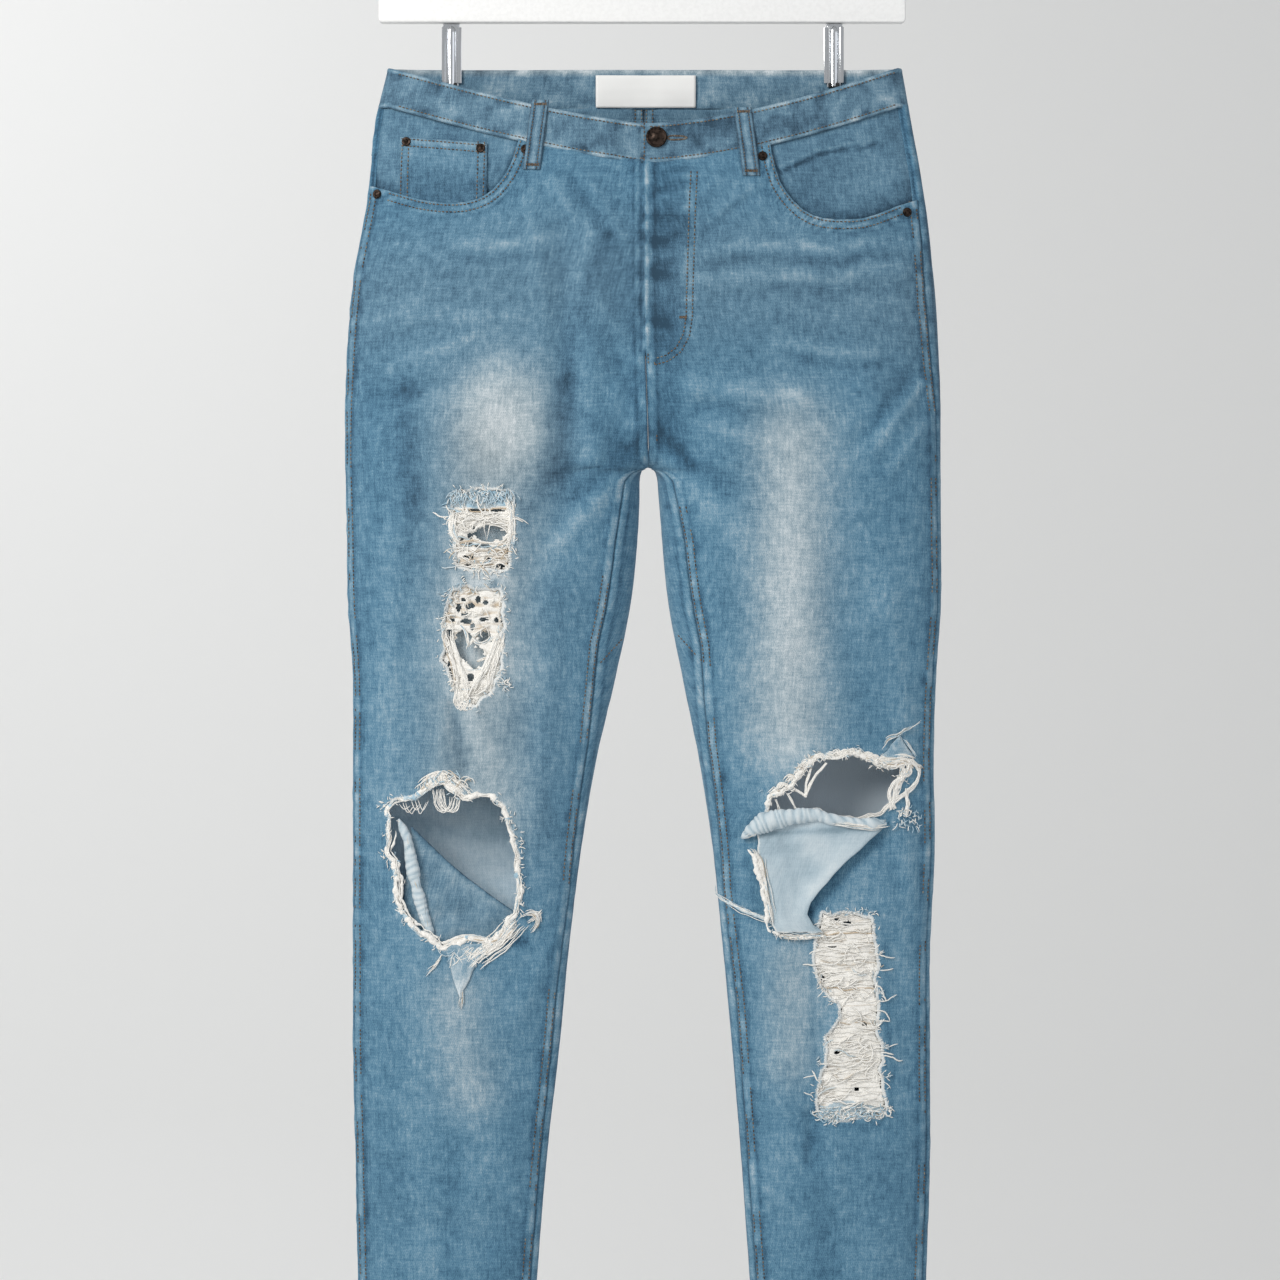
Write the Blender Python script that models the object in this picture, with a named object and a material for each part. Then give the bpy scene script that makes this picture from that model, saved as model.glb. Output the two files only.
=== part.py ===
"""Ripped five-pocket jeans hung from a clip hanger.

Sizes are in millimetres and become metres as each mesh is made. A place on the cloth is (x, drop): x runs to the
viewer's right from the fly, and drop runs down from the top of the back waistband. The front of the jeans faces -Y.
"right" and "left" are the wearer's, so the right leg is at -X.
"""

import math
import random
from collections import namedtuple

import bmesh
import bpy
import numpy as np
from mathutils import Matrix, Vector

MM = 0.001

# The frame: its origin is the inner top of the hanger's hook.
WAIST_BELOW_HOOK = 135.0
CLOTH_MIDDLE_Y = -13.5

# The cloth
WALL = 1.6
SEAM = 0.4  # gap between two pieces that are sewn together
LAYER = 0.5  # gap between a piece and the one it lies on
CROTCH = 323.0
CROTCH_ROUND = 12.0  # height over which the inner legs part below the crotch
CROTCH_SHIFT = 3.6  # how far the rise seam has swung to the viewer's right by the crotch
SPLIT_START = 230.0  # where the body's section begins to part into two legs
SPLIT_POWER = 3.0
NEAR_RISE = 0.3  # share of the half's width over which the cloth rounds under at the crotch
LEG_POWER = 2.6
BODY_POWER = 3.0
HEM_TOP = 1119.0  # above this the cloth is single, and below it turned up and thicker
HEM = 1133.0
HEM_EXTRA = 0.7
LEG_TOP_LEVELS = (0.0, 0.25, 0.5, 0.75)
LEG_DROPS = (230, 262, 288, 307, 318, 323, 327, 334, 348, 370, 410, 455, 500, 545, 590, 640, 700, 770, 850, 940,
             1030, HEM_TOP, HEM_TOP + 0.6, HEM)
LEG_COLUMNS = 11
YOKE_LEVELS = (0.0, 0.5, 1.0)
YOKE_COLUMNS = 9
TRIES = 3  # rounds in which a point's drop and x are brought to agree along a sloping edge
TOP_GUESS = 90.0  # first guess of the drop along a panel's top edge
YOKE_GUESS = 60.0
BAND_GUESS = 30.0

# The waistband and what is on it
BAND_HEIGHT = 32.5
BAND_OUTER = 0.5
BAND_THICK = 2.6
BAND_DIP = 46.4  # how far the front sags below the sides
BAND_LOWEST = 48.0
BAND_MIDDLE_X = 4.8
BAND_REACH = {-1: 210.4, 1: 200.0}
BAND_DIP_POWER = {-1: 1.38, 1: 1.58}
BAND_SIDE_DROP = 1.6  # how far the back edge falls towards the sides
BAND_HALF_WIDTH = 206.0
BAND_STEPS = 20
BAND_LEVELS = (0.0, 0.5, 1.0)
OVERLAP_START = -2.4  # the buttonhole end's edge
OVERLAP_TURN = (-28.0, -9.0)  # from here to here the button end sinks behind the buttonhole end
OVERLAP_MIDDLE = 12.0
OVERLAP_END = 33.0  # how far the button end runs on behind it
LOOP_WIDTH = 13.0
LOOP_THICK = 1.6
LOOP_ARCH = 1.6
LOOP_CLEAR = 0.6  # from the waistband to a belt loop's ends
YOKE_SIDE = 71.0
YOKE_V = 34.0  # how much further down the yoke's point reaches at the middle
YOKE_HALF = 225.0
LABEL = {"left": -39.0, "right": 42.0, "top": 5.0, "bottom": 31.0, "thick": 0.8}
PLACKET = {"left": -16.0, "width": 44.0, "bottom": 236.0, "behind": 0.8, "thick": 1.4}

# The outline from the front and the half depths, section by section down the jeans
Section = namedtuple("Section", "drop outer_right inner_right inner_left outer_left front back")
SECTIONS = [
    Section(-10, -205, -3, 10, 205, 21, 21),
    Section(0, -206, -3, 10, 207, 21, 21),
    Section(40, -215, -3, 10, 214, 21, 21),
    Section(105, -222, -3, 10, 226, 28, 30),
    Section(175, -234, -3, 10, 234, 34, 40),
    Section(270, -240, -3, 10, 239, 38, 46),
    Section(323, -240, -3, 10, 239, 38, 46),
    Section(366, -239, -4, 13, 239, 36, 42),
    Section(430, -238, -10, 19, 239, 33, 37),
    Section(494, -234, -23, 31, 235, 30, 33),
    Section(558, -234, -38, 44, 233, 27, 30),
    Section(622, -234, -49, 54, 234, 26, 28),
    Section(718, -234, -61, 64, 230, 24, 27),
    Section(782, -234, -67, 70, 230, 22, 26),
    Section(878, -232, -78, 78, 230, 20, 24),
    Section(974, -230, -86, 85, 227, 19, 22),
    Section(1133, -224, -96, 96, 222, 18, 20),
]

# How far the inseam lies on the front, in from the inner edge of the leg
Inset = namedtuple("Inset", "drop width")
INSEAM = [Inset(323, 0), Inset(328, 8), Inset(335, 13), Inset(384, 18.5), Inset(465, 20), Inset(498, 16),
          Inset(547, 9.6), Inset(662, 5.2), Inset(750, 7), Inset(865, 5.6), Inset(1133, 4.8)]
OUTSEAM = {
    -1: [Inset(0, 1.5), Inset(1133, 1.5)],
    1: [Inset(0, 5), Inset(60, 6), Inset(190, 9.6), Inset(240, 8), Inset(280, 5), Inset(400, 3.5), Inset(1133, 3.5)],
}

# The largest folds: soft ridges (height above 0) and troughs that run from one place to another
Fold = namedtuple("Fold", "x0 drop0 x1 drop1 width height")
FRONT_FOLDS = [
    Fold(-63, 140, -60, 330, 14, -4.5),
    Fold(-60, 330, -92, 430, 16, -3),
    Fold(-40, 150, -46, 300, 16, 2.5),
    Fold(-150, 300, -170, 420, 26, 3),
    Fold(-203, 250, -198, 350, 12, -3),
    Fold(60, 150, 205, 168, 11, 2.2),
    Fold(40, 262, 120, 272, 12, 2),
    Fold(180, 260, 222, 310, 14, 3),
    Fold(-212, 225, -150, 255, 14, 2.2),
    Fold(110, 380, 118, 520, 30, 2.5),
    Fold(-150, 740, -134, 900, 26, 2.5),
    Fold(110, 720, 126, 900, 24, 2.5),
    Fold(-155, 520, -145, 565, 10, -2.5),
    Fold(134, 846, 140, 874, 12, -2.2),
    Fold(-200, 930, -110, 945, 14, -1.8),
    Fold(110, 1010, 200, 990, 14, -1.8),
]
BACK_FOLDS = [
    Fold(-40, 320, -190, 356, 14, -4),
    Fold(44, 322, 192, 352, 14, -4),
    Fold(-50, 350, -170, 392, 13, 2.6),
    Fold(56, 352, 176, 398, 13, 2.6),
    Fold(-90, 600, -215, 586, 13, -3.5),
    Fold(92, 610, 214, 592, 13, -3.5),
    Fold(-96, 655, -205, 640, 14, 2.6),
    Fold(100, 660, 205, 648, 14, 2.6),
    Fold(-150, 780, -160, 960, 24, 2.5),
    Fold(140, 790, 158, 960, 24, 2.5),
]

# Hip pocket openings, from the waistband down and out to the side seam
Place = namedtuple("Place", "x drop")
POCKET_EDGE = {
    -1: [Place(-100, 60), Place(-106, 79), Place(-114, 94), Place(-127, 106), Place(-142, 111), Place(-158, 112),
         Place(-177, 110), Place(-198, 104), Place(-217, 98), Place(-250, 90)],
    1: [Place(101, 66), Place(106, 87), Place(112, 102), Place(125, 117), Place(139, 124), Place(158, 126),
        Place(176, 125), Place(194, 118), Place(216, 110), Place(250, 100)],
}
FACING_UNDER = 12.0  # how far a facing runs on under the panel
FACING_THICK = 1.3
FACING_EDGE = 1.5  # from the side seam to the facing's outer edge
COIN = {"left": -196.0, "right": -126.0, "left_drop": 58.0, "right_drop": 64.0, "sunk": 0.3, "thick": 1.2}
COIN_ABOVE = 1.5  # from the pocket's opening up to the coin pocket's lower edge
POCKET_SIDE = 250.0  # past the side seam, where the cutters end
POCKET_CUT_TO_Y = 4.0
RIVETS = {
    "rivet_coin_outer": Place(-191, 62),
    "rivet_coin_inner": Place(-131, 68),
    "rivet_right_inner": Place(-95, 69.5),
    "rivet_right_outer": Place(-214, 104),
    "rivet_left_inner": Place(95, 75),
    "rivet_left_outer": Place(211, 119),
}

RIVET_LIFT = 0.3
RIVET_PROFILE = [(3.4, 0), (3.4, 0.5), (2.6, 1.1), (1.2, 1.2)]  # radius, height
RIVET_SIDES = 10
BUTTON = Place(10, 60)
BUTTON_LIFT = 0.4
BUTTON_PROFILE = [(4.5, 0), (4.5, 0.9), (8.2, 0.9), (8.5, 1.8), (8.2, 2.8), (6.6, 3.2), (6.0, 2.7), (2.2, 2.7),
                  (1.6, 3.1)]
BUTTON_SIDES = 16

# Belt loops, each from its upper to its lower end
LOOPS = {
    "belt_loop_front_right": (Place(-83, 30), Place(-90, 86), True),
    "belt_loop_front_left": (Place(79, 36), Place(86, 91), True),
    "belt_loop_back_right": (Place(-118, -3), Place(-118, 52), False),
    "belt_loop_back_left": (Place(118, -3), Place(118, 52), False),
    "belt_loop_back_middle": (Place(0, -3), Place(0, 52), False),
}

# Back patch pockets
BACK_POCKET = {"middle": 115.0, "half_top": 72.0, "half_bottom": 60.0, "top": 122.0, "corner": 246.0, "point": 18.0,
               "thick": 1.3, "clear": 0.9}

# The rips, as cut through the front panels
THIGH_TOP = {"drops": (352, 366, 386, 404), "left": (-150, -152, -149, -146), "right": (-104, -105, -106, -109)}
THIGH_LOW = {"drops": (424, 446, 468, 490, 512), "left": (-156, -160, -160, -155, -140),
             "right": (-114, -113, -115, -118, -130)}
SHIN = {"drops": (682, 702, 740, 773, 804, 826, 844), "left": (143, 142, 141, 150, 147, 139, 140),
        "right": (181, 183, 184, 185, 190, 191, 193)}
KNEE_HOLE = [Place(-200, 591), Place(-184, 588), Place(-170, 581), Place(-162, 575), Place(-146, 590),
             Place(-130, 586), Place(-114, 595), Place(-109, 614), Place(-102, 630), Place(-102, 672),
             Place(-106, 686), Place(-124, 701), Place(-142, 701), Place(-160, 707), Place(-178, 695),
             Place(-190, 684), Place(-197, 660), Place(-203, 630), Place(-204, 604)]
KNEE_SLASH = [Place(100, 600), Place(104, 586), Place(117, 578), Place(129, 565), Place(139, 555), Place(152, 557),
              Place(172, 555), Place(186, 562), Place(203, 563), Place(213, 560), Place(202, 577), Place(200, 589),
              Place(190, 598), Place(178, 604), Place(159, 604), Place(139, 599), Place(124, 602)]
CUT_FROM_Y = -90.0
CUT_TO_Y = -3.0

# The flap folded down below the knee slash
FlapRow = namedtuple("FlapRow", "drop left right lift lift_free thick")
FLAP = [
    FlapRow(609, 98, 193, 2.2, 2.2, 3.6),
    FlapRow(614, 84, 190, 1.4, 3.0, 4.6),
    FlapRow(621, 82, 184, 1.0, 4.4, 1.5),
    FlapRow(636, 93, 169, 0.9, 6.0, 1.4),
    FlapRow(654, 97, 151, 0.9, 6.4, 1.4),
    FlapRow(672, 101, 133, 0.9, 5.0, 1.4),
    FlapRow(690, 105, 129, 0.9, 1.8, 1.4),
]
ROLL = [Place(-206, 606), Place(-194, 622), Place(-188, 646), Place(-181, 674), Place(-172, 706)]
ROLL_RADIUS = 3.0
FLAP_COLUMNS = 6

# Threads
THREAD = 1.3
THREAD_DEPTH = 0.8  # how far a thread across a window lies in from the cloth's outside
BACKING = 1.2
BACKING_DEPTH = 0.2
WINDOW_END = 2.0  # from a window's ends to its first and last thread
WINDOW_RUN = 1.2  # how far the backing runs on past them
EDGE_GAP = 0.7  # from a rip's cut edge to the backing beside it
WORN_SHARE = (0.12, 0.22)  # how far a thread worn through still reaches across
SEED = 11
Fray = namedtuple("Fray", "outline first last count length")
FRAYS = {
    "knee_hole_fray_upper": Fray(KNEE_HOLE, 0, 8, 16, 7),
    "knee_hole_fray_lower": Fray(KNEE_HOLE, 10, 18, 16, 7),
    "knee_slash_fray": Fray(KNEE_SLASH, 1, 8, 16, 6),
}
FRAY_ROOT = 1.6
FRAY_MIDDLE = 0.55  # where along its length a strand bends
FRAY_LEAN = 0.55  # the most that a strand leans aside, in millimetres
FRAY_LIFT = 0.4
FRAY_TIP = 1.5

# The hanger
BOARD = {"width": 426.0, "height": 30.0, "thick": 12.0, "x": -1.5, "bottom": -36.8, "corner": 3.2}
HOOK_WIRE = 2.0
HOOK_INNER = 20.0
HOOK_STEM = [(0.0, 0.0), (0.0, 8.0), (1.5, 15.0)]  # x and height above the board
HOOK_START = -58.0  # degrees round the ring, from the viewer's right
HOOK_STEP = 14.2
HOOK_STEPS = 19
CLIPS = {"clip_right": -156.0, "clip_left": 154.0}
CLIP_LEVEL = 14.0  # the drop at which a clip follows the cloth's lean
RIB_INSIDE = 0.7
CLIP = {"width": 16.0, "top": -36.4, "end": 15.0, "plate": 1.4, "gap": 3.4, "web": 3.0, "rib": 7.2, "rib_out": 1.4}
FOOT = {"width": 9.0, "height": 3.6, "proud": 0.8, "clear": 0.3}

MATERIALS = {
    "denim": ((0.13, 0.22, 0.31), 0.9, 0.0),
    "denim_light": ((0.42, 0.52, 0.6), 0.9, 0.0),
    "thread": ((0.78, 0.74, 0.66), 0.9, 0.0),
    "label": ((0.85, 0.85, 0.84), 0.8, 0.0),
    "copper": ((0.16, 0.1, 0.08), 0.4, 1.0),
    "chrome": ((0.7, 0.7, 0.72), 0.15, 1.0),
    "rubber": ((0.05, 0.05, 0.055), 0.7, 0.0),
    "board": ((0.8, 0.8, 0.8), 0.3, 0.0),
}


def clear_scene():
    for obj in list(bpy.data.objects):
        bpy.data.objects.remove(obj)


def material(name):
    """The material of this name, made when it is first asked for."""
    if name in bpy.data.materials:
        return bpy.data.materials[name]
    colour, roughness, metallic = MATERIALS[name]
    made = bpy.data.materials.new(name)
    made.use_nodes = True
    shader = made.node_tree.nodes["Principled BSDF"]
    shader.inputs["Base Color"].default_value = (*colour, 1)
    shader.inputs["Roughness"].default_value = roughness
    shader.inputs["Metallic"].default_value = metallic
    return made


def add_mesh(name, points, faces, look):
    """A closed mesh object from points in millimetres, with its faces turned outwards."""
    work = bmesh.new()
    corners = [work.verts.new(Vector(p) * MM) for p in points]
    for face in faces:
        work.faces.new([corners[i] for i in face])
    bmesh.ops.recalc_face_normals(work, faces=work.faces)
    if work.calc_volume(signed=True) < 0:
        bmesh.ops.reverse_faces(work, faces=work.faces)
    mesh = bpy.data.meshes.new(name)
    work.to_mesh(mesh)
    work.free()
    mesh.materials.append(material(look))
    mesh.shade_smooth()
    mesh.set_sharp_from_angle(angle=math.radians(40))
    obj = bpy.data.objects.new(name, mesh)
    bpy.context.scene.collection.objects.link(obj)
    return obj


def read_table(rows, column, drop):
    """One column of a table at any drop, through its rows on a smooth curve."""
    drops = np.array([row.drop for row in rows], float)
    values = np.array([getattr(row, column) for row in rows], float)
    slopes = np.gradient(values, drops)
    drop = min(max(drop, drops[0]), drops[-1])
    i = min(int(np.searchsorted(drops, drop, side="right")) - 1, len(drops) - 2)
    span = drops[i + 1] - drops[i]
    s = (drop - drops[i]) / span
    start = (1 + 2 * s) * (1 - s) ** 2 * values[i] + s * (1 - s) ** 2 * span * slopes[i]
    end = s * s * (3 - 2 * s) * values[i + 1] - s * s * (1 - s) * span * slopes[i + 1]
    return start + end


def read_line(rows, column, drop):
    """One column of a table at any drop, through its rows on straight lines."""
    return float(np.interp(drop, [row.drop for row in rows], [getattr(row, column) for row in rows]))


def rise_line(drop):
    """Where the rise seam runs: it leans to the viewer's right towards the crotch."""
    s = min(max((drop - 180) / (CROTCH - 180), 0), 1)
    return CROTCH_SHIFT * s * s * (3 - 2 * s)


def side_lines(side, drop):
    """The inner and outer x of one half at a drop. The inner line is the rise above the crotch."""
    outer = read_table(SECTIONS, "outer_left" if side > 0 else "outer_right", drop)
    middle = rise_line(drop)
    inner = middle + side * SEAM / 2
    if drop > CROTCH:
        leg = read_table(SECTIONS, "inner_left" if side > 0 else "inner_right", drop)
        parted = math.sin(math.pi / 2 * math.sqrt(min((drop - CROTCH) / CROTCH_ROUND, 1)))
        inner += (leg - middle) * parted
    return inner, outer


def fold_height(x, drop, front):
    """How far the largest folds lift the cloth here."""
    height = 0.0
    for fold in FRONT_FOLDS if front else BACK_FOLDS:
        run_x, run_drop = fold.x1 - fold.x0, fold.drop1 - fold.drop0
        length = math.hypot(run_x, run_drop)
        along = ((x - fold.x0) * run_x + (drop - fold.drop0) * run_drop) / length
        aside = ((x - fold.x0) * run_drop - (drop - fold.drop0) * run_x) / length
        past = max(-along, along - length, 0)
        height += fold.height * math.exp(-((aside / fold.width) ** 2) - (past / fold.width) ** 2)
    return height


def is_front(angle):
    """Angles up to pi are the front, and so are those past a full turn, where the back panel wraps round."""
    return angle <= math.pi or angle > 2 * math.pi + 1e-6


def around(side, angle, drop):
    """A point on the outside of one half. Angle 0 is the rise or the inner leg, pi the outer side, then the back."""
    inner, outer = side_lines(side, drop)
    across = (1 - math.cos(angle)) / 2
    body = 1 - across**BODY_POWER
    leg = 1 - abs(2 * across - 1) ** LEG_POWER
    parting = min(max((drop - SPLIT_START) / (CROTCH - SPLIT_START), 0), 1)
    near = max(1 - across / NEAR_RISE, 0) ** 2
    split = near * parting**SPLIT_POWER + (1 - near) * parting**2 * (3 - 2 * parting)
    bulge = math.sqrt(max((1 - split) * body + split * leg, 0))
    front = is_front(angle)
    x = inner + across * (outer - inner)
    depth = read_table(SECTIONS, "front" if front else "back", drop) + fold_height(x, drop, front)
    return np.array([x, (-1 if front else 1) * depth * bulge, -drop])


def skin(side, angle, drop):
    """A point of the cloth's outside and its outward normal."""
    tiny = 0.004
    low, high = angle - tiny, angle + tiny
    if angle < 2 * tiny:
        low = angle
    if drop < CROTCH and 2 * math.pi - tiny < angle:
        high = angle
    along = around(side, high, drop) - around(side, low, drop)
    down = around(side, angle, drop + 1) - around(side, angle, drop - 1)
    normal = -side * np.cross(along, down)
    if drop < CROTCH and (low == angle or high == angle) and normal[0] * side > 0:
        normal[0] = 0  # the rise seam's two sides meet without leaning across each other
    return around(side, angle, drop), normal / np.linalg.norm(normal)


def angle_at(side, x, drop, front=True):
    """The angle at which one half passes x."""
    inner, outer = side_lines(side, drop)
    across = min(max((x - inner) / (outer - inner), 0), 1)
    angle = math.acos(1 - 2 * across)
    return angle if front else 2 * math.pi - angle


def on_cloth(x, drop, front=True):
    """The point of the cloth's outside at a place, on the front or on the back, and its normal."""
    side = 1 if x >= rise_line(drop) else -1
    return skin(side, angle_at(side, x, drop, front), drop)


def off_cloth(x, drop, lift, front=True):
    """A point this far outside the cloth at a place."""
    point, normal = on_cloth(x, drop, front)
    return point + normal * lift


def inseam_angle(side, drop):
    if drop <= CROTCH:
        return 0.0
    inner, outer = side_lines(side, drop)
    return math.acos(1 - 2 * read_line(INSEAM, "width", drop) / abs(outer - inner))


def outseam_angle(side, drop):
    inner, outer = side_lines(side, drop)
    return math.pi - math.acos(1 - 2 * read_line(OUTSEAM[side], "width", drop) / abs(outer - inner))


def seam_step(side, angle, drop):
    """The angle that half a seam's gap takes up."""
    tiny = 0.01 if angle < 1 else -0.01
    length = np.linalg.norm(around(side, angle + tiny, drop) - around(side, angle, drop))
    return SEAM / 2 * abs(tiny) / length


def band_top(x, front):
    """The drop of the waistband's top edge: it sags at the front and hangs level at the back."""
    if not front:
        return BAND_SIDE_DROP * min(abs(x) / BAND_HALF_WIDTH, 1) ** 2
    side = 1 if x > BAND_MIDDLE_X else -1
    share = min(abs(x - BAND_MIDDLE_X) / BAND_REACH[side], 1)
    return BAND_LOWEST - BAND_DIP * share ** BAND_DIP_POWER[side]


def front_top(x):
    return band_top(x, True) + BAND_HEIGHT + SEAM


def yoke_top(x):
    return band_top(x, False) + BAND_HEIGHT + SEAM


def yoke_bottom(x):
    return YOKE_SIDE + YOKE_V * (1 - min(abs(x) / YOKE_HALF, 1))


def place(points):
    """Points of the cloth moved to where it hangs below the hook."""
    return points + np.array([0, CLOTH_MIDDLE_Y, -WAIST_BELOW_HOOK])


def add_slab(name, grid, outer, inner, look):
    """A wall between two offsets of a grid of points and normals. Each offset is a number or one for each point."""
    spots = np.array([[spot[0] for spot in row] for row in grid])
    normals = np.array([[spot[1] for spot in row] for row in grid])
    shape = spots.shape[:2]
    outside = spots + normals * np.broadcast_to(outer, shape)[..., None]
    inside = spots + normals * np.broadcast_to(inner, shape)[..., None]
    rows, columns = shape
    points = place(np.concatenate([outside.reshape(-1, 3), inside.reshape(-1, 3)]))
    count = rows * columns
    faces = []
    for r in range(rows - 1):
        for c in range(columns - 1):
            a = r * columns + c
            ring = (a, a + 1, a + columns + 1, a + columns)
            faces.append(ring)
            faces.append(tuple(count + i for i in reversed(ring)))
    rim = list(range(columns))
    rim += [r * columns + columns - 1 for r in range(1, rows)]
    rim += [(rows - 1) * columns + c for c in range(columns - 2, -1, -1)]
    rim += [r * columns for r in range(rows - 2, 0, -1)]
    for a, b in zip(rim, rim[1:] + rim[:1]):
        faces.append((a, b, count + b, count + a))
    return add_mesh(name, points, faces, look)


def add_cutter(name, outline, target, to_y=CUT_TO_Y):
    """A prism of this outline that cuts the front wall of a panel."""
    near = [place(np.array([p.x, CUT_FROM_Y, -p.drop])) for p in outline]
    far = [place(np.array([p.x, to_y, -p.drop])) for p in outline]
    count = len(outline)
    faces = [tuple(range(count)), tuple(range(2 * count - 1, count - 1, -1))]
    faces += [(i, (i + 1) % count, count + (i + 1) % count, count + i) for i in range(count)]
    cutter = add_mesh(name, near + far, faces, "denim")
    cutter.hide_render = True
    cutter.display_type = "WIRE"
    cut = target.modifiers.new(name, "BOOLEAN")
    cut.operation = "DIFFERENCE"
    cut.object = cutter


def window_outline(window):
    """The outline of a window given as its left and right edges down its drops."""
    left = [Place(x, drop) for x, drop in zip(window["left"], window["drops"])]
    right = [Place(x, drop) for x, drop in zip(window["right"], window["drops"])]
    return left + right[::-1]


def hem_extra(grid):
    """How much thicker a leg's wall is on each side, row by row: the hem is turned up."""
    return np.array([[HEM_EXTRA if -row[0][0][2] > HEM_TOP + 0.1 else 0.0] for row in grid])


def front_panel(side):
    """One front leg panel, from the waistband's seam to the hem."""
    grid = []
    for level in LEG_TOP_LEVELS:
        row = []
        for c in range(LEG_COLUMNS + 1):
            drop = LEG_DROPS[0] * level + TOP_GUESS * (1 - level)
            for _ in range(TRIES):
                angle = outseam_angle(side, drop) * c / LEG_COLUMNS
                drop = front_top(around(side, angle, drop)[0]) * (1 - level) + LEG_DROPS[0] * level
            angle -= 2 * seam_step(side, angle, drop) if c == LEG_COLUMNS else 0
            row.append(skin(side, angle, drop))
        grid.append(row)
    for drop in LEG_DROPS:
        first, last = inseam_angle(side, drop), outseam_angle(side, drop)
        if drop >= CROTCH:
            first += seam_step(side, first, drop)
        last -= seam_step(side, last, drop)
        grid.append([skin(side, first + (last - first) * c / LEG_COLUMNS, drop) for c in range(LEG_COLUMNS + 1)])
    hem = hem_extra(grid)
    name = "front_panel_left" if side > 0 else "front_panel_right"
    return add_slab(name, grid, hem, -WALL - hem, "denim")


def back_panel(side):
    """One back leg panel, from the yoke to the hem. It wraps to the front along the inner leg."""
    grid = []
    for level in LEG_TOP_LEVELS:
        row = []
        for c in range(LEG_COLUMNS + 1):
            drop = LEG_DROPS[0] * level + TOP_GUESS * (1 - level)
            for _ in range(TRIES):
                first = outseam_angle(side, drop)
                angle = first + (2 * math.pi - first) * c / LEG_COLUMNS
                edge = yoke_bottom(around(side, angle, drop)[0]) + SEAM
                drop = edge * (1 - level) + LEG_DROPS[0] * level
            angle += seam_step(side, angle, drop) if c == 0 else 0
            row.append(skin(side, angle, drop))
        grid.append(row)
    for drop in LEG_DROPS:
        first = outseam_angle(side, drop)
        last = 2 * math.pi + inseam_angle(side, drop)
        first += seam_step(side, first, drop)
        if drop >= CROTCH:
            last -= seam_step(side, last, drop)
        grid.append([skin(side, first + (last - first) * c / LEG_COLUMNS, drop) for c in range(LEG_COLUMNS + 1)])
    hem = hem_extra(grid)
    name = "back_panel_left" if side > 0 else "back_panel_right"
    return add_slab(name, grid, hem, -WALL - hem, "denim")


def back_yoke(side):
    grid = []
    for level in YOKE_LEVELS:
        row = []
        for c in range(YOKE_COLUMNS + 1):
            drop = YOKE_GUESS
            for _ in range(TRIES):
                first = outseam_angle(side, drop)
                angle = first + (2 * math.pi - first) * c / YOKE_COLUMNS
                x = around(side, angle, drop)[0]
                drop = yoke_top(x) * (1 - level) + yoke_bottom(x) * level
            angle += seam_step(side, angle, drop) if c == 0 else 0
            row.append(skin(side, angle, drop))
        grid.append(row)
    add_slab("back_yoke_left" if side > 0 else "back_yoke_right", grid, 0.0, -WALL, "denim")


def waistband():
    """One strip from the buttonhole end, round the back, to the button end behind it."""
    steps = BAND_STEPS
    stops = [(-1, angle_at(-1, OVERLAP_START, YOKE_GUESS), 0.0)]
    stops += [(1, 2 * math.pi * i / steps, 0.0) for i in range(1, steps + 1)]
    stops += [(-1, 2 * math.pi * (1 - i / steps), 0.0) for i in range(1, steps - 1)]
    under = -(BAND_THICK + SEAM)
    ends = zip((-1, -1, 1, 1), (*OVERLAP_TURN, OVERLAP_MIDDLE, OVERLAP_END), (0.0, under, under, under))
    stops += [(side, angle_at(side, x, YOKE_GUESS), shift) for side, x, shift in ends]
    grid = []
    for level in BAND_LEVELS:
        row = []
        for side, angle, _ in stops:
            front = is_front(angle)
            drop = BAND_GUESS
            for _ in range(TRIES):
                drop = band_top(around(side, angle, drop)[0], front) + BAND_HEIGHT * level
            row.append(skin(side, angle, drop))
        grid.append(row)
    shift = np.array([[stop[2] for stop in stops]])
    add_slab("waistband", grid, BAND_OUTER + shift, BAND_OUTER - BAND_THICK + shift, "denim")


def patch(name, lines, rows, columns, outer, inner, look, front=True):
    """A piece that lies on the cloth: lines(across, down) gives its places for shares from 0 to 1."""
    grid = []
    for r in range(rows + 1):
        places = [lines(c / columns, r / rows) for c in range(columns + 1)]
        grid.append([on_cloth(x, drop, front) for x, drop in places])
    return add_slab(name, grid, outer, inner, look)


def fly_placket():
    outer = -WALL - PLACKET["behind"]

    def lines(across, down):
        x = PLACKET["left"] + PLACKET["width"] * across
        top = front_top(x) + 1
        return x, top + (PLACKET["bottom"] - top) * down

    patch("fly_placket", lines, 5, 3, outer, outer - PLACKET["thick"], "denim")


def pocket_edge(side, x):
    rows = sorted(POCKET_EDGE[side])
    return float(np.interp(x, [row.x for row in rows], [row.drop for row in rows]))


def pocket_facing(side):
    """The piece seen in a hip pocket's opening, which runs on a little under the panel."""
    inner = POCKET_EDGE[side][0].x - side * FACING_UNDER

    def lines(across, down):
        drop = YOKE_GUESS
        for _ in range(TRIES):
            outer = side_lines(side, drop)[1] - side * (read_line(OUTSEAM[side], "width", drop) + FACING_EDGE)
            x = inner + (outer - inner) * math.sin(across * math.pi / 2)
            top = front_top(x) + SEAM
            drop = top + (pocket_edge(side, x) + FACING_UNDER - top) * down
        return x, drop

    name = "pocket_facing_left" if side > 0 else "pocket_facing_right"
    patch(name, lines, 3, 8, -WALL - LAYER, -WALL - LAYER - FACING_THICK, "denim")


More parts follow.
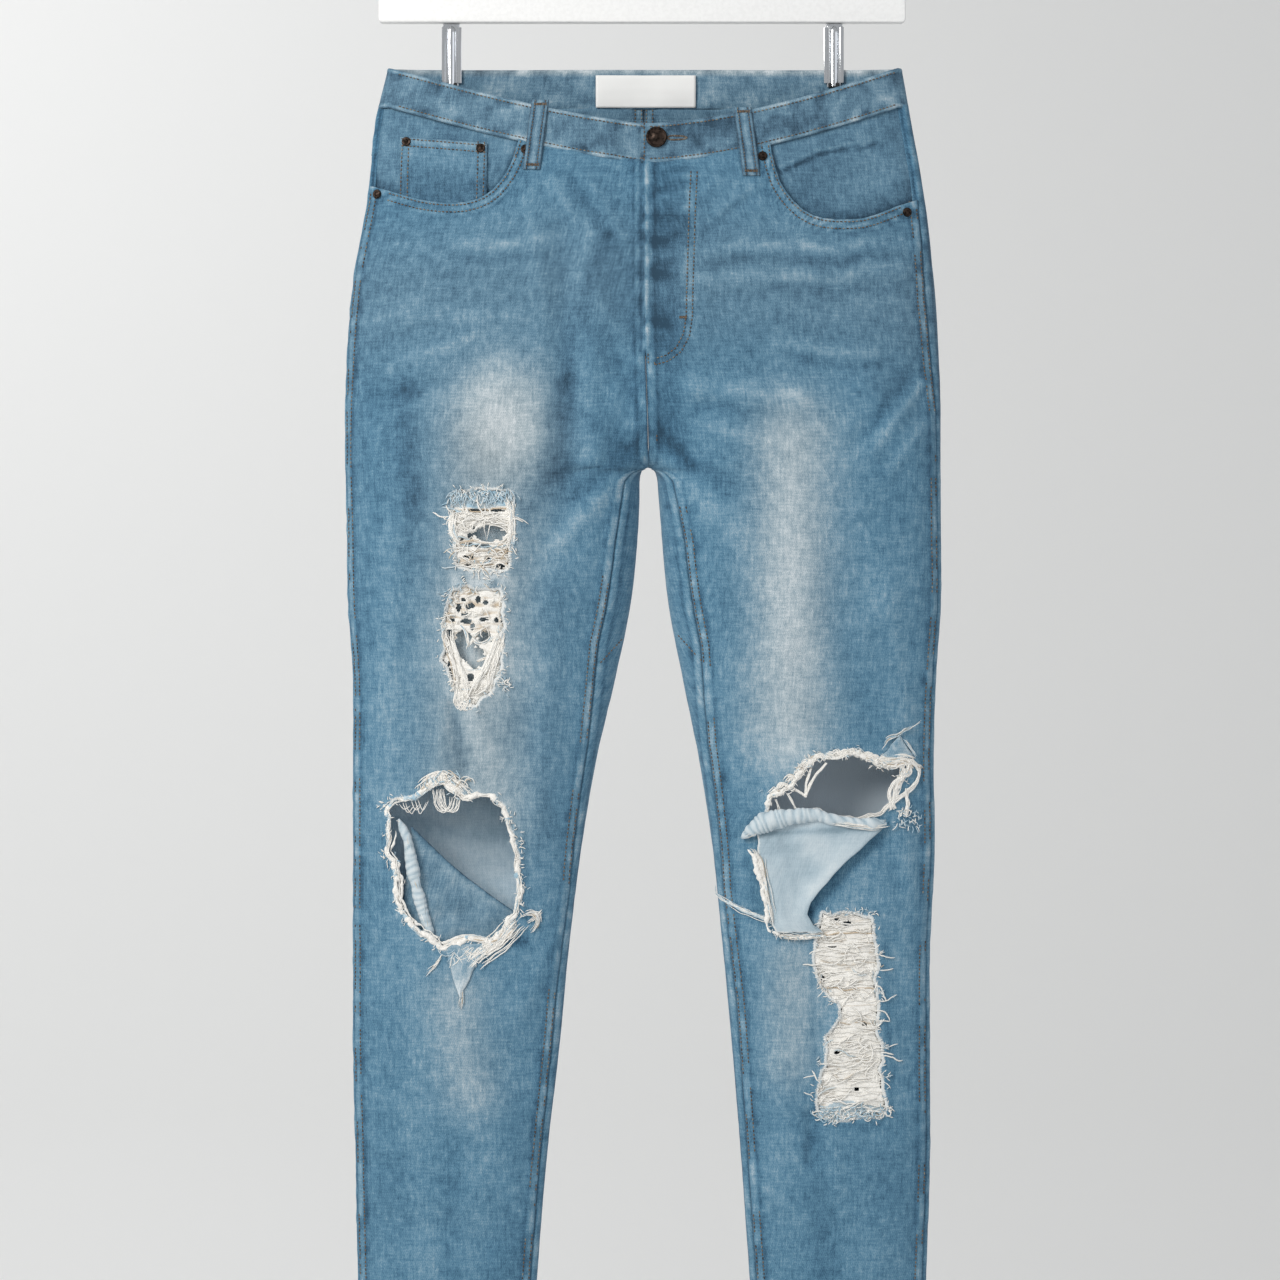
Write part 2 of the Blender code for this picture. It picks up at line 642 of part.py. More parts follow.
def coin_pocket():
    def lines(across, down):
        x = COIN["left"] + (COIN["right"] - COIN["left"]) * across
        top = COIN["left_drop"] + (COIN["right_drop"] - COIN["left_drop"]) * across
        bottom = pocket_edge(-1, x) - COIN_ABOVE
        return x, top + (bottom - top) * down

    patch("coin_pocket", lines, 2, 6, -COIN["sunk"], -COIN["sunk"] - COIN["thick"], "denim")


def cut_pocket(side, panel):
    """Cuts away the panel's upper outer corner along the pocket's opening."""
    edge = POCKET_EDGE[side]
    over = [Place(side * POCKET_SIDE, 0), Place(edge[0].x, 0)]
    name = "pocket_cutter_left" if side > 0 else "pocket_cutter_right"
    add_cutter(name, list(edge) + over, panel, to_y=POCKET_CUT_TO_Y)


def back_pocket(side):
    shape = BACK_POCKET

    def lines(across, down):
        half = shape["half_top"] + (shape["half_bottom"] - shape["half_top"]) * down
        x = side * (shape["middle"] + half * (2 * across - 1))
        bottom = shape["corner"] + shape["point"] * (1 - abs(2 * across - 1))
        return x, shape["top"] + (bottom - shape["top"]) * down

    name = "back_pocket_left" if side > 0 else "back_pocket_right"
    patch(name, lines, 4, 6, shape["clear"] + shape["thick"], shape["clear"], "denim", front=False)


def waist_label():
    """The bare label on the inside of the back waistband."""
    outer = BAND_OUTER - BAND_THICK - LAYER

    def lines(across, down):
        x = LABEL["left"] + (LABEL["right"] - LABEL["left"]) * across
        return x, LABEL["top"] + (LABEL["bottom"] - LABEL["top"]) * down

    patch("waist_label", lines, 1, 6, outer, outer - LABEL["thick"], "label", front=False)


def belt_loop(name, top, bottom, front):
    """A strip from above the waistband's top edge to below its seam, arched a little between its ends."""
    rows = 6

    def lines(across, down):
        x = top.x + (bottom.x - top.x) * down + LOOP_WIDTH * (across - 0.5)
        return x, top.drop + (bottom.drop - top.drop) * down

    arch = [[BAND_OUTER + LOOP_CLEAR + LOOP_ARCH * math.sin(math.pi * r / rows)] for r in range(rows + 1)]
    arch = np.array(arch)
    patch(name, lines, rows, 1, arch + LOOP_THICK, arch, "denim", front)


def turned(name, profile, centre, outward, look, segments):
    """A turned piece whose profile gives radius and height along its outward axis."""
    points, faces = [], []
    turn = Vector((0, 0, 1)).rotation_difference(Vector(outward).normalized())
    for radius, height in profile:
        for k in range(segments):
            angle = 2 * math.pi * k / segments
            spot = turn @ Vector((radius * math.cos(angle), radius * math.sin(angle), height))
            points.append(Vector(centre) + spot)
    for ring in range(len(profile) - 1):
        for k in range(segments):
            a, b = ring * segments + k, ring * segments + (k + 1) % segments
            faces.append((a, b, b + segments, a + segments))
    faces.append(tuple(reversed(range(segments))))
    faces.append(tuple(range((len(profile) - 1) * segments, len(profile) * segments)))
    return add_mesh(name, points, faces, look)


def stud(name, spot, lift, profile, segments):
    point, normal = on_cloth(spot.x, spot.drop)
    turned(name, profile, place(point + normal * lift), normal, "copper", segments)


def comb(name, edge, inward, strands):
    """Strands rooted in a narrow backing that runs along a rip's edge.

    edge(share) is a place along the backing and inward(share) the direction into the rip. Each strand is its share
    along the edge and the places it passes, each with its lift above the cloth.
    """
    length = sum(math.dist(edge(i / 60), edge((i + 1) / 60)) for i in range(60))
    half = THREAD / 2 / length
    stops = [0.0]
    for share, _ in strands:
        stops += [share - half, share + half]
    stops.append(1.0)
    points, faces, roots = [], [], []
    for share in stops:
        x, drop = edge(share)
        way = inward(share)
        for reach, depth in ((0, 0), (0, -BACKING), (BACKING, -BACKING), (BACKING, 0)):
            spot = (x + way[0] * reach, drop + way[1] * reach)
            points.append(off_cloth(*spot, depth - BACKING_DEPTH))
    for k in range(len(stops) - 1):
        a, b = 4 * k, 4 * k + 4
        for i in range(4):
            j = (i + 1) % 4
            if i == 2 and k % 2 == 1:
                roots.append((a + 2, a + 3, b + 3, b + 2))
            else:
                faces.append((a + i, a + j, b + j, b + i))
    last = 4 * (len(stops) - 1)
    faces += [(0, 1, 2, 3), (last + 3, last + 2, last + 1, last)]
    for root, (share, route) in zip(roots, strands):
        corners = [points[i] for i in root]
        middle = sum(corners) / 4
        ring = list(root)
        for x, drop, lift in route:
            centre = off_cloth(x, drop, lift)
            fresh = []
            for corner in corners:
                fresh.append(len(points))
                points.append(centre + (corner - middle))
            faces += [(ring[i], ring[(i + 1) % 4], fresh[(i + 1) % 4], fresh[i]) for i in range(4)]
            ring = fresh
        faces.append(tuple(ring))
    add_mesh(name, [place(p) for p in points], faces, "thread")


def window_threads(name, window, pitch, skip):
    """Weft threads that cross a window from its left edge, but for the gaps worn right through."""
    rng = random.Random(SEED)
    top, bottom = window["drops"][0] + WINDOW_END, window["drops"][-1] - WINDOW_END

    def left(drop):
        return float(np.interp(drop, window["drops"], window["left"])) + SEAM

    def right(drop):
        return float(np.interp(drop, window["drops"], window["right"])) - 2 * SEAM - SEAM

    def edge(share):
        drop = top - WINDOW_RUN + (bottom - top + 2 * WINDOW_RUN) * share
        return left(drop), drop

    def inward(share):
        return 1.0, 0.0

    strands = []
    count = int((bottom - top) / pitch) + 1
    for k in range(count):
        drop = top + (bottom - top) * k / (count - 1)
        share = (drop - top + WINDOW_RUN) / (bottom - top + 2 * WINDOW_RUN)
        reach = right(drop) - left(drop)
        if any(low < drop < high for low, high in skip):
            reach = rng.uniform(*WORN_SHARE) * reach
        sag = rng.uniform(0.0, 0.35) * (pitch - THREAD)
        middle = (left(drop) + reach * 0.5, drop + sag, -THREAD_DEPTH)
        strands.append((share, [middle, (left(drop) + reach, drop, -THREAD_DEPTH)]))
    comb(name, edge, inward, strands)


def fray_along(name, outline, first, last, count, long):
    """Short threads that stand into a rip along part of its outline."""
    rng = random.Random(SEED + count)
    middle = np.mean([(p.x, p.drop) for p in outline], axis=0)
    run = [np.array([p.x, p.drop], float) for p in outline[first:last + 1]]
    steps = [0.0]
    for a, b in zip(run, run[1:]):
        steps.append(steps[-1] + math.dist(a, b))

    def spot(share):
        along = share * steps[-1]
        return np.array([np.interp(along, steps, [p[i] for p in run]) for i in (0, 1)])

    def inward(share):
        ahead, behind = spot(min(share + 0.03, 1)), spot(max(share - 0.03, 0))
        way = np.array([-(ahead - behind)[1], (ahead - behind)[0]])
        way /= np.linalg.norm(way)
        return way if way @ (middle - spot(share)) > 0 else -way

    def edge(share):
        return tuple(spot(share) + inward(share) * EDGE_GAP)

    strands = []
    for k in range(count):
        share = (k + 0.5) / count
        way, start = inward(share), spot(share)
        lean = rng.uniform(-FRAY_LEAN, FRAY_LEAN)
        reach = rng.uniform(0.55, 1.0) * long
        aside = np.array([-way[1], way[0]]) * lean
        mid = start + way * (reach * FRAY_MIDDLE + FRAY_ROOT) + aside * (1 - FRAY_MIDDLE)
        tip = start + way * (reach + FRAY_ROOT) + aside
        strands.append((share, [(*mid, FRAY_LIFT), (*tip, rng.uniform(-FRAY_TIP, FRAY_TIP))]))
    comb(name, edge, inward, strands)


def knee_flap():
    """The cloth folded down below the slash: rolled along its top and standing off the leg along its free edge."""
    grid, outer, inner = [], [], []
    shares = np.arange(FLAP_COLUMNS + 1) / FLAP_COLUMNS
    for row in FLAP:
        grid.append([on_cloth(row.left + (row.right - row.left) * share, row.drop) for share in shares])
        lifts = row.lift + (row.lift_free - row.lift) * shares**2
        inner.append(lifts)
        outer.append(lifts + row.thick)
    add_slab("knee_flap", grid, np.array(outer), np.array(inner), "denim_light")


def wire(name, points, radius, look, sides=2):
    """A round wire through points in millimetres."""
    data = bpy.data.curves.new(name, "CURVE")
    data.dimensions = "3D"
    data.bevel_depth = radius * MM
    data.bevel_resolution = sides
    data.use_fill_caps = True
    spline = data.splines.new("POLY")
    spline.points.add(len(points) - 1)
    for target, spot in zip(spline.points, points):
        target.co = (*(Vector(spot) * MM), 1)
    data.materials.append(material(look))
    obj = bpy.data.objects.new(name, data)
    bpy.context.scene.collection.objects.link(obj)
    return obj


def knee_roll():
    """The rolled torn edge that hangs inside the knee hole, its ends behind the panel."""
    inset = -(WALL + ROLL_RADIUS + 2 * SEAM)
    stops = [Place(*(np.array(a) + (np.array(b) - np.array(a)) * s)) for a, b in zip(ROLL, ROLL[1:]) for s in (0, 0.5)]
    stops.append(ROLL[-1])
    points = [place(off_cloth(p.x, p.drop, inset)) for p in stops]
    wire("knee_roll", points, ROLL_RADIUS, "denim_light", sides=1)


def box(low, high):
    corners = [(x, y, z) for x in (low[0], high[0]) for y in (low[1], high[1]) for z in (low[2], high[2])]
    faces = [(0, 1, 3, 2), (4, 6, 7, 5), (0, 4, 5, 1), (2, 3, 7, 6), (0, 2, 6, 4), (1, 5, 7, 3)]
    return corners, faces


def hanger_board():
    top = BOARD["bottom"] - BOARD["height"]
    half = BOARD["width"] / 2
    low = (BOARD["x"] - half, -BOARD["thick"] / 2, -BOARD["bottom"] - WAIST_BELOW_HOOK)
    high = (BOARD["x"] + half, BOARD["thick"] / 2, -top - WAIST_BELOW_HOOK)
    corners, faces = box(low, high)
    board = add_mesh("hanger_board", corners, faces, "board")
    rounding = board.modifiers.new("round", "BEVEL")
    rounding.width = BOARD["corner"] * MM
    rounding.segments = 2


def hanger_hook():
    """A wire hook that rises from the board and turns over its own middle."""
    ring = HOOK_INNER + HOOK_WIRE
    foot = -(BOARD["bottom"] - BOARD["height"]) - WAIST_BELOW_HOOK + SEAM
    points = [(x, 0, foot + height) for x, height in HOOK_STEM]
    for step in range(HOOK_STEPS):
        angle = math.radians(HOOK_START + HOOK_STEP * step)
        points.append((ring * math.cos(angle), 0, -HOOK_INNER + ring * math.sin(angle)))
    wire("hanger_hook", points, HOOK_WIRE, "chrome")


def clip(name, x):
    """A spring clip: two plates joined over the top, which pinch the back waistband."""
    middle = off_cloth(x, CLIP_LEVEL, BAND_OUTER - BAND_THICK / 2, False)
    normal = on_cloth(x, CLIP_LEVEL, False)[1]
    lean = math.atan2(-normal[0], normal[1])
    half, gap, plate = CLIP["width"] / 2, CLIP["gap"] / 2, CLIP["plate"]
    top, end, web = -CLIP["top"], -CLIP["end"], CLIP["web"]
    outline = [(-gap - plate, end), (-gap - plate, top), (gap + plate, top), (gap + plate, end), (gap, end),
               (gap, top - web), (-gap, top - web), (-gap, end)]
    rib = CLIP["rib"] / 2
    turn = Matrix.Rotation(lean, 3, "Z")

    def put(spot, drop_z):
        moved = turn @ Vector(spot)
        return Vector((x + moved.x, middle[1] + CLOTH_MIDDLE_Y + moved.y, drop_z - WAIST_BELOW_HOOK))

    points = [put((s * half, y, 0), z) for s in (-1, 1) for y, z in outline]
    count = len(outline)
    faces = [(i, (i + 1) % count, count + (i + 1) % count, count + i) for i in range(count)]
    faces += [(0, 1, 6, 7), (1, 2, 5, 6), (2, 3, 4, 5)]
    faces += [tuple(count + i for i in face) for face in ((7, 6, 1, 0), (6, 5, 2, 1), (5, 4, 3, 2))]
    body = add_mesh("hanger_" + name, points, faces, "chrome")
    front_y = -gap - plate
    rib_points, rib_faces = box((-rib, front_y - CLIP["rib_out"], end + 1), (rib, front_y + RIB_INSIDE, top - 1))
    helper = add_mesh(name + "_rib", [put((px, py, 0), pz) for px, py, pz in rib_points], rib_faces, "chrome")
    helper.hide_render = True
    helper.display_type = "WIRE"
    join = body.modifiers.new("rib", "BOOLEAN")
    join.operation = "UNION"
    join.object = helper
    foot_top = end - FOOT["clear"]
    foot_low = (-FOOT["width"] / 2, front_y - FOOT["proud"], foot_top - FOOT["height"])
    foot_high = (FOOT["width"] / 2, -gap, foot_top)
    foot_points, foot_faces = box(foot_low, foot_high)
    add_mesh(name + "_foot", [put((px, py, 0), pz) for px, py, pz in foot_points], foot_faces, "rubber")


def rips(right_panel, left_panel):
    """The rips cut through the front panels, with what is left of their threads."""
    add_cutter("thigh_top_cutter", window_outline(THIGH_TOP), right_panel)
    add_cutter("thigh_low_cutter", window_outline(THIGH_LOW), right_panel)
    add_cutter("knee_hole_cutter", KNEE_HOLE, right_panel)
    add_cutter("knee_slash_cutter", KNEE_SLASH, left_panel)
    add_cutter("shin_cutter", window_outline(SHIN), left_panel)
    window_threads("thigh_threads_upper", THIGH_TOP, 4.2, [(365, 377)])
    window_threads("thigh_threads_lower", THIGH_LOW, 4.6, [(450, 484)])
    window_threads("shin_threads", SHIN, 4.0, [])
    for name, fray in FRAYS.items():
        fray_along(name, *fray)
    knee_roll()
    knee_flap()


def build():
    clear_scene()
    panels = {side: front_panel(side) for side in (-1, 1)}
    for side in (-1, 1):
        back_panel(side)
        back_yoke(side)
        pocket_facing(side)
        cut_pocket(side, panels[side])
        back_pocket(side)
    waistband()
    fly_placket()
    coin_pocket()
    waist_label()
    for name, loop in LOOPS.items():
        belt_loop(name, *loop)
    stud("waist_button", BUTTON, BAND_OUTER + BUTTON_LIFT, BUTTON_PROFILE, BUTTON_SIDES)
    for name, spot in RIVETS.items():
        lift = 0.0 if "coin" in name else RIVET_LIFT
        stud(name, spot, lift, RIVET_PROFILE, RIVET_SIDES)
    rips(panels[-1], panels[1])
    hanger_board()
    hanger_hook()
    for name, x in CLIPS.items():
        clip(name, x)


build()
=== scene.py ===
import math
import random

import bmesh
import bpy
import numpy as np
from mathutils import Matrix, Vector

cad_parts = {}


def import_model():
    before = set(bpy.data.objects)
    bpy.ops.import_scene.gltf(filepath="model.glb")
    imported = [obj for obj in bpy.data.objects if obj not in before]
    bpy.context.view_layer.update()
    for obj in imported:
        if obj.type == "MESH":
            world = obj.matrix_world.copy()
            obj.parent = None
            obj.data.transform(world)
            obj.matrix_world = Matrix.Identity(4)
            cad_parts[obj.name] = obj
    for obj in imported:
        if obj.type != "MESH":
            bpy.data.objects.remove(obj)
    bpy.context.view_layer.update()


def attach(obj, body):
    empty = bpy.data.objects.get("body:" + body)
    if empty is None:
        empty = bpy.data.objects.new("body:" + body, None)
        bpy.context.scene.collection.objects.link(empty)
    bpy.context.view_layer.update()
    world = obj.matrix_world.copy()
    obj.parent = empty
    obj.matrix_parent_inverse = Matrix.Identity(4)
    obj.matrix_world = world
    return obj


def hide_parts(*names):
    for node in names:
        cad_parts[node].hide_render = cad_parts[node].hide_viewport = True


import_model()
mm = 0.001
pi = math.pi

# Colours and node helpers


def linear(code):
    # sRGB hex to linear RGBA
    parts = [int(code[i:i + 2], 16) / 255 for i in (1, 3, 5)]
    return (*[c / 12.92 if c <= 0.04045 else ((c + 0.055) / 1.055) ** 2.4 for c in parts], 1.0)


def addNode(tree, kind, links=None, values=None, **settings):
    node = tree.nodes.new(kind)
    for name, value in settings.items():
        setattr(node, name, value)
    for key, value in (values or {}).items():
        node.inputs[key].default_value = value
    for key, source in (links or {}).items():
        tree.links.new(source, node.inputs[key])
    return node


def newMaterial(name, colour, roughness, **sockets):
    material = bpy.data.materials.new(name)
    material.use_nodes = True
    material.diffuse_color = linear(colour)
    shader = material.node_tree.nodes["Principled BSDF"]
    shader.inputs["Base Color"].default_value = linear(colour)
    shader.inputs["Roughness"].default_value = roughness
    for key, value in sockets.items():
        shader.inputs[key].default_value = value
    return material, material.node_tree, shader


def addRamp(tree, source, stops):
    ramp = addNode(tree, "ShaderNodeValToRGB", {"Fac": source})
    elements = ramp.color_ramp.elements
    while len(elements) < len(stops):
        elements.new(0.5)
    for element, (place, code) in zip(elements, stops):
        element.position = place
        element.color = linear(code)
    return ramp.outputs["Color"]


def addMath(tree, operation, a, b, clamp=False):
    node = addNode(tree, "ShaderNodeMath", operation=operation, use_clamp=clamp)
    for socket, value in zip(node.inputs, (a, b)):
        if isinstance(value, (int, float)):
            socket.default_value = value
        else:
            tree.links.new(value, socket)
    return node.outputs[0]


def addMix(tree, factor, a, b):
    node = addNode(tree, "ShaderNodeMix", data_type="RGBA")
    for socket, value in zip((node.inputs[0], node.inputs[6], node.inputs[7]), (factor, a, b)):
        if isinstance(value, (int, float)):
            socket.default_value = value
        elif isinstance(value, str):
            socket.default_value = linear(value)
        else:
            tree.links.new(value, socket)
    return node.outputs[2]


# Materials

# Real sizes in mm. A twill line is about 0.6 mm on such denim, too fine to show, so it is drawn at 1.5 mm.
denim = {
    "twill": 1.5,
    "grain": 1.3,
    "slubWide": 1.7,
    "slubLong": 15.0,
    "mottle": 6.0,
    "cloud": 46.0,
    "bump": 0.22,
}


def denimCloth(name, stops, grey, contrast, bump, wrongSide=False):
    # Cotton twill: the colour is read from how much indigo is worn away, with painted light and shade added, kept in
    # the cloth's own attributes.
    material, tree, shader = newMaterial(name, stops[len(stops) // 2][1], 0.92)
    shader.inputs["Specular IOR Level"].default_value = 0.22
    shader.inputs["Sheen Weight"].default_value = 0.12  # the fuzz of brushed cotton
    shader.inputs["Sheen Roughness"].default_value = 0.6
    place = addNode(tree, "ShaderNodeAttribute", attribute_name="place").outputs["Vector"]
    fade = addNode(tree, "ShaderNodeAttribute", attribute_name="fade").outputs["Fac"]
    worn = addNode(tree, "ShaderNodeAttribute", attribute_name="grey").outputs["Fac"]
    tear = addNode(tree, "ShaderNodeAttribute", attribute_name="tear").outputs["Fac"]

    def noiseAt(wide, long, detail):
        scaled = addNode(tree, "ShaderNodeVectorMath", {0: place}, {1: (1 / wide, 1 / long, 1.0)},
                         operation="MULTIPLY")
        made = addNode(tree, "ShaderNodeTexNoise", {"Vector": scaled.outputs[0]},
                       {"Scale": 1.0, "Detail": detail, "Roughness": 0.6})
        return addMath(tree, "SUBTRACT", made.outputs["Fac"], 0.5)

    grain = noiseAt(denim["grain"], denim["grain"], 3.0)
    slub = noiseAt(denim["slubWide"], denim["slubLong"], 2.0)
    weft = noiseAt(denim["slubLong"], denim["slubWide"], 1.0)
    mottle = noiseAt(denim["mottle"], denim["mottle"] * 1.4, 3.0)
    cloud = noiseAt(denim["cloud"], denim["cloud"] * 1.7, 2.0)
    turned = addNode(tree, "ShaderNodeMapping", {"Vector": place}, {"Rotation": (0, 0, math.radians(27))})
    twill = addNode(tree, "ShaderNodeTexWave", {"Vector": turned.outputs[0]},
                    {"Scale": 0.314 / denim["twill"], "Distortion": 1.2, "Detail": 1.0, "Detail Scale": 2.0})
    wave = addMath(tree, "SUBTRACT", twill.outputs["Fac"], 0.5)
    total = fade
    if wrongSide:
        # the inner side seen through the rips is brightened by painted light
        within = addNode(tree, "ShaderNodeAttribute", attribute_name="inside").outputs["Fac"]
        total = addMath(tree, "ADD", fade, within)
    for source, share in ((grain, 0.50), (slub, 0.40), (weft, 0.24), (mottle, 0.50), (cloud, 0.26), (wave, 0.06)):
        total = addMath(tree, "ADD", total, addMath(tree, "MULTIPLY", source, share * contrast))
    colour = addRamp(tree, total, stops)
    greyed = addMix(tree, worn, colour, addRamp(tree, total, grey))
    # torn edges are bare white weft, a little uneven
    ragged = addMath(tree, "ADD", tear, addMath(tree, "MULTIPLY", grain, 0.8))
    white = addRamp(tree, ragged, [(0.45, "#000000"), (0.7, "#ffffff")])
    tree.links.new(addMix(tree, white, greyed, "#dde0df"), shader.inputs["Base Color"])
    height = addMath(tree, "ADD", addMath(tree, "MULTIPLY", wave, 0.5), addMath(tree, "ADD", grain, slub))
    relief = addNode(tree, "ShaderNodeBump", {"Height": height}, {"Strength": bump, "Distance": denim["bump"] * mm})
    tree.links.new(relief.outputs["Normal"], shader.inputs["Normal"])
    return material


# Indigo dyed on the warp only: deep where it is fresh and in painted shade, through steel blue, to pale grey-blue where
# it is rubbed
denimFace = denimCloth(
    "denimFaceStoneWashed",
    [(0.0, "#23455c"), (0.2, "#37627e"), (0.4, "#52809b"), (0.55, "#6d94ab"), (0.75, "#9cb3c0"), (1.0, "#ccd7dc")],
    [(0.0, "#3b4a54"), (0.4, "#76868f"), (0.7, "#a3b0b6"), (1.0, "#d3d9dc")], 1.0, 0.5)
# The wrong side shows the undyed weft, so it is greyer and paler
denimBack = denimCloth(
    "denimWrongSide",
    [(0.0, "#5f7e92"), (0.3, "#8dadc0"), (0.5, "#a8c4d5"), (0.7, "#c2d9e6"), (1.0, "#e6f2fa")],
    [(0.0, "#5f7b8e"), (0.5, "#a3becf"), (1.0, "#dfecf5")], 0.8, 0.5, wrongSide=True)
# The folded flap shows its bleached wrong side
denimPale = denimCloth(
    "denimBleachedWrongSide",
    [(0.0, "#7f98a6"), (0.3, "#a5bbc7"), (0.55, "#c0d0d8"), (0.8, "#d5dfe3"), (1.0, "#e9edee")],
    [(0.0, "#8f9ba2"), (0.5, "#c0c8cc"), (1.0, "#e6e9ea")], 0.6, 0.5)


def cottonYarn(name, white, other, cool):
    # Loose cotton yarn: matt, with soft fuzz, each strand a slightly different tone.
    material, tree, shader = newMaterial(name, white, 0.95)
    shader.inputs["Specular IOR Level"].default_value = 0.2
    shader.inputs["Sheen Weight"].default_value = 0.2
    tint = addNode(tree, "ShaderNodeAttribute", attribute_name="tint").outputs["Fac"]
    colour = addRamp(tree, tint, [(0.0, other), (0.45, white), (0.7, white), (1.0, cool)])
    spot = addNode(tree, "ShaderNodeTexCoord").outputs["Object"]
    twist = addNode(tree, "ShaderNodeTexNoise", {"Vector": spot}, {"Scale": 900.0, "Detail": 2.0})  # 1.1 mm
    dark = addRamp(tree, twist.outputs["Fac"], [(0.3, "#d6d2ca"), (0.6, "#ffffff")])
    both = addNode(tree, "ShaderNodeMix", {6: colour, 7: dark}, {0: 0.45}, data_type="RGBA", blend_type="MULTIPLY")
    tree.links.new(both.outputs[2], shader.inputs["Base Color"])
    return material


bareWeft = cottonYarn("undyedCottonWeft", "#f8f6f1", "#cdbba2", "#a4c4d6")
seamThread = cottonYarn("coreSpunSewingThread", "#6f5f50", "#47392e", "#8d8a80")


def plainMetal(name, colour, roughness, stain, metallic=1.0, grain=420.0):
    material, tree, shader = newMaterial(name, colour, roughness, Metallic=metallic)
    spot = addNode(tree, "ShaderNodeTexCoord").outputs["Object"]
    patina = addNode(tree, "ShaderNodeTexNoise", {"Vector": spot}, {"Scale": grain, "Detail": 4.0})  # 420 is 2.4 mm
    shade = addRamp(tree, patina.outputs["Fac"], [(0.35, stain), (0.62, colour)])
    tree.links.new(shade, shader.inputs["Base Color"])
    spread = addNode(tree, "ShaderNodeMapRange", {"Value": patina.outputs["Fac"]},
                     {"From Min": 0.3, "From Max": 0.7, "To Min": roughness * 1.3, "To Max": roughness * 0.8})
    tree.links.new(spread.outputs[0], shader.inputs["Roughness"])
    return material


agedCopper = plainMetal("agedCopperPlatedBrass", "#453a34", 0.5, "#221e1b")
chromePlate = plainMetal("chromePlatedSteel", "#dddfe2", 0.16, "#d3d6d9", grain=40.0)
rubberFoot = plainMetal("mouldedNitrileRubber", "#2b2b2d", 0.75, "#1f1f21", metallic=0.0)
paintedBoard = plainMetal("satinWhiteLacqueredBoard", "#f4f4f3", 0.38, "#eeeeed", metallic=0.0)


def wovenTape():
    # Bleached polyester satin tape with fine ribs across it.
    material, tree, shader = newMaterial("wovenSatinTape", "#f1f1ef", 0.6)
    shader.inputs["Sheen Weight"].default_value = 0.15
    spot = addNode(tree, "ShaderNodeTexCoord").outputs["Object"]
    ribs = addNode(tree, "ShaderNodeTexWave", {"Vector": spot}, {"Scale": 0.314 / 0.0009, "Distortion": 0.6},
                   bands_direction="Z")  # 0.9 mm ribs
    shade = addRamp(tree, ribs.outputs["Fac"], [(0.2, "#e6e6e4"), (0.7, "#f5f5f3")])
    tree.links.new(shade, shader.inputs["Base Color"])
    relief = addNode(tree, "ShaderNodeBump", {"Height": ribs.outputs["Fac"]}, {"Strength": 0.3, "Distance": 0.0002})
    tree.links.new(relief.outputs["Normal"], shader.inputs["Normal"])
    return material


labelTape = wovenTape()
print("materials made")

# The form of the cloth, as the frame has it

hang = {"waistBelowHook": 135.0, "middleY": -13.5}
cloth = {
    "wall": 1.6, "seam": 0.4, "crotch": 323.0, "crotchRound": 12.0, "crotchShift": 3.6, "riseStart": 180.0,
    "splitStart": 230.0, "splitPower": 3.0, "nearRise": 0.3, "legPower": 2.6, "bodyPower": 3.0,
    "hemTop": 1119.0, "hem": 1133.0, "legStart": 230.0,
}
band = {
    "height": 32.5, "outer": 0.5, "thick": 2.6, "dip": 46.4, "lowest": 48.0, "middleX": 4.8,
    "reach": {-1: 210.4, 1: 200.0}, "power": {-1: 1.38, 1: 1.58}, "sideDrop": 1.6, "halfWidth": 206.0,
}
yoke = {"side": 71.0, "point": 34.0, "half": 225.0}

# drop, outer right, inner right, inner left, outer left, front depth, back depth
sections = np.array([
    (-10, -205, -3, 10, 205, 21, 21), (0, -206, -3, 10, 207, 21, 21), (40, -215, -3, 10, 214, 21, 21),
    (105, -222, -3, 10, 226, 28, 30), (175, -234, -3, 10, 234, 34, 40), (270, -240, -3, 10, 239, 38, 46),
    (323, -240, -3, 10, 239, 38, 46), (366, -239, -4, 13, 239, 36, 42), (430, -238, -10, 19, 239, 33, 37),
    (494, -234, -23, 31, 235, 30, 33), (558, -234, -38, 44, 233, 27, 30), (622, -234, -49, 54, 234, 26, 28),
    (718, -234, -61, 64, 230, 24, 27), (782, -234, -67, 70, 230, 22, 26), (878, -232, -78, 78, 230, 20, 24),
    (974, -230, -86, 85, 227, 19, 22), (1133, -224, -96, 96, 222, 18, 20)], float)
outerOf, innerOf = {-1: 1, 1: 4}, {-1: 2, 1: 3}

# drop, how far the seam lies in from the edge of the leg
inseam = np.array([(323, 0), (328, 8), (335, 13), (384, 18.5), (465, 20), (498, 16), (547, 9.6), (662, 5.2),
                   (750, 7), (865, 5.6), (1133, 4.8)], float)
outseam = {
    -1: np.array([(0, 1.5), (1133, 1.5)], float),
    1: np.array([(0, 5), (60, 6), (190, 9.6), (240, 8), (280, 5), (400, 3.5), (1133, 3.5)], float),
}

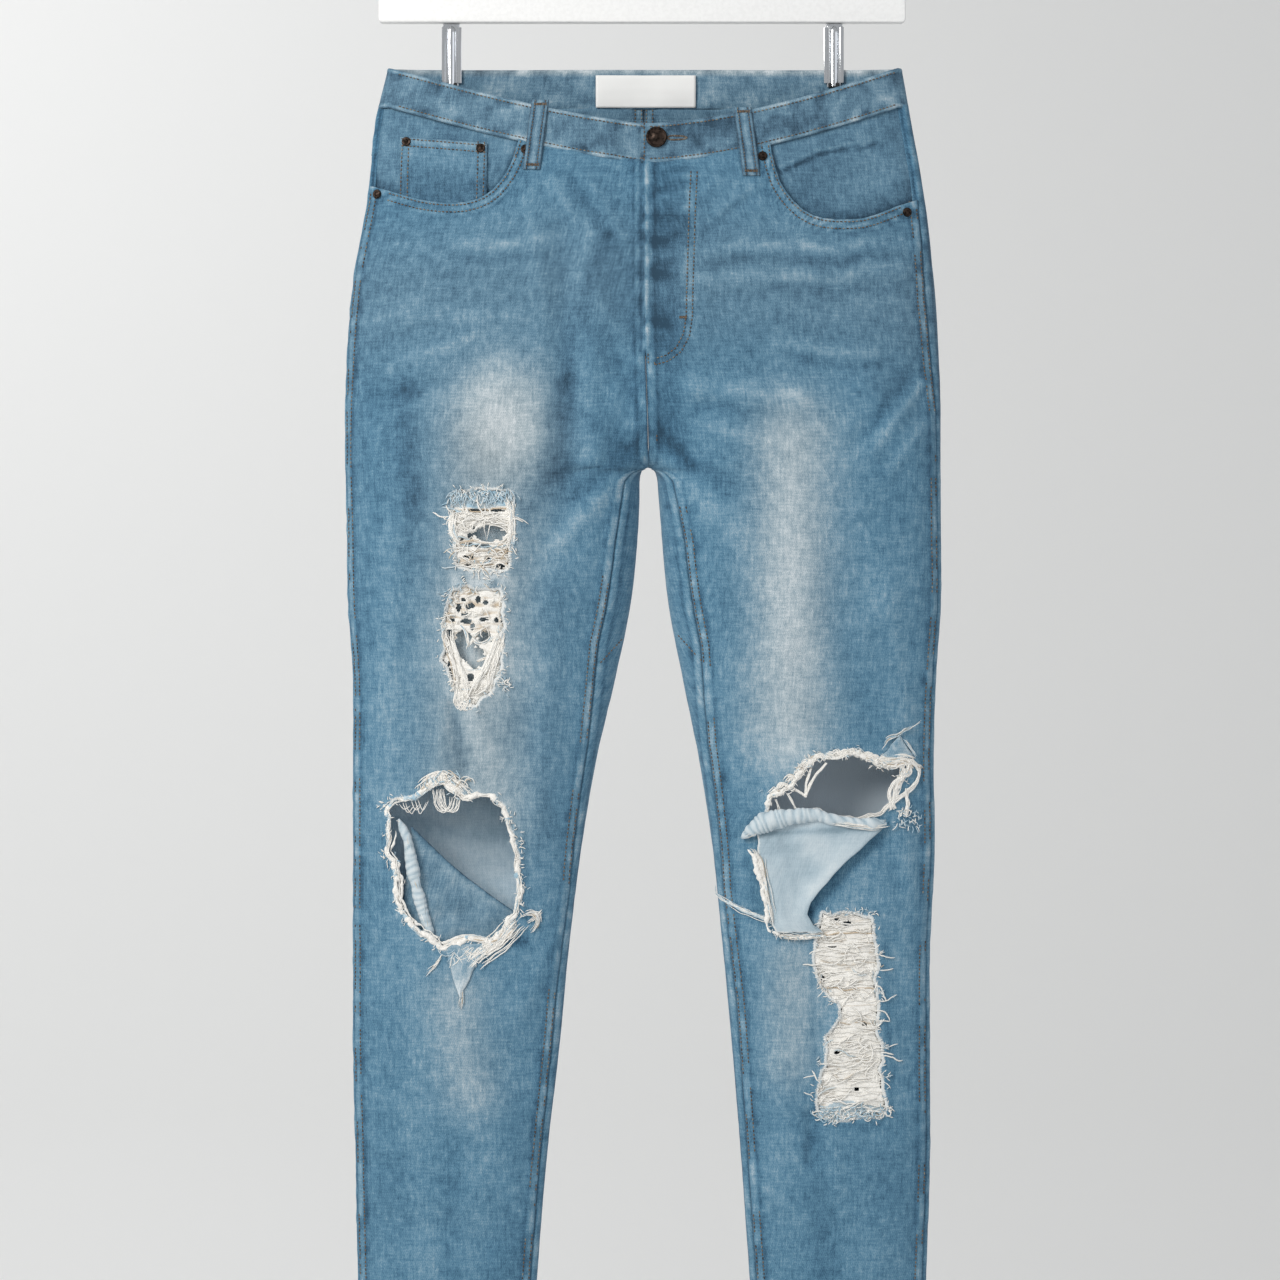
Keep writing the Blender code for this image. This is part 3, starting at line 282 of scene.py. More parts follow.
# The largest folds, as in the frame: x and drop of both ends, half width, height
frontFolds = [
    (-63, 140, -60, 330, 14, -4.5), (-60, 330, -92, 430, 16, -3), (-40, 150, -46, 300, 16, 2.5),
    (-150, 300, -170, 420, 26, 3), (-203, 250, -198, 350, 12, -3), (60, 150, 205, 168, 11, 2.2),
    (40, 262, 120, 272, 12, 2), (180, 260, 222, 310, 14, 3), (-212, 225, -150, 255, 14, 2.2),
    (110, 380, 118, 520, 30, 2.5), (-150, 740, -134, 900, 26, 2.5), (110, 720, 126, 900, 24, 2.5),
    (-155, 520, -145, 565, 10, -2.5), (134, 846, 140, 874, 12, -2.2), (-200, 930, -110, 945, 14, -1.8),
    (110, 1010, 200, 990, 14, -1.8)]
backFolds = [
    (-40, 320, -190, 356, 14, -4), (44, 322, 192, 352, 14, -4), (-50, 350, -170, 392, 13, 2.6),
    (56, 352, 176, 398, 13, 2.6), (-90, 600, -215, 586, 13, -3.5), (92, 610, 214, 592, 13, -3.5),
    (-96, 655, -205, 640, 14, 2.6), (100, 660, 205, 648, 14, 2.6), (-150, 780, -160, 960, 24, 2.5),
    (140, 790, 158, 960, 24, 2.5)]

# Creases on top of them: soft ridges above 0 and troughs below it
frontCreases = [
    # whiskers and drag lines of the viewer's right hip
    (48, 152, 215, 147, 4.5, 0.9), (52, 163, 200, 158, 4, -0.7), (46, 176, 213, 168, 5, 1.0),
    (60, 188, 190, 182, 5, -0.7), (105, 227, 185, 233, 5, 0.9), (120, 240, 200, 246, 5, -0.6),
    (40, 262, 126, 271, 5, 0.9), (44, 275, 130, 288, 5, -0.8), (52, 290, 120, 306, 6, 0.7),
    (182, 312, 224, 256, 5, 1.2), (168, 306, 212, 252, 6, -1.0), (196, 330, 228, 286, 5, 0.8),
    (60, 120, 92, 96, 4, 0.8), (48, 140, 84, 108, 5, -0.9), (40, 112, 60, 92, 4, 0.7),
    # the viewer's left hip
    (-156, 145, -66, 144, 5, 0.8), (-150, 156, -70, 158, 5, -0.6), (-198, 203, -98, 205, 6, 0.9),
    (-214, 250, -132, 214, 5, 0.9), (-220, 228, -160, 204, 5, -0.7), (-214, 268, -150, 246, 6, -0.7),
    (-228, 206, -180, 190, 5, 0.7), (-74, 92, -44, 150, 4, 0.9), (-60, 90, -30, 140, 4, -0.9),
    (-46, 92, -12, 150, 4, 0.8), (-36, 190, -6, 240, 5, 0.8), (-44, 210, -10, 262, 6, -0.8),
    (-20, 262, -40, 320, 6, 0.8), (-92, 110, -84, 180, 6, 0.6),
    # pulls out of the crotch
    (0, 300, -60, 352, 7, -1.2), (-6, 316, -70, 388, 7, 1.1), (12, 300, 70, 340, 7, -1.1), (14, 318, 76, 380, 8, 1.0),
    (6, 250, 48, 268, 5, 0.8), (4, 236, 40, 246, 4, -0.7),
    # thighs and knees
    (-196, 330, -206, 520, 9, 0.9), (-186, 380, -192, 560, 8, -0.8), (-70, 430, -86, 600, 10, 0.9),
    (-152, 516, -143, 566, 5, -1.6), (-158, 512, -166, 560, 7, 1.2), (-136, 520, -124, 560, 6, 0.8),
    (-98, 520, -60, 640, 9, -0.7), (-226, 560, -206, 600, 7, 0.9), (-70, 700, -100, 760, 8, 0.9),
    (-222, 690, -180, 730, 8, 0.9), (-206, 706, -160, 742, 8, -0.9), (66, 470, 88, 640, 10, 0.8),
    (150, 440, 186, 540, 12, -0.8), (196, 420, 214, 560, 9, 0.9), (84, 560, 96, 700, 8, -0.8),
    (204, 600, 224, 700, 9, 0.9), (190, 616, 204, 660, 7, -0.9), (135, 842, 134, 880, 5, -2.0),
    (148, 850, 156, 900, 7, 1.1), (98, 740, 112, 860, 9, 0.9), (200, 700, 212, 820, 8, -0.8),
    # lower legs
    (-214, 820, -186, 850, 8, 0.9), (-120, 820, -86, 850, 8, -0.8), (-222, 880, -150, 900, 9, -0.9),
    (-110, 900, -84, 930, 8, 0.9), (-176, 930, -158, 1080, 12, 1.0), (-128, 950, -120, 1090, 12, -0.9),
    (96, 900, 130, 930, 8, 0.9), (150, 940, 166, 1080, 12, -1.0), (186, 930, 196, 1090, 12, 0.9),
    (104, 1040, 150, 1050, 9, -0.8), (-200, 1050, -150, 1058, 9, -0.8)]
backCreases = [
    (-30, 300, -150, 338, 7, -1.4), (-40, 318, -170, 372, 7, 1.2), (34, 300, 150, 334, 7, -1.4),
    (40, 318, 172, 368, 7, 1.2), (-60, 400, -180, 430, 9, -1.0), (70, 410, 190, 440, 9, -1.0),
    (-80, 572, -200, 560, 7, 1.2), (-84, 620, -214, 612, 7, -1.5), (84, 580, 206, 566, 7, 1.2),
    (90, 634, 212, 620, 7, -1.5), (-100, 690, -200, 672, 8, -1.2), (104, 700, 204, 684, 8, -1.2),
    (-60, 270, -100, 300, 8, 1.0), (60, 268, 104, 300, 8, 1.0), (-190, 880, -110, 905, 9, -1.0),
    (110, 890, 196, 916, 9, -1.0), (-210, 480, -190, 560, 9, 0.9), (200, 470, 190, 560, 9, 0.9),
    (-170, 1000, -120, 1010, 9, 0.9), (130, 990, 180, 1004, 9, 0.9), (-20, 130, -30, 240, 9, 0.9),
    (22, 130, 34, 240, 9, -0.9)]


def tableAt(column, drop):
    # A column of the sections at any drop, on a smooth curve.
    drops, values = sections[:, 0], sections[:, column]
    slopes = np.gradient(values, drops)
    drop = np.clip(drop, drops[0], drops[-1])
    i = np.clip(np.searchsorted(drops, drop, side="right") - 1, 0, len(drops) - 2)
    span = drops[i + 1] - drops[i]
    s = (drop - drops[i]) / span
    start = (1 + 2 * s) * (1 - s) ** 2 * values[i] + s * (1 - s) ** 2 * span * slopes[i]
    end = s * s * (3 - 2 * s) * values[i + 1] - s * s * (1 - s) * span * slopes[i + 1]
    return start + end


def lineAt(rows, drop):
    return np.interp(drop, rows[:, 0], rows[:, 1])


def smooth(value, low, high):
    s = np.clip((value - low) / (high - low), 0, 1)
    return s * s * (3 - 2 * s)


noiseTables = {}


def softNoise(a, b, size, seed):
    # Even noise from -1 to 1 whose bumps are about this many millimetres wide.
    if seed not in noiseTables:
        noiseTables[seed] = np.random.default_rng(seed).random((97, 97)) * 2 - 1
    table = noiseTables[seed]
    u, v = np.asarray(a) / size + 200.0, np.asarray(b) / size + 200.0
    i, j = np.floor(u).astype(int), np.floor(v).astype(int)
    s, t = u - i, v - j
    s, t = s * s * (3 - 2 * s), t * t * (3 - 2 * t)
    near = table[i % 97, j % 97] * (1 - s) + table[(i + 1) % 97, j % 97] * s
    far = table[i % 97, (j + 1) % 97] * (1 - s) + table[(i + 1) % 97, (j + 1) % 97] * s
    return near * (1 - t) + far * t


def strokes(rows, x, drop):
    # The sum of soft strokes: two ends, half width and height or strength.
    total = np.zeros(np.broadcast(x, drop).shape)
    for x0, drop0, x1, drop1, width, height in rows:
        runX, runDrop = x1 - x0, drop1 - drop0
        length = math.hypot(runX, runDrop)
        along = ((x - x0) * runX + (drop - drop0) * runDrop) / length
        aside = ((x - x0) * runDrop - (drop - drop0) * runX) / length
        past = np.maximum(np.maximum(-along, along - length), 0)
        total += height * np.exp(-((aside / width) ** 2) - (past / width) ** 2)
    return total


def riseLine(drop):
    return cloth["crotchShift"] * smooth(drop, cloth["riseStart"], cloth["crotch"])


def sideLines(side, drop):
    outer = tableAt(outerOf[side], drop)
    middle = riseLine(drop)
    inner = middle + side * cloth["seam"] / 2
    leg = tableAt(innerOf[side], drop)
    below = np.clip((drop - cloth["crotch"]) / cloth["crotchRound"], 0, 1)
    return inner + (leg - middle) * np.sin(pi / 2 * np.sqrt(below)), outer


def isFront(angle):
    return (angle <= pi) | (angle > 2 * pi + 1e-6)


def surface(side, angle, drop):
    # Points of the outside of one half. Angle 0 is the rise or the inner leg, pi the outer side, then the back.
    angle, drop = np.broadcast_arrays(np.asarray(angle, float), np.asarray(drop, float))
    inner, outer = sideLines(side, drop)
    across = (1 - np.cos(angle)) / 2
    body = 1 - across ** cloth["bodyPower"]
    leg = 1 - np.abs(2 * across - 1) ** cloth["legPower"]
    parting = np.maximum((drop - cloth["splitStart"]) / (cloth["crotch"] - cloth["splitStart"]), 0)
    turn = 0.22 * smooth(across, 0, 0.12) + 1e-6  # the slope ends softly here, so no line runs across the legs
    past = np.clip(parting - 1 + turn, 0, 2 * turn)
    parting = np.minimum(parting, 1 + turn) - past * past / (4 * turn)
    near = np.maximum(1 - across / cloth["nearRise"], 0) ** 2
    split = near * parting ** cloth["splitPower"] + (1 - near) * parting**2 * (3 - 2 * parting)
    bulge = np.sqrt(np.maximum((1 - split) * body + split * leg, 0))
    x = inner + across * (outer - inner)
    front = isFront(angle)
    depth = np.where(front, tableAt(5, drop) + strokes(frontFolds, x, drop),
                     tableAt(6, drop) + strokes(backFolds, x, drop))
    return np.stack([x, np.where(front, -1, 1) * depth * bulge, -drop], -1)


def skin(side, angle, drop):
    # Points of one half and their outward normals.
    angle, drop = np.broadcast_arrays(np.asarray(angle, float), np.asarray(drop, float))
    tiny = 0.004
    low = np.where(angle < 2 * tiny, angle, angle - tiny)
    high = np.where((drop < cloth["crotch"]) & (angle > 2 * pi - tiny), angle, angle + tiny)
    along = surface(side, high, drop) - surface(side, low, drop)
    down = surface(side, angle, drop + 1) - surface(side, angle, drop - 1)
    normal = -side * np.cross(along, down)
    atRise = (drop < cloth["crotch"]) & ((low == angle) | (high == angle)) & (normal[..., 0] * side > 0)
    normal[..., 0] = np.where(atRise, 0, normal[..., 0])
    return surface(side, angle, drop), normal / np.linalg.norm(normal, axis=-1, keepdims=True)


def angleAt(side, x, drop, front=True):
    inner, outer = sideLines(side, drop)
    across = np.clip((x - inner) / (outer - inner), 0, 1)
    angle = np.arccos(1 - 2 * across)
    return angle if front else 2 * pi - angle


def inseamAngle(side, drop):
    inner, outer = sideLines(side, drop)
    angle = np.arccos(1 - 2 * lineAt(inseam, drop) / np.abs(outer - inner))
    return np.where(drop <= cloth["crotch"], 0.0, angle)


def outseamAngle(side, drop):
    inner, outer = sideLines(side, drop)
    return pi - np.arccos(1 - 2 * lineAt(outseam[side], drop) / np.abs(outer - inner))


def bandTop(x, front):
    x = np.asarray(x, float)
    if not front:
        return band["sideDrop"] * np.minimum(np.abs(x) / band["halfWidth"], 1) ** 2
    reach = np.where(x > band["middleX"], band["reach"][1], band["reach"][-1])
    power = np.where(x > band["middleX"], band["power"][1], band["power"][-1])
    return band["lowest"] - band["dip"] * np.minimum(np.abs(x - band["middleX"]) / reach, 1) ** power


def frontTop(x):
    return bandTop(x, True) + band["height"] + cloth["seam"]


def yokeTop(x):
    return bandTop(x, False) + band["height"] + cloth["seam"]


def yokeBottom(x):
    return yoke["side"] + yoke["point"] * (1 - np.minimum(np.abs(x) / yoke["half"], 1))


def relief(x, drop, front, side):
    # How far the fine creases lift the cloth here, in mm. It dies away at the edges of the legs.
    inner, outer = sideLines(side, drop)
    gap = np.minimum(np.abs(x - inner) + 60 * smooth(cloth["crotch"] + 6 - drop, 0, 40), np.abs(outer - x))
    gap = smooth(gap, 0, 16)
    made = np.where(front, strokes(frontCreases, x, drop), strokes(backCreases, x, drop))
    seed = np.where(front, 0, 1)
    broad = softNoise(x, drop * 0.8, 34, 3) * 0.9 + softNoise(x * 0.9, drop * 0.7, 17, 8) * 0.4
    broad = np.where(seed == 1, softNoise(x, drop * 0.8, 34, 5) * 0.9 + softNoise(x, drop * 0.7, 17, 9) * 0.4, broad)
    fine = softNoise(x, drop, 7, 12) * 0.12
    return (made + broad) * gap + fine


def puckers(along, seed):
    # Uneven ridges across a seam, every 12 to 22 mm, from -1 to 1.
    return softNoise(along, along * 0 + 7.3, 8.5, seed) * 0.75 + softNoise(along, along * 0 + 1.7, 4.3, seed + 1) * 0.35


def world(points):
    # Points of the cloth in millimetres to the frame's metres.
    return (np.asarray(points) + np.array([0, hang["middleY"], -hang["waistBelowHook"]])) * mm


def onCloth(x, drop, front=True):
    # Points and normals of the outside of the cloth, fine creases included.
    x, drop = np.broadcast_arrays(np.asarray(x, float), np.asarray(drop, float))
    points, normals = np.zeros((*x.shape, 3)), np.zeros((*x.shape, 3))
    for side in (-1, 1):
        here = (x >= riseLine(drop)) == (side > 0)
        if here.any():
            p, n = skin(side, angleAt(side, x[here], drop[here], front), drop[here])
            lift = relief(x[here], drop[here], front, side)
            points[here], normals[here] = p + n * lift[..., None], n
    return points, normals


def offCloth(x, drop, lift, front=True):
    points, normals = onCloth(x, drop, front)
    return world(points + normals * np.asarray(lift, float)[..., None])


# Making meshes


def finish(obj, replaces=()):
    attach(obj, "root")
    if replaces:
        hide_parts(*replaces)
    return obj


def newMesh(name, points, faces, materials, facing=None, smoothFaces=True):
    # A mesh object at the origin. facing gives a direction that its first face should look in.
    points = np.asarray(points, float)
    if facing is not None:
        a, b, c = (points[i] for i in faces[len(faces) // 2][:3])
        if np.dot(np.cross(b - a, c - a), facing) < 0:
            faces = [tuple(reversed(f)) for f in faces]
    mesh = bpy.data.meshes.new(name)
    mesh.from_pydata([tuple(p) for p in points], [], faces)
    for material in materials:
        mesh.materials.append(material)
    if smoothFaces:
        mesh.shade_smooth()
    obj = bpy.data.objects.new(name, mesh)
    bpy.context.scene.collection.objects.link(obj)
    return obj


def giveAttribute(obj, name, values):
    kind = "FLOAT_VECTOR" if np.ndim(values) == 2 else "FLOAT"
    attribute = obj.data.attributes.new(name, kind, "POINT")
    key = "vector" if kind == "FLOAT_VECTOR" else "value"
    attribute.data.foreach_set(key, np.asarray(values, np.float32).ravel())


def bake(obj):
    # Applies the object's modifiers.
    graph = bpy.context.evaluated_depsgraph_get()
    mesh = bpy.data.meshes.new_from_object(obj.evaluated_get(graph), preserve_all_data_layers=True, depsgraph=graph)
    old = obj.data
    obj.modifiers.clear()
    obj.data = mesh
    bpy.data.meshes.remove(old)
    mesh.name = obj.name
    return obj


def giveWall(obj, thick, offset=-1.0):
    wall = obj.modifiers.new("wall", "SOLIDIFY")
    wall.thickness = thick * mm
    wall.offset = offset
    wall.material_offset = 1
    wall.material_offset_rim = 2
    return bake(obj)


def clothMesh(name, spots, normals, paint, keep=None, materials=None, thick=None):
    # A shell over a grid of points in mm. paint holds its attributes, and keep says which cells stay.
    rows, columns = spots.shape[:2]
    index = np.arange(rows * columns).reshape(rows, columns)
    cells = np.stack([index[:-1, :-1], index[:-1, 1:], index[1:, 1:], index[1:, :-1]], -1)
    chosen = cells[keep] if keep is not None else cells.reshape(-1, 4)
    used, back = np.unique(chosen, return_inverse=True)
    chosen = back.reshape(-1, 4)
    points = world(spots).reshape(-1, 3)[used]
    middle = len(chosen) // 2
    a, b, c = (points[chosen[middle][k]] for k in range(3))
    if np.dot(np.cross(b - a, c - a), normals.reshape(-1, 3)[used][chosen[middle][0]]) < 0:
        chosen = chosen[:, ::-1]
    obj = newMesh(name, points, chosen.tolist(), materials or (denimFace, denimBack, denimFace))
    for key, values in paint.items():
        values = np.asarray(values)
        giveAttribute(obj, key, values.reshape(-1, 3)[used] if values.ndim == 3 else values.reshape(-1)[used])
    return giveWall(obj, thick or cloth["wall"])


def placeOf(spots, columnZero):
    # Where each point lies on the flat cloth, in mm: along its row from one column, and down.
    step = np.linalg.norm(np.diff(spots, axis=1), axis=-1)
    along = np.concatenate([np.zeros((spots.shape[0], 1)), np.cumsum(step, axis=1)], axis=1)
    along = along - along[:, [columnZero]]
    return np.stack([along, -spots[..., 2], np.zeros_like(along)], -1)


# Outlines of the rips and pocket openings

# In x and drop. The frayed rims follow these.
kneeHole = np.array([
    (-200, 591), (-193, 589.5), (-184, 589.6), (-176, 585), (-170, 581), (-163, 573), (-155, 581), (-144, 591),
    (-130, 586), (-121, 590), (-114, 595), (-109, 613), (-103, 626), (-101, 640), (-101, 672), (-103, 682),
    (-113, 693), (-124, 702), (-132, 702.5), (-142, 701), (-151, 704), (-160, 708), (-169, 702), (-178, 695),
    (-190, 685), (-196, 672), (-197, 660), (-200, 644), (-204, 628), (-204.5, 612), (-204, 600)], float)
kneeSlash = np.array([
    (99, 599), (101, 587), (108, 584), (117, 579), (124, 571), (129, 563), (138, 555), (145, 557), (151, 557.5),
    (161, 554.5), (172, 555), (180, 559), (186, 562.5), (195, 565), (204, 563.5), (214, 560), (207, 569), (202, 577),
    (201, 586), (198, 594), (190, 599.5), (178, 604.5), (168, 606), (159, 604.8), (148, 602), (139, 599),
    (131, 600.5), (124, 602), (112, 603)], float)
thighRip = np.array([
    (-152, 346), (-140, 342.5), (-128, 342), (-116, 344), (-107, 347), (-104.5, 358), (-105, 372), (-107, 386),
    (-109, 398), (-110.5, 404.5), (-122, 406), (-138, 405), (-149, 404), (-151, 392), (-152, 378), (-153, 362)], float)
thighLow = np.array([
    (-152, 423), (-140, 421.5), (-128, 421), (-116, 424), (-113, 434), (-113, 446), (-114, 462), (-116, 482),
    (-119, 494), (-126, 504), (-135, 514), (-143, 512), (-151, 501), (-156, 488), (-160, 470), (-161, 450),
    (-158, 434)], float)
shinRip = np.array([
    (143, 681), (150, 684), (160, 682), (172, 684), (181, 684), (183, 702), (184.5, 722), (185, 748), (186, 772),
    (189, 790), (189.5, 806), (191, 826), (193, 843), (184, 846), (174, 845), (162, 848), (151, 846), (141, 843),
    (139, 832), (139, 820), (142, 812), (146, 804), (146, 790), (150, 777), (157, 766), (158, 756), (149, 748), (140,
    738),
    (138.5, 716), (141, 698)], float)
pocketEdge = {
    -1: np.array([(-100, 60), (-102.5, 70), (-106, 80), (-110, 88), (-115, 95), (-121, 102), (-128, 107), (-135, 110),
                  (-143, 112), (-152, 112.6), (-161, 112.3), (-170, 111.3), (-180, 109.4), (-190, 106.6),
                  (-203, 102.4), (-217, 98), (-250, 90)], float),
    1: np.array([(101, 64), (102.5, 74), (105.5, 86), (109, 96), (113.5, 103.5), (119.5, 111), (127, 118), (135, 122.6),
                 (144, 125), (154, 126), (165, 126), (175, 125), (185, 122), (194, 118.3), (204, 114), (216, 110),
                 (250, 100)], float),
}


def closedOn(edge, side):
    return np.concatenate([edge, [(side * 250, -20), (edge[0][0], -20)]])


def ragged(outline, height, seed):
    # The outline in short steps, torn in and out by up to about this much
    closed = np.concatenate([outline, outline[:1]])
    length = np.concatenate([[0], np.cumsum(np.linalg.norm(np.diff(closed, axis=0), axis=1))])
    at = np.arange(0, length[-1], 2.4)
    line = np.stack([np.interp(at, length, closed[:, k]) for k in range(2)], -1)
    run = np.roll(line, -1, axis=0) - np.roll(line, 1, axis=0)
    run /= np.linalg.norm(run, axis=1, keepdims=True)
    fading = np.minimum(1, np.minimum(at, length[-1] - at) / 8)
    push = height * fading * (softNoise(at, at * 0, 9, seed) + 0.6 * softNoise(at, at * 0 + 5, 4, seed))
    return line + push[:, None] * np.stack([run[:, 1], -run[:, 0]], -1)


kneeHole, kneeSlash = ragged(kneeHole, 1.6, 301), ragged(kneeSlash, 1.6, 302)
thighRip, thighLow, shinRip = ragged(thighRip, 2.2, 303), ragged(thighLow, 2.4, 304), ragged(shinRip, 2.0, 305)


rips = {-1: [kneeHole, thighRip, thighLow], 1: [kneeSlash, shinRip]}


def isInside(x, drop, outline):
    hit = np.zeros(np.shape(x), bool)
    for (x0, drop0), (x1, drop1) in zip(outline, np.roll(outline, -1, axis=0)):
        if drop0 != drop1:
            crosses = (drop0 > drop) != (drop1 > drop)
            hit ^= crosses & (x < x0 + (drop - drop0) * (x1 - x0) / (drop1 - drop0))
    return hit


def nearest(x, drop, outline):
    # The nearest place on an outline and how far off it is.
    best = np.full(np.shape(x), 1e9)
    atX, atDrop = np.array(x, float), np.array(drop, float)
    for (x0, drop0), (x1, drop1) in zip(outline, np.roll(outline, -1, axis=0)):
        runX, runDrop = x1 - x0, drop1 - drop0
        s = np.clip(((x - x0) * runX + (drop - drop0) * runDrop) / (runX**2 + runDrop**2), 0, 1)
        spotX, spotDrop = x0 + s * runX, drop0 + s * runDrop
        gap = np.hypot(x - spotX, drop - spotDrop)
        closer = gap < best
        best, atX, atDrop = np.where(closer, gap, best), np.where(closer, spotX, atX), np.where(closer, spotDrop,
                atDrop)
    return atX, atDrop, best


# How worn the cloth is, with painted light and shade added: 0 is deep indigo, 1 nearly white

# x and drop of both ends, half width, strength; the dark strokes along the folds and in the crotch are painted fold
# shade
frontWearAndShade = [
    # the wearer's right thigh, pale at its middle, and down that leg
    (-116, 262, -104, 292, 34, 0.36), (-124, 300, -134, 470, 40, 0.13), (-130, 480, -136, 600, 44, 0.10),
    (-150, 748, -138, 822, 24, 0.19), (-142, 820, -140, 1100, 20, 0.05), (-156, 860, -150, 1100, 10, -0.10),
    (-104, 860, -108, 1100, 10, -0.06), (-34, 146, -60, 258, 8, -0.17), (-60, 258, -68, 330, 10, -0.20), (-56, 280,
    -20, 312, 10, -0.13),
    (8, 290, 34, 322, 9, -0.12), (-60, 326, -92, 366, 8, -0.12),
    (-190, 262, -192, 352, 12, -0.17), (-192, 352, -194, 470, 12, -0.08), (-48, 140, -50, 320, 6, 0.08), (-84, 200,
    -80, 400, 10, 0.05),
    (-222, 260, -222, 560, 6, -0.06), (-20, 140, -24, 300, 12, -0.03), (-66, 420, -84, 620, 12, -0.09),
    (-186, 420, -206, 590, 14, 0.05), (-152, 516, -144, 566, 4, -0.16), (-140, 520, -128, 560, 12, 0.10),
    (-130, 590, -120, 585, 26, 0.08), (-180, 640, -186, 900, 12, 0.05),
    # the wearer's left thigh
    (116, 290, 118, 540, 32, 0.27), (112, 330, 116, 470, 16, 0.09), (118, 720, 120, 800, 22, 0.20),
    (134, 850, 140, 1100, 12, -0.05), (106, 860, 108, 1100, 12, 0.05), (60, 380, 76, 620, 12, -0.04),
    (208, 620, 210, 840, 10, 0.06), (100, 640, 92, 700, 12, 0.06), (170, 640, 150, 720, 20, 0.07),
    (24, 240, 26, 320, 12, -0.08), (18, 130, 20, 290, 16, -0.06), (-22, 120, -24, 240, 16, -0.04), (150, 300, 180,
    420, 22, 0.05), (88, 540, 140, 556, 18, 0.08),
    # crotch and inner thighs: painted shade in the troughs of the pulls, lighter on their ridges
    (0, 302, -60, 350, 8, -0.10), (10, 300, 66, 338, 8, -0.10), (-6, 318, -70, 388, 7, 0.09), (14, 320, 76, 380, 8,
    0.08),
]
# x and drop of both ends, half width and strength of the folds that were rubbed pale at the hips; the negative strokes
# are painted shade in the troughs between them
whiskersAndShade = [
    (52, 151, 150, 149, 3.6, 0.13), (120, 148, 210, 144, 3, 0.11), (50, 163, 196, 158, 4, -0.10),
    (50, 176, 130, 172, 4, 0.12), (110, 174, 206, 166, 4, 0.12), (90, 184, 190, 182, 3, -0.08),
    (60, 192, 120, 196, 3, 0.06), (105, 226, 184, 231, 4, 0.13), (120, 238, 190, 243, 3.5, -0.08),
    (42, 258, 90, 263, 4, 0.09), (70, 268, 126, 272, 4, 0.12), (44, 277, 130, 288, 4, -0.09),
    (56, 292, 116, 304, 4, 0.09), (184, 304, 220, 262, 3.5, 0.13), (174, 298, 210, 252, 3.5, -0.09),
    (196, 326, 226, 292, 3.5, 0.10), (160, 318, 190, 290, 4, 0.08), (56, 122, 92, 98, 3, 0.10),
    (44, 134, 78, 112, 3, -0.08), (130, 200, 214, 196, 3, 0.06), (150, 212, 220, 214, 3, -0.05),
    (-152, 145, -70, 144, 4, 0.13), (-140, 156, -90, 158, 3.5, -0.07), (-192, 203, -150, 202, 3.5, 0.12),
    (-150, 206, -104, 205, 4, 0.10), (-206, 246, -136, 218, 4, 0.15), (-216, 226, -164, 206, 3.5, -0.09),
    (-210, 268, -152, 248, 4, -0.08), (-204, 282, -160, 262, 4, 0.08), (-74, 94, -50, 140, 3, 0.11),
    (-60, 92, -32, 138, 3, -0.09), (-44, 94, -16, 146, 3.5, 0.09), (-38, 190, -10, 240, 4, 0.08),
    (-226, 206, -184, 192, 3.5, 0.12), (-92, 108, -84, 186, 5, 0.07), (-180, 178, -120, 182, 3, 0.06),
    (-200, 150, -160, 158, 3, 0.07), (-100, 220, -70, 232, 4, 0.06), (-212, 176, -170, 172, 3, -0.06),
    (-34, 252, -14, 292, 4, 0.07), (-120, 230, -90, 226, 4, -0.05)]
# marks around the rips: a pale worn band between the thigh rips, and painted shadow under the flap, under the frayed
# rims and along the rip edges
ripMarksAndShadows = [
    (-150, 414, -112, 414, 7, 0.22), (-120, 418, -119, 418, 3.4, -0.42), (-145, 412, -144, 414, 2.4, -0.34),
    (-156, 343, -148, 344, 3, -0.16), (-112, 344, -100, 352, 3.5, -0.16), (-104, 404, -104, 412, 3, -0.12),
    (186, 622, 136, 676, 6, -0.16), (176, 624, 130, 672, 3, -0.10), (132, 680, 130, 681, 4.5, -0.34),
    (84, 640, 92, 690, 4, -0.10), (150, 850, 186, 852, 4, -0.10), (134, 700, 137, 840, 3.2, -0.12),
    (193, 700, 198, 840, 3.2, -0.10), (-206, 610, -206, 676, 4, -0.08), (-96, 620, -96, 684, 4, -0.10),
    (-150, 716, -140, 724, 5, -0.08), (-112, 704, -96, 704, 4, -0.34), (-128, 712, -126, 720, 3, -0.24)]
# The fly laps over at x 0. Its edge is rubbed pale; the bumps of the hidden buttons get painted shade, the puckers
# painted light and shade, and a painted shadow line runs beside the lap
fly = {"edge": 1.3, "wide": 2.3, "end": 234.0, "panel": 35.0, "bumps": (122, 142, 170, 208)}


def flyBumps(drop):
    return sum(np.exp(-(((drop - middle) / 4.5) ** 2)) for middle in fly["bumps"])


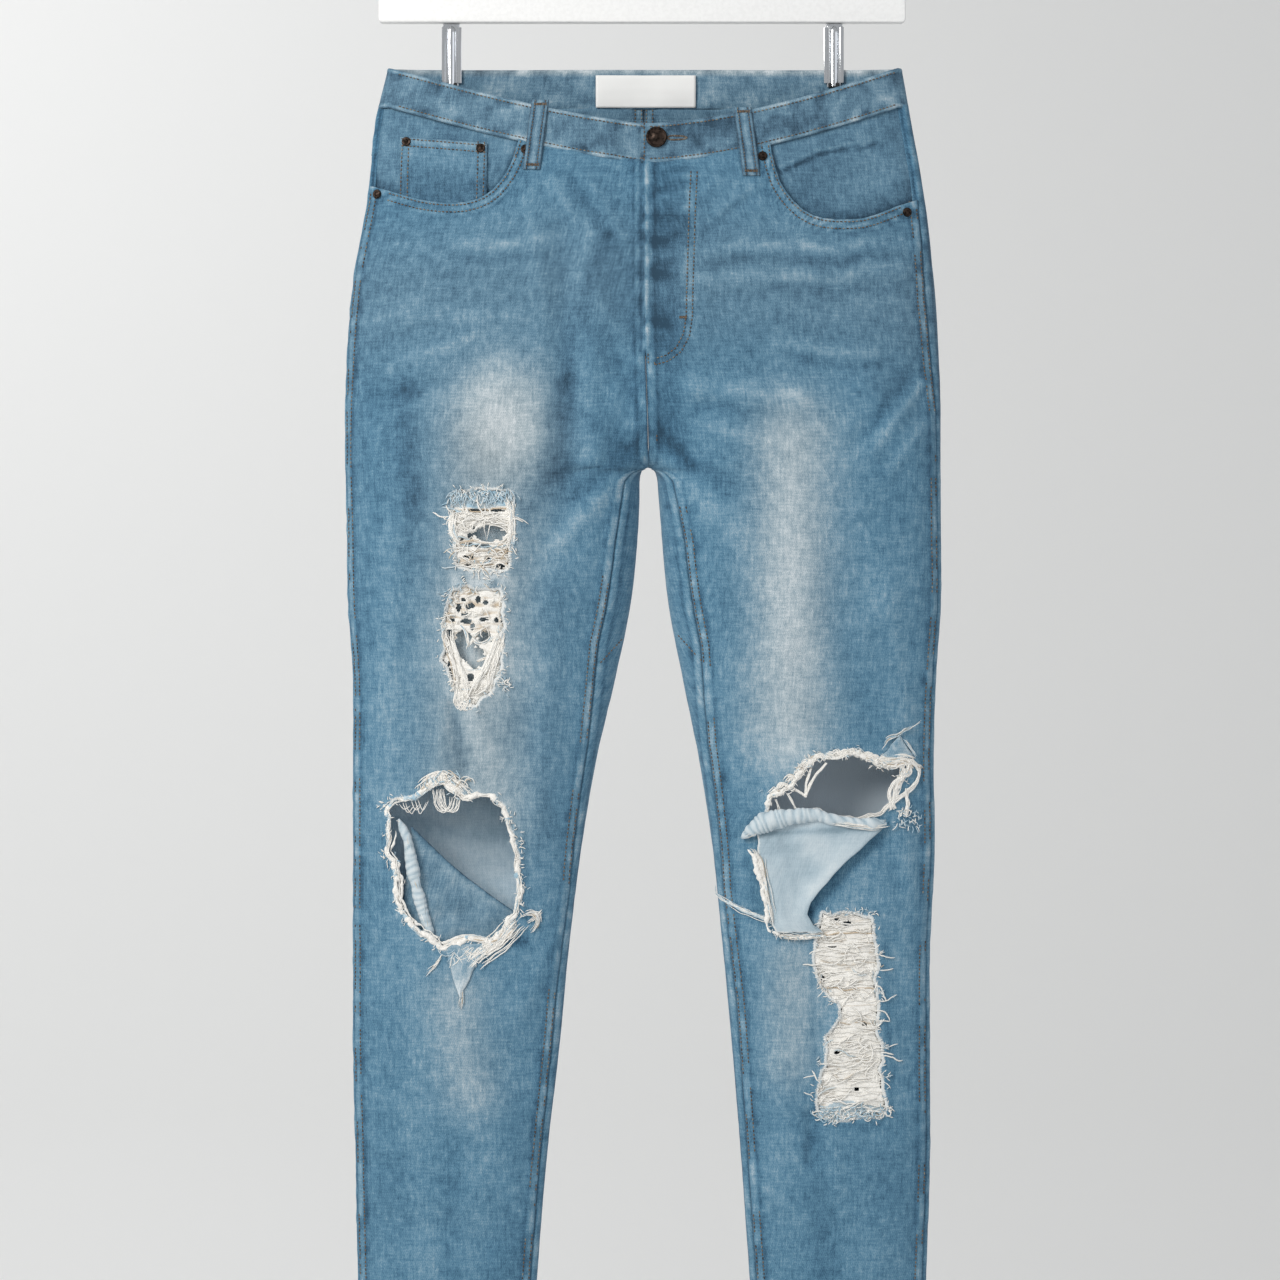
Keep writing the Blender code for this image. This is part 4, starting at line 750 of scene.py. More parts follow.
def flyWearAndShade(x, drop):
    above = smooth(fly["end"] + 3 - drop, 0, 8)
    ticks = puckers(drop * 1.5, 211)
    pale = 0.34 * np.exp(-(((x - fly["edge"]) / fly["wide"]) ** 2)) * (0.8 + 0.75 * ticks - 0.8 * flyBumps(drop))
    # a painted shadow line beside the lap, and the fly panel a deeper indigo
    dark = -0.24 * np.exp(-(((x + 2.6) / 1.7) ** 2)) - 0.10 * smooth(x, 2.5, 5) * smooth(fly["panel"] - x, 0, 3)
    inPanel = smooth(x, 3, 7) * smooth(30 - x, 0, 14)
    # painted light and shade on the puckers across the panel, and painted shade at the button bumps
    dark = dark + inPanel * (0.16 * puckers(drop * 0.8 + 0.3 * x, 215) - 0.20 * flyBumps(drop - 0.12 * x))
    # pale along the J stitch, with painted light and shade on its puckers
    rows = np.exp(-(((x - 34) / 5.5) ** 2)) * (0.07 + 0.22 * puckers(drop * 1.3, 213)) * smooth(222 - drop, 0, 8)
    return (pale + dark + rows) * above


def flyLift(x, drop):
    above = smooth(fly["end"] + 3 - drop, 0, 8)
    over = 1.5 * np.exp(-((x / 4.0) ** 2)) + 0.6 * smooth(fly["panel"] - x, 0, 2.5)
    over = over + 0.8 * flyBumps(drop) * np.exp(-(((x - 6) / 6) ** 2)) + 0.5 * puckers(drop * 1.5,
            211) * np.exp(-((x / 5) ** 2))
    return np.where(x > riseLine(drop) - 0.5, over, -0.7 * np.exp(-((x / 5) ** 2))) * above


frontGreys = [
    (-126, 300, -134, 600, 46, 0.62), (-106, 270, -104, 300, 40, 0.4), (118, 300, 118, 520, 34, 0.6),
    (-150, 748, -138, 822, 26, 0.3), (118, 720, 120, 800, 24, 0.3), (-60, 170, -200, 190, 60, 0.2),
    (60, 170, 200, 190, 60, 0.2),
]
# paler on the seat, thighs and shins from wear; the crease ridges lighter, partly wear and partly painted light, and
# their troughs darker, painted shade
backWearAndShade = [
    (-115, 240, -115, 320, 46, 0.16), (115, 240, 115, 320, 46, 0.16), (-120, 420, -130, 560, 34, 0.10),
    (120, 420, 130, 560, 34, 0.10), (-150, 820, -158, 1080, 24, 0.08), (150, 820, 158, 1080, 24, 0.08),
    (-80, 575, -204, 562, 6, 0.12), (-84, 621, -214, 612, 6, -0.10), (84, 581, 206, 568, 6, 0.12),
    (90, 635, 212, 620, 6, -0.10), (-30, 302, -150, 340, 6, -0.10), (34, 302, 150, 336, 6, -0.10),
    (-40, 320, -170, 374, 6, 0.11), (40, 320, 172, 370, 6, 0.11), (-100, 692, -200, 674, 7, -0.08),
    (104, 702, 204, 686, 7, -0.08)]


def wearAndShadeAt(x, drop, front):
    side = np.where(x >= riseLine(drop), 1, -1)
    leftOuter, rightOuter = sideLines(1, drop)[1], sideLines(-1, drop)[1]
    rim = np.minimum(np.abs(leftOuter - x), np.abs(x - rightOuter))
    base = 0.36 + 0.075 * smooth(drop, 230, 430) - (0.03 + 0.02 * (side > 0)) * smooth(drop, 700, 900)
    # painted shade towards the rounded outer sides of the legs
    base = base - 0.05 * np.exp(-rim / 7)
    # the wear and the painted fold shade follow uneven folds, so their strokes bend and break
    bentX = x + 7 * softNoise(x, drop, 44, 201) + 2.5 * softNoise(x, drop, 15, 202)
    bentDrop = drop + 6 * softNoise(x, drop, 38, 203) + 2.2 * softNoise(x, drop, 13, 204)
    broken = 0.85 + 0.5 * softNoise(x, drop * 1.6, 19, 205)
    painted = np.where(front, strokes(frontWearAndShade, bentX, bentDrop) + broken * strokes(whiskersAndShade, bentX, bentDrop)
                       + strokes(ripMarksAndShadows, x, drop) + flyWearAndShade(x, drop), strokes(backWearAndShade, bentX, bentDrop))
    # colour follows the crease height: lighter on the ridges, partly wear and partly painted light, and darker in the
    # troughs, painted shade
    folds = np.where(front, strokes(frontCreases, x, drop), strokes(backCreases, x, drop))
    hem = 0.12 * np.exp(-((drop - 1117) / 4.0) ** 2) * (1 + 0.6 * puckers(x, 60))
    return base + painted + 0.045 * np.clip(folds, -1.2, 1.4) + hem


def greyAt(x, drop, front):
    return np.where(front, strokes(frontGreys, x, drop), 0.25) + 0.08


# Leg panels and yokes

# The columns beside a seam keep these distances from it, so that its ridge stays crisp
nearSeam = [0.0, 0.7, 1.6, 2.8, 4.2, 6.0, 8.2]
ridge = {"height": 0.8, "wide": 8.0, "fold": 0.5}


def rowBetween(level, upper, lower):
    return lambda x: upper(x) * (1 - level) + lower(x) * level


def rowAt(drop):
    return lambda x: np.full(np.shape(x), float(drop))


def clothGrid(side, rows, first, last, count, under=(0.0, 0.0), guess=60.0):
    # Angles and drops of a panel's points, and how far each lies in from its two seams.
    # Each row gives drops for x, and first and last give the panel's edges at a drop. Under says how far the cloth
    # runs on below its neighbour at each edge.
    share = np.linspace(-0.04, 1.04, 217)
    angles, drops, fromFirst, fromLast = [], [], [], []
    for row in rows:
        drop = np.full(share.shape, guess)
        for _ in range(9):
            start, end = first(np.interp(0, share, drop)), last(np.interp(1, share, drop))
            angle = start + (end - start) * share
            points = surface(side, angle, drop)
            drop = row(points[:, 0])
        length = np.concatenate([[0], np.cumsum(np.linalg.norm(np.diff(points, axis=0), axis=1))])
        length -= np.interp(0, share, length)
        total = np.interp(1, share, length)
        inner = [-reach for reach in (under[0], under[0] / 2) if reach] + nearSeam
        outer = [total - d for d in nearSeam[::-1]] + [total + reach for reach in (under[1] / 2, under[1]) if reach]
        middle = np.linspace(nearSeam[-1], total - nearSeam[-1], count)[1:-1]
        at = np.concatenate([inner, middle, outer])
        angles.append(np.interp(at, length, angle))
        drops.append(np.interp(at, length, drop))
        fromFirst.append(at)
        fromLast.append(total - at)
    return np.array(angles), np.array(drops), np.array(fromFirst), np.array(fromLast)


def seamRidge(gap, along, tucked, seed):
    # The height of the turned allowance beside a seam, puckered by its stitching, and the step at the edge.
    allowance = smooth(gap, ridge["wide"] + 2.5, ridge["wide"] - 1.5)
    waves = puckers(along, seed) * np.exp(-((gap - 3.6) / 3.6) ** 2)
    height = ridge["height"] * allowance + 0.55 * waves
    if tucked:
        return height * smooth(gap, 0.4, 2.4) - 1.7 * smooth(gap, 1.5, -0.6)
    return height - ridge["fold"] * np.exp(-np.maximum(gap, 0) / 0.5)


def ripLift(x, drop, outlines):
    # Cloth beside a rip curls outwards unevenly.
    lift = np.zeros(np.shape(x))
    for outline in outlines:
        gap = nearest(x, drop, outline)[2]
        lift += 1.3 * np.exp(-((gap / 6.5) ** 2)) * (0.7 + 0.6 * softNoise(x, drop, 11, 31))
    return lift


def legPanel(name, side, grid, tucked, free, outlines=(), opening=None, seed=0, materials=None):
    # A panel from its grid. Tucked and free say which long edges pass below and above their neighbour.
    angle, drop, gapFirst, gapLast = grid
    spots, normals = skin(side, angle, drop)
    front = isFront(angle)
    x = spots[..., 0]
    lift = relief(x, drop, front, side)
    seamWearAndShade = np.zeros(x.shape)
    for k, gap in enumerate((gapFirst, gapLast)):
        if tucked[k] or free[k]:
            lift = lift + seamRidge(gap, drop + 40 * k, tucked[k], 20 + seed + 3 * k)
            # pale beads of wear on the seam ridge, a dark line at the joint, painted shade at the foot of the ridge and
            # painted shadows of the puckers beside it
            beads = np.exp(-((gap - 3.8) / 3.0) ** 2) * (0.08 + 0.20 * puckers(drop + 40 * k, 20 + seed + 3 * k))
            seamWearAndShade += (beads - 0.26 * np.exp(-((gap + 0.2) / 1.1) ** 2)
                         - 0.16 * np.exp(-((gap - 8.6) / 1.5) ** 2)
                         - 0.30 * np.maximum(puckers(drop * 0.9 + 70 * k, 24 + seed), 0.25) ** 2
                         * np.exp(-((gap - 9.5) / 3.4) ** 2))
    if free[0] and front.mean() > 0.7:
        lift = lift + flyLift(x, drop)
    shapes = list(outlines)
    fade = wearAndShadeAt(x, drop, front) + seamWearAndShade
    tear = np.zeros(x.shape)
    keep = None
    onFront = front & (gapFirst > -0.5)
    if shapes:
        lift = lift + np.where(onFront, ripLift(x, drop, shapes), 0)
        for outline in shapes:
            gap = nearest(x, drop, outline)[2]
            tear = np.maximum(tear, np.exp(-((gap / 3.0) ** 2)))
            fade += 0.12 * np.exp(-gap / 7)
    if opening is not None:
        gap = nearest(x, drop, opening[:-2])[2]
        lift = lift + 0.9 * np.exp(-((gap / 5.0) ** 2))
        sewnWear = 1 + 0.9 * puckers(x + drop, 221)
        fade += 0.20 * np.exp(-((gap - 0.4) / 1.2) ** 2) * sewnWear - 0.14 * np.exp(-((gap - 2.4) / 0.8) ** 2)
        fade += 0.16 * np.exp(-((gap - 4.8) / 1.5) ** 2) * sewnWear - 0.16 * np.exp(-((gap - 7.3) / 0.8) ** 2)
        # a pale edge beyond the outer stitch row, and painted shade just outside it
        fade += 0.12 * np.exp(-((gap - 9.0) / 1.0) ** 2) - 0.12 * np.exp(-((gap - 11.0) / 1.3) ** 2)
        shapes.append(opening)
    turnedUp = smooth(drop, cloth["hemTop"] - 0.6, cloth["hemTop"] + 0.6)
    lift = lift + 0.7 * turnedUp + 0.3 * turnedUp * puckers(x, 70 + seed)
    if shapes:
        middleX, middleDrop = x[:-1, :-1] + x[1:, 1:], drop[:-1, :-1] + drop[1:, 1:]
        keep = np.ones(middleX.shape, bool)
        for outline in shapes:
            gone = isInside(middleX / 2, middleDrop / 2, outline)
            keep &= ~gone
            # corners on the border move onto the outline
            beside = np.zeros(x.shape, bool)
            kept = np.zeros(x.shape, bool)
            for r, c in ((0, 0), (0, 1), (1, 0), (1, 1)):
                beside[r:r + gone.shape[0], c:c + gone.shape[1]] |= gone
                kept[r:r + gone.shape[0], c:c + gone.shape[1]] |= ~gone
            border = beside & kept
            atX, atDrop, gap = nearest(x[border], drop[border], outline)
            near = gap < 4.0
            rows, columns = np.nonzero(border)
            rows, columns = rows[near], columns[near]
            moved = skin(side, angleAt(side, atX[near], atDrop[near]), atDrop[near])
            spots[rows, columns], normals[rows, columns] = moved
            tear[rows, columns] = np.where(outline is opening, 0.0, 1.0)
    paint = {"fade": fade, "grey": greyAt(x, drop, front), "tear": tear,
             "place": placeOf(spots, spots.shape[1] - 1 if free[0] and front.mean() > 0.7 else 0),
             # painted light on the inner side of the back panels, behind the knee hole, the slash and the thigh rips
             "inside": strokes([(-190, 600, -110, 660, 40, 0.3), (115, 585, 205, 585, 34, 1.0),
                                (-130, 370, -135, 480, 32, 1.0)], x, drop) * ~front}
    return clothMesh(name, spots + normals * lift[..., None], normals, paint, keep, materials)


frontRows = [rowBetween(k / 60, lambda x: frontTop(x) - 3, lambda x: np.full(np.shape(x), cloth["legStart"]))
             for k in range(60)]
legRows = [rowAt(drop) for drop in np.linspace(cloth["legStart"], cloth["hem"], 302)]
backTopRows = [rowBetween(k / 42, lambda x: yokeBottom(x) - 2.5, lambda x: np.full(np.shape(x), cloth["legStart"]))
               for k in range(42)]
backLegRows = [rowAt(drop) for drop in np.linspace(cloth["legStart"], cloth["hem"], 232)]
yokeRows = [rowBetween(k / 14, lambda x: yokeTop(x) - 3, yokeBottom) for k in range(15)]

panels = {}
for side, word in ((-1, "right"), (1, "left")):
    def inLine(drop, side=side):
        return float(inseamAngle(side, drop))

    def outLine(drop, side=side):
        return float(outseamAngle(side, drop))

    def backEnd(drop, side=side):
        return 2 * pi + float(inseamAngle(side, drop))

    rip = rips[side]
    grid = clothGrid(side, frontRows + legRows, inLine, outLine, 84)
    panel = legPanel(f"frontPanel_{word}", side, grid, (False, False), (True, True), rip,
                     closedOn(pocketEdge[side], side), seed=side + 1)
    panels["front", side] = finish(panel, [f"front_panel_{word}"]), grid
    grid = clothGrid(side, backTopRows + backLegRows, outLine, backEnd, 62, under=(2.4, 0.0))
    panel = legPanel(f"backPanel_{word}", side, grid, (True, True), (False, False), seed=side + 8)
    panels["back", side] = finish(panel, [f"back_panel_{word}"]), grid
    grid = clothGrid(side, yokeRows, outLine, lambda drop: 2 * pi, 62, under=(2.4, 0.0))
    panel = legPanel(f"backYoke_{word}", side, grid, (True, False), (False, True), seed=side + 14,
                     materials=[denimFace] * 3)
    panels["yoke", side] = finish(panel, [f"back_yoke_{word}"]), grid
    print(f"{word} leg made")

# Waistband, pockets, loops and label

overlap = {"edge": -2.4, "sinkFrom": -28.0, "sinkTo": -9.0, "end": 33.0, "under": 3.0}
# How far out, and at what share of the height, the band's cross-section passes: up its outside and down its inside
bandSection = [(-0.4, 1.0), (0.35, 0.985), (0.75, 0.945), (0.55, 0.86), (0.6, 0.68), (0.62, 0.5), (0.6, 0.32),
               (0.5, 0.13), (0.75, 0.055), (0.35, 0.012), (-0.6, 0.0), (-1.7, 0.012), (-2.1, 0.06), (-2.1, 0.2),
               (-2.1, 0.5), (-2.1, 0.8), (-2.1, 0.95), (-1.7, 0.99)]


def waistBand():
    # One strip from the buttonhole end, round the back, to the button end behind it.
    def turnsOf(side, xs):
        return [(side, float(angleAt(side, x, 60.0)), x) for x in xs]

    stops = [(s, a, 0.0) for s, a, _ in turnsOf(-1, (overlap["edge"],))]
    stops += [(1, 2 * pi * k / 150, 0.0) for k in range(1, 151)]
    stops += [(-1, 2 * pi * (1 - k / 150), 0.0) for k in range(1, 150)
              if 2 * pi * (1 - k / 150) > angleAt(-1, overlap["sinkFrom"], 60.0)]
    for x in np.linspace(overlap["sinkFrom"], overlap["edge"], 10):
        stops += [(-1, float(angleAt(-1, x, 60.0)),
                   -overlap["under"] * smooth(x, overlap["sinkFrom"], overlap["sinkTo"]))]
    stops += [(1, float(angleAt(1, x, 60.0)), -overlap["under"]) for x in np.linspace(3, overlap["end"], 10)]
    points, fades, greys, places = [], [], [], []
    along, before = 0.0, None
    for side, angle, shift in stops:
        front = bool(isFront(np.array(angle)))
        ring = []
        for out, level in bandSection:
            drop = 30.0
            for _ in range(6):
                drop = float(bandTop(surface(side, angle, drop)[0], front)) + band["height"] * level
            spot, normal = skin(side, np.array(angle), np.array(drop))
            sew = puckers(along, 90) * 0.35 * (abs(level - 0.5) > 0.3) * (out > 0)
            ring.append(spot + normal * (out + shift + 0.2 + sew + 0.5 * softNoise(spot[0], drop, 26, 91)))
            top = out < 0 and level < 0.2
            dark = 0.14 * smooth(spot[0], -40, 20) * smooth(-spot[0], -190, -120) * front
            fade = 0.40 - dark + 0.14 * softNoise(along, drop, 13, 92) + 0.08 * softNoise(along, drop, 6, 93)
            # the puckers at the stitched edges are lighter on their crests, partly wear and partly painted light, and
            # darker between them, painted shade
            fade += 0.34 * puckers(along, 90) * (abs(level - 0.5) > 0.35)
            # the rolled edges rubbed paler, and painted shade in the two grooves of the band
            fade += 0.16 * (out > 0.7) - 0.10 * (out == 0.5) - 0.05 * (out == 0.55)
            fade += 0.24 if level < 0.1 and out < 0 and not front else 0
            fades.append(fade)
            greys.append(0.85 if top and not front else 0.35)
            places.append((along, drop * 1.0, out * 2))
        before = ring[5] if before is None else before
        along += float(np.linalg.norm(ring[5] - before))
        before = ring[5]
        points.append(ring)
    rings, around = len(points), len(bandSection)
    points = world(np.array(points)).reshape(-1, 3)
    faces = [(r * around + k, r * around + (k + 1) % around, (r + 1) * around + (k + 1) % around, (r + 1) * around + k)
             for r in range(rings - 1) for k in range(around)]
    faces += [tuple(range(around)), tuple((rings - 1) * around + k for k in reversed(range(around)))]
    obj = newMesh("waistBand", points, faces, [denimFace])
    work = bmesh.new()
    work.from_mesh(obj.data)
    bmesh.ops.recalc_face_normals(work, faces=work.faces)
    work.to_mesh(obj.data)
    work.free()
    giveAttribute(obj, "fade", fades)
    giveAttribute(obj, "grey", greys)
    giveAttribute(obj, "tear", np.zeros(len(fades)))
    giveAttribute(obj, "place", np.array(places))
    return finish(obj, ["waistband"])


bandPiece = waistBand()


def patchPiece(name, lines, rows, columns, lift, thick, front=True, fade=0.0, grey=0.2, materials=None, tear=None):
    # A piece that lies on the cloth. lines gives x and drop for shares across and down it, and lift its height.
    across, down = np.meshgrid(np.linspace(0, 1, columns + 1), np.linspace(0, 1, rows + 1))
    x, drop = lines(across, down)
    points, normals = onCloth(x, drop, front)
    spots = points + normals * np.broadcast_to(lift, x.shape)[..., None]
    paint = {"fade": wearAndShadeAt(x, drop, np.full(x.shape, front)) + fade, "grey": np.broadcast_to(grey, x.shape),
             "tear": np.zeros(x.shape) if tear is None else tear, "place": placeOf(spots, columns // 2)}
    return clothMesh(name, spots, normals, paint, materials=materials, thick=thick)


def edgeAt(side, x):
    rows = pocketEdge[side][np.argsort(pocketEdge[side][:, 0])]
    return np.interp(x, rows[:, 0], rows[:, 1])


facing = {"under": 12.0, "edge": 1.5, "lift": -2.3, "thick": 1.2}
for side, word in ((-1, "right"), (1, "left")):
    inner = pocketEdge[side][0][0] - side * facing["under"]

    def facingLines(across, down, side=side, inner=inner):
        drop = np.full(across.shape, 60.0)
        for _ in range(8):
            outer = sideLines(side, drop)[1] - side * (lineAt(outseam[side], drop) + facing["edge"])
            x = inner + (outer - inner) * np.sin(across * pi / 2)
            top = frontTop(x) - 3
            drop = top + (edgeAt(side, x) + facing["under"] - top) * down
        return x, drop

    across, down = np.meshgrid(np.linspace(0, 1, 51), np.linspace(0, 1, 31))
    x, drop = facingLines(across, down)
    hollow = -1.4 * smooth(drop - edgeAt(side, x), -16, -2) * smooth(across, 0, 0.3)
    if side > 0:
        # the facing gapes below its upper strip, which hangs from the waistband
        lower = np.interp(x, [101, 110, 142, 190], [86, 85, 70.5, 62])
        hollow = hollow - 1.8 * smooth(drop - lower, -0.6, 0.8) * smooth(across, 0.05, 0.2) * smooth(-across, -0.8,
                -0.5)
        # painted shadow under the upper strip, and a painted highlight on its lower edge
        shade = -0.3 * np.exp(-(((drop - lower - 1.6) / 1.6) ** 2)) * smooth(-across, -0.75, -0.5)
        shade += 0.12 * np.exp(-(((drop - lower + 2.2) / 1.6) ** 2)) * smooth(-across, -0.75, -0.5)
    else:
        shade = 0
    # painted shade inside the pocket opening, darkest at its edge
    shade = shade - 0.26 * np.exp(-np.maximum(edgeAt(side, x) - drop, 0) / 4.5) + 0.08 * softNoise(x, drop, 16,
            88 + side)
    piece = patchPiece(f"pocketFacing_{word}", facingLines, 30, 50, facing["lift"] + hollow, facing["thick"],
                       fade=shade - 0.02, grey=0.25)
    finish(piece, [f"pocket_facing_{word}"])

coin = {"left": -196.0, "right": -126.0, "leftDrop": 58.0, "rightDrop": 64.0, "lift": -0.6, "thick": 1.2}


def coinLines(across, down):
    x = coin["left"] + (coin["right"] - coin["left"]) * across
    top = coin["leftDrop"] + (coin["rightDrop"] - coin["leftDrop"]) * across
    return x, top + (edgeAt(-1, x) + 2 - top) * down


down = np.linspace(0, 1, 27)[:, None] + np.zeros(32)
# pale along the top edge, darker towards the bottom
coinTone = 0.15 * np.exp(-(((down - 0.05) / 0.05) ** 2)) + 0.05 * smooth(-down, -0.5, -0.3) - 0.15 * smooth(down,
        0.35, 0.8)
coinPiece = patchPiece("coinPocket", coinLines, 26, 31, coin["lift"] + 0.5 * (down < 0.09), coin["thick"],
        fade=coinTone)
finish(coinPiece, ["coin_pocket"])

placket = {"left": -16.0, "width": 44.0, "bottom": 236.0, "behind": 0.9, "thick": 1.3}


def placketLines(across, down):
    x = placket["left"] + placket["width"] * across
    top = frontTop(x) + 1
    return x, top + (placket["bottom"] - top) * down


finish(patchPiece("flyPlacket", placketLines, 40, 10, -cloth["wall"] - placket["behind"] - 0.3, placket["thick"]),
       ["fly_placket"])

backPocket = {"middle": 115.0, "halfTop": 72.0, "halfBottom": 60.0, "top": 122.0, "corner": 246.0, "point": 18.0,
              "thick": 1.3, "clear": 2.2}
backPockets = {}
for side, word in ((-1, "right"), (1, "left")):
    def pocketLines(across, down, side=side):
        half = backPocket["halfTop"] + (backPocket["halfBottom"] - backPocket["halfTop"]) * down
        x = side * (backPocket["middle"] + half * (2 * across - 1))
        bottom = backPocket["corner"] + backPocket["point"] * (1 - np.abs(2 * across - 1))
        return x, backPocket["top"] + (bottom - backPocket["top"]) * down

    across, down = np.meshgrid(np.linspace(0, 1, 61), np.linspace(0, 1, 61))
    x, drop = pocketLines(across, down)
    rim = np.minimum(np.minimum(across, 1 - across) * 134, np.minimum(down, 1 - down) * 130)
    lift = backPocket["clear"] + 0.5 * smooth(-rim, -9, -7) + 0.35 * puckers(drop + x,
            80) * np.exp(-((rim - 3) / 4) ** 2)
    lift = lift + 0.9 * smooth(down, 0.25, 0.0) * np.sin(across * pi)
    # a pale rim at the folded edge, and painted shade at the foot of the raised edge band
    pale = 0.14 * np.exp(-((rim - 0.4) / 1.0) ** 2) - 0.08 * np.exp(-((rim - 8.8) / 1.2) ** 2)
    piece = patchPiece(f"backPocket_{word}", pocketLines, 60, 60, lift, backPocket["thick"], front=False,
                       fade=pale + 0.06)
    backPockets[side] = finish(piece, [f"back_pocket_{word}"])

loop = {"width": 14.0, "thick": 1.5, "clear": 1.3, "arch": 1.6}
loops = {
    "belt_loop_front_right": ((-83, 29.5), (-90, 86), True),
    "belt_loop_front_left": ((79, 35.5), (86, 91), True),
    "belt_loop_back_right": ((-118, 0.8), (-118, 52), False),
    "belt_loop_back_left": ((118, 0.8), (118, 52), False),
    "belt_loop_back_middle": ((0, 0.8), (0, 52), False),
}
loopPieces = {}
for node, ((x0, drop0), (x1, drop1), front) in loops.items():
    def loopLines(across, down, ends=(x0, drop0, x1, drop1)):
        x = ends[0] + (ends[2] - ends[0]) * down + loop["width"] * (across - 0.5)
        return x, ends[1] + (ends[3] - ends[1]) * down

    across, down = np.meshgrid(np.linspace(0, 1, 15), np.linspace(0, 1, 33))
    fold = np.exp(-(((np.abs(across - 0.5) - 0.36) / 0.09) ** 2))
    lift = loop["clear"] + loop["arch"] * np.sin(pi * down) + 0.35 * fold - 0.9 * smooth(np.abs(across - 0.5), 0.44,
            0.5)
    lift = lift + 0.25 * puckers(down * 56, 97) * fold
    # pale along the middle and on the folds, dark at the stitch rows, and painted shade along the turned-down sides
    pale = 0.20 * np.exp(-(((across - 0.5) / 0.12) ** 2))
    pale = pale - 0.30 * np.exp(-(((np.abs(across - 0.5) - 0.27) / 0.06) ** 2))
    pale = pale - 0.22 * smooth(np.abs(across - 0.5), 0.42, 0.49) + 0.12 * puckers(down * 60, 98)
    pale = pale + 0.10 * fold + 0.12 * np.exp(-((down - 0.02) / 0.03) ** 2) - 0.1 * np.exp(-((down - 0.93) / 0.02) ** 2)
    piece = patchPiece(node.replace("_", ""), loopLines, 32, 14, lift, loop["thick"], front=front, fade=pale, grey=0.35)
    loopPieces[node] = finish(piece, [node])

label = {"left": -39.0, "right": 42.0, "top": 5.0, "bottom": 31.0, "lift": -2.6, "thick": 0.7}


def labelLines(across, down):
    return (label["left"] + (label["right"] - label["left"]) * across,
            label["top"] + (label["bottom"] - label["top"]) * down)


across, down = np.meshgrid(np.linspace(0, 1, 41), np.linspace(0, 1, 17))
lift = label["lift"] - 0.5 * np.sin(pi * across * 3) * np.sin(pi * down) * 0.5 - 0.35 * np.sin(pi * down)
piece = patchPiece("waistLabel", labelLines, 16, 40, lift, label["thick"], front=False, materials=[labelTape] * 3)
finish(piece, ["waist_label"])
print("waistband and pockets made")

# Button, rivets and hanger


def turned(name, profile, centre, outward, materials, sides=40, softEdges=True):
    # A turned piece whose profile gives radius and height in mm along its outward axis.
    turn = Vector((0, 0, 1)).rotation_difference(Vector(outward).normalized())
    points = []
    for radius, height in profile:
        for k in range(sides):
            a = 2 * pi * k / sides
            points.append(Vector(centre) + turn @ Vector((radius * math.cos(a), radius * math.sin(a), height)) * mm)
    faces = [(r * sides + k, r * sides + (k + 1) % sides, (r + 1) * sides + (k + 1) % sides, (r + 1) * sides + k)
             for r in range(len(profile) - 1) for k in range(sides)]
    faces += [tuple(reversed(range(sides))), tuple(range((len(profile) - 1) * sides, len(profile) * sides))]
    obj = newMesh(name, points, faces, materials, smoothFaces=softEdges)
    obj.data.set_sharp_from_angle(angle=math.radians(50))
    return obj


buttonProfile = [(4.2, -0.6), (4.2, 0.7), (7.6, 0.8), (8.3, 1.2), (8.5, 1.8), (8.35, 2.4), (7.9, 2.85), (7.3, 2.95),
                 (6.8, 2.75), (6.45, 2.35), (6.2, 2.25), (4.6, 2.35), (2.9, 2.5), (2.4, 2.75), (1.9, 2.95), (1.1, 3.05),
                 (0.3, 3.08)]
spot, normal = onCloth(10.0, 60.0)
button = turned("waistButton", buttonProfile, world(spot + normal * 0.9), normal, [agedCopper], 48)
finish(button, ["waist_button"])

rivetPlaces = [(-191, 62), (-131, 68), (-95, 69.5), (-214, 104), (95, 75), (211, 119)]
rivetNodes = ["rivet_coin_outer", "rivet_coin_inner", "rivet_right_inner", "rivet_right_outer", "rivet_left_inner",
              "rivet_left_outer"]
rivetProfile = [(3.7, -0.8), (3.75, 0.25), (3.5, 0.6), (3.0, 0.75), (2.5, 0.62), (2.1, 0.6), (1.6, 0.9), (1.0, 1.15),
                (0.25, 1.2)]


def geometryTree(name, extra=()):
    tree = bpy.data.node_groups.new(name, "GeometryNodeTree")
    tree.interface.new_socket("Geometry", in_out="INPUT", socket_type="NodeSocketGeometry")
    for title, kind in extra:
        tree.interface.new_socket(title, in_out="INPUT", socket_type=kind)
    tree.interface.new_socket("Geometry", in_out="OUTPUT", socket_type="NodeSocketGeometry")
    start = tree.nodes.new("NodeGroupInput")
    end = tree.nodes.new("NodeGroupOutput")
    return tree, start, end


def grow(obj, tree, **values):
    # Runs a tree on an object and keeps the plain mesh that it makes.
    modifier = obj.modifiers.new(tree.name, "NODES")
    modifier.node_group = tree
    for item in tree.interface.items_tree:
        if item.in_out == "INPUT" and item.name in values:
            modifier[item.identifier] = values[item.name]
    return bake(obj)


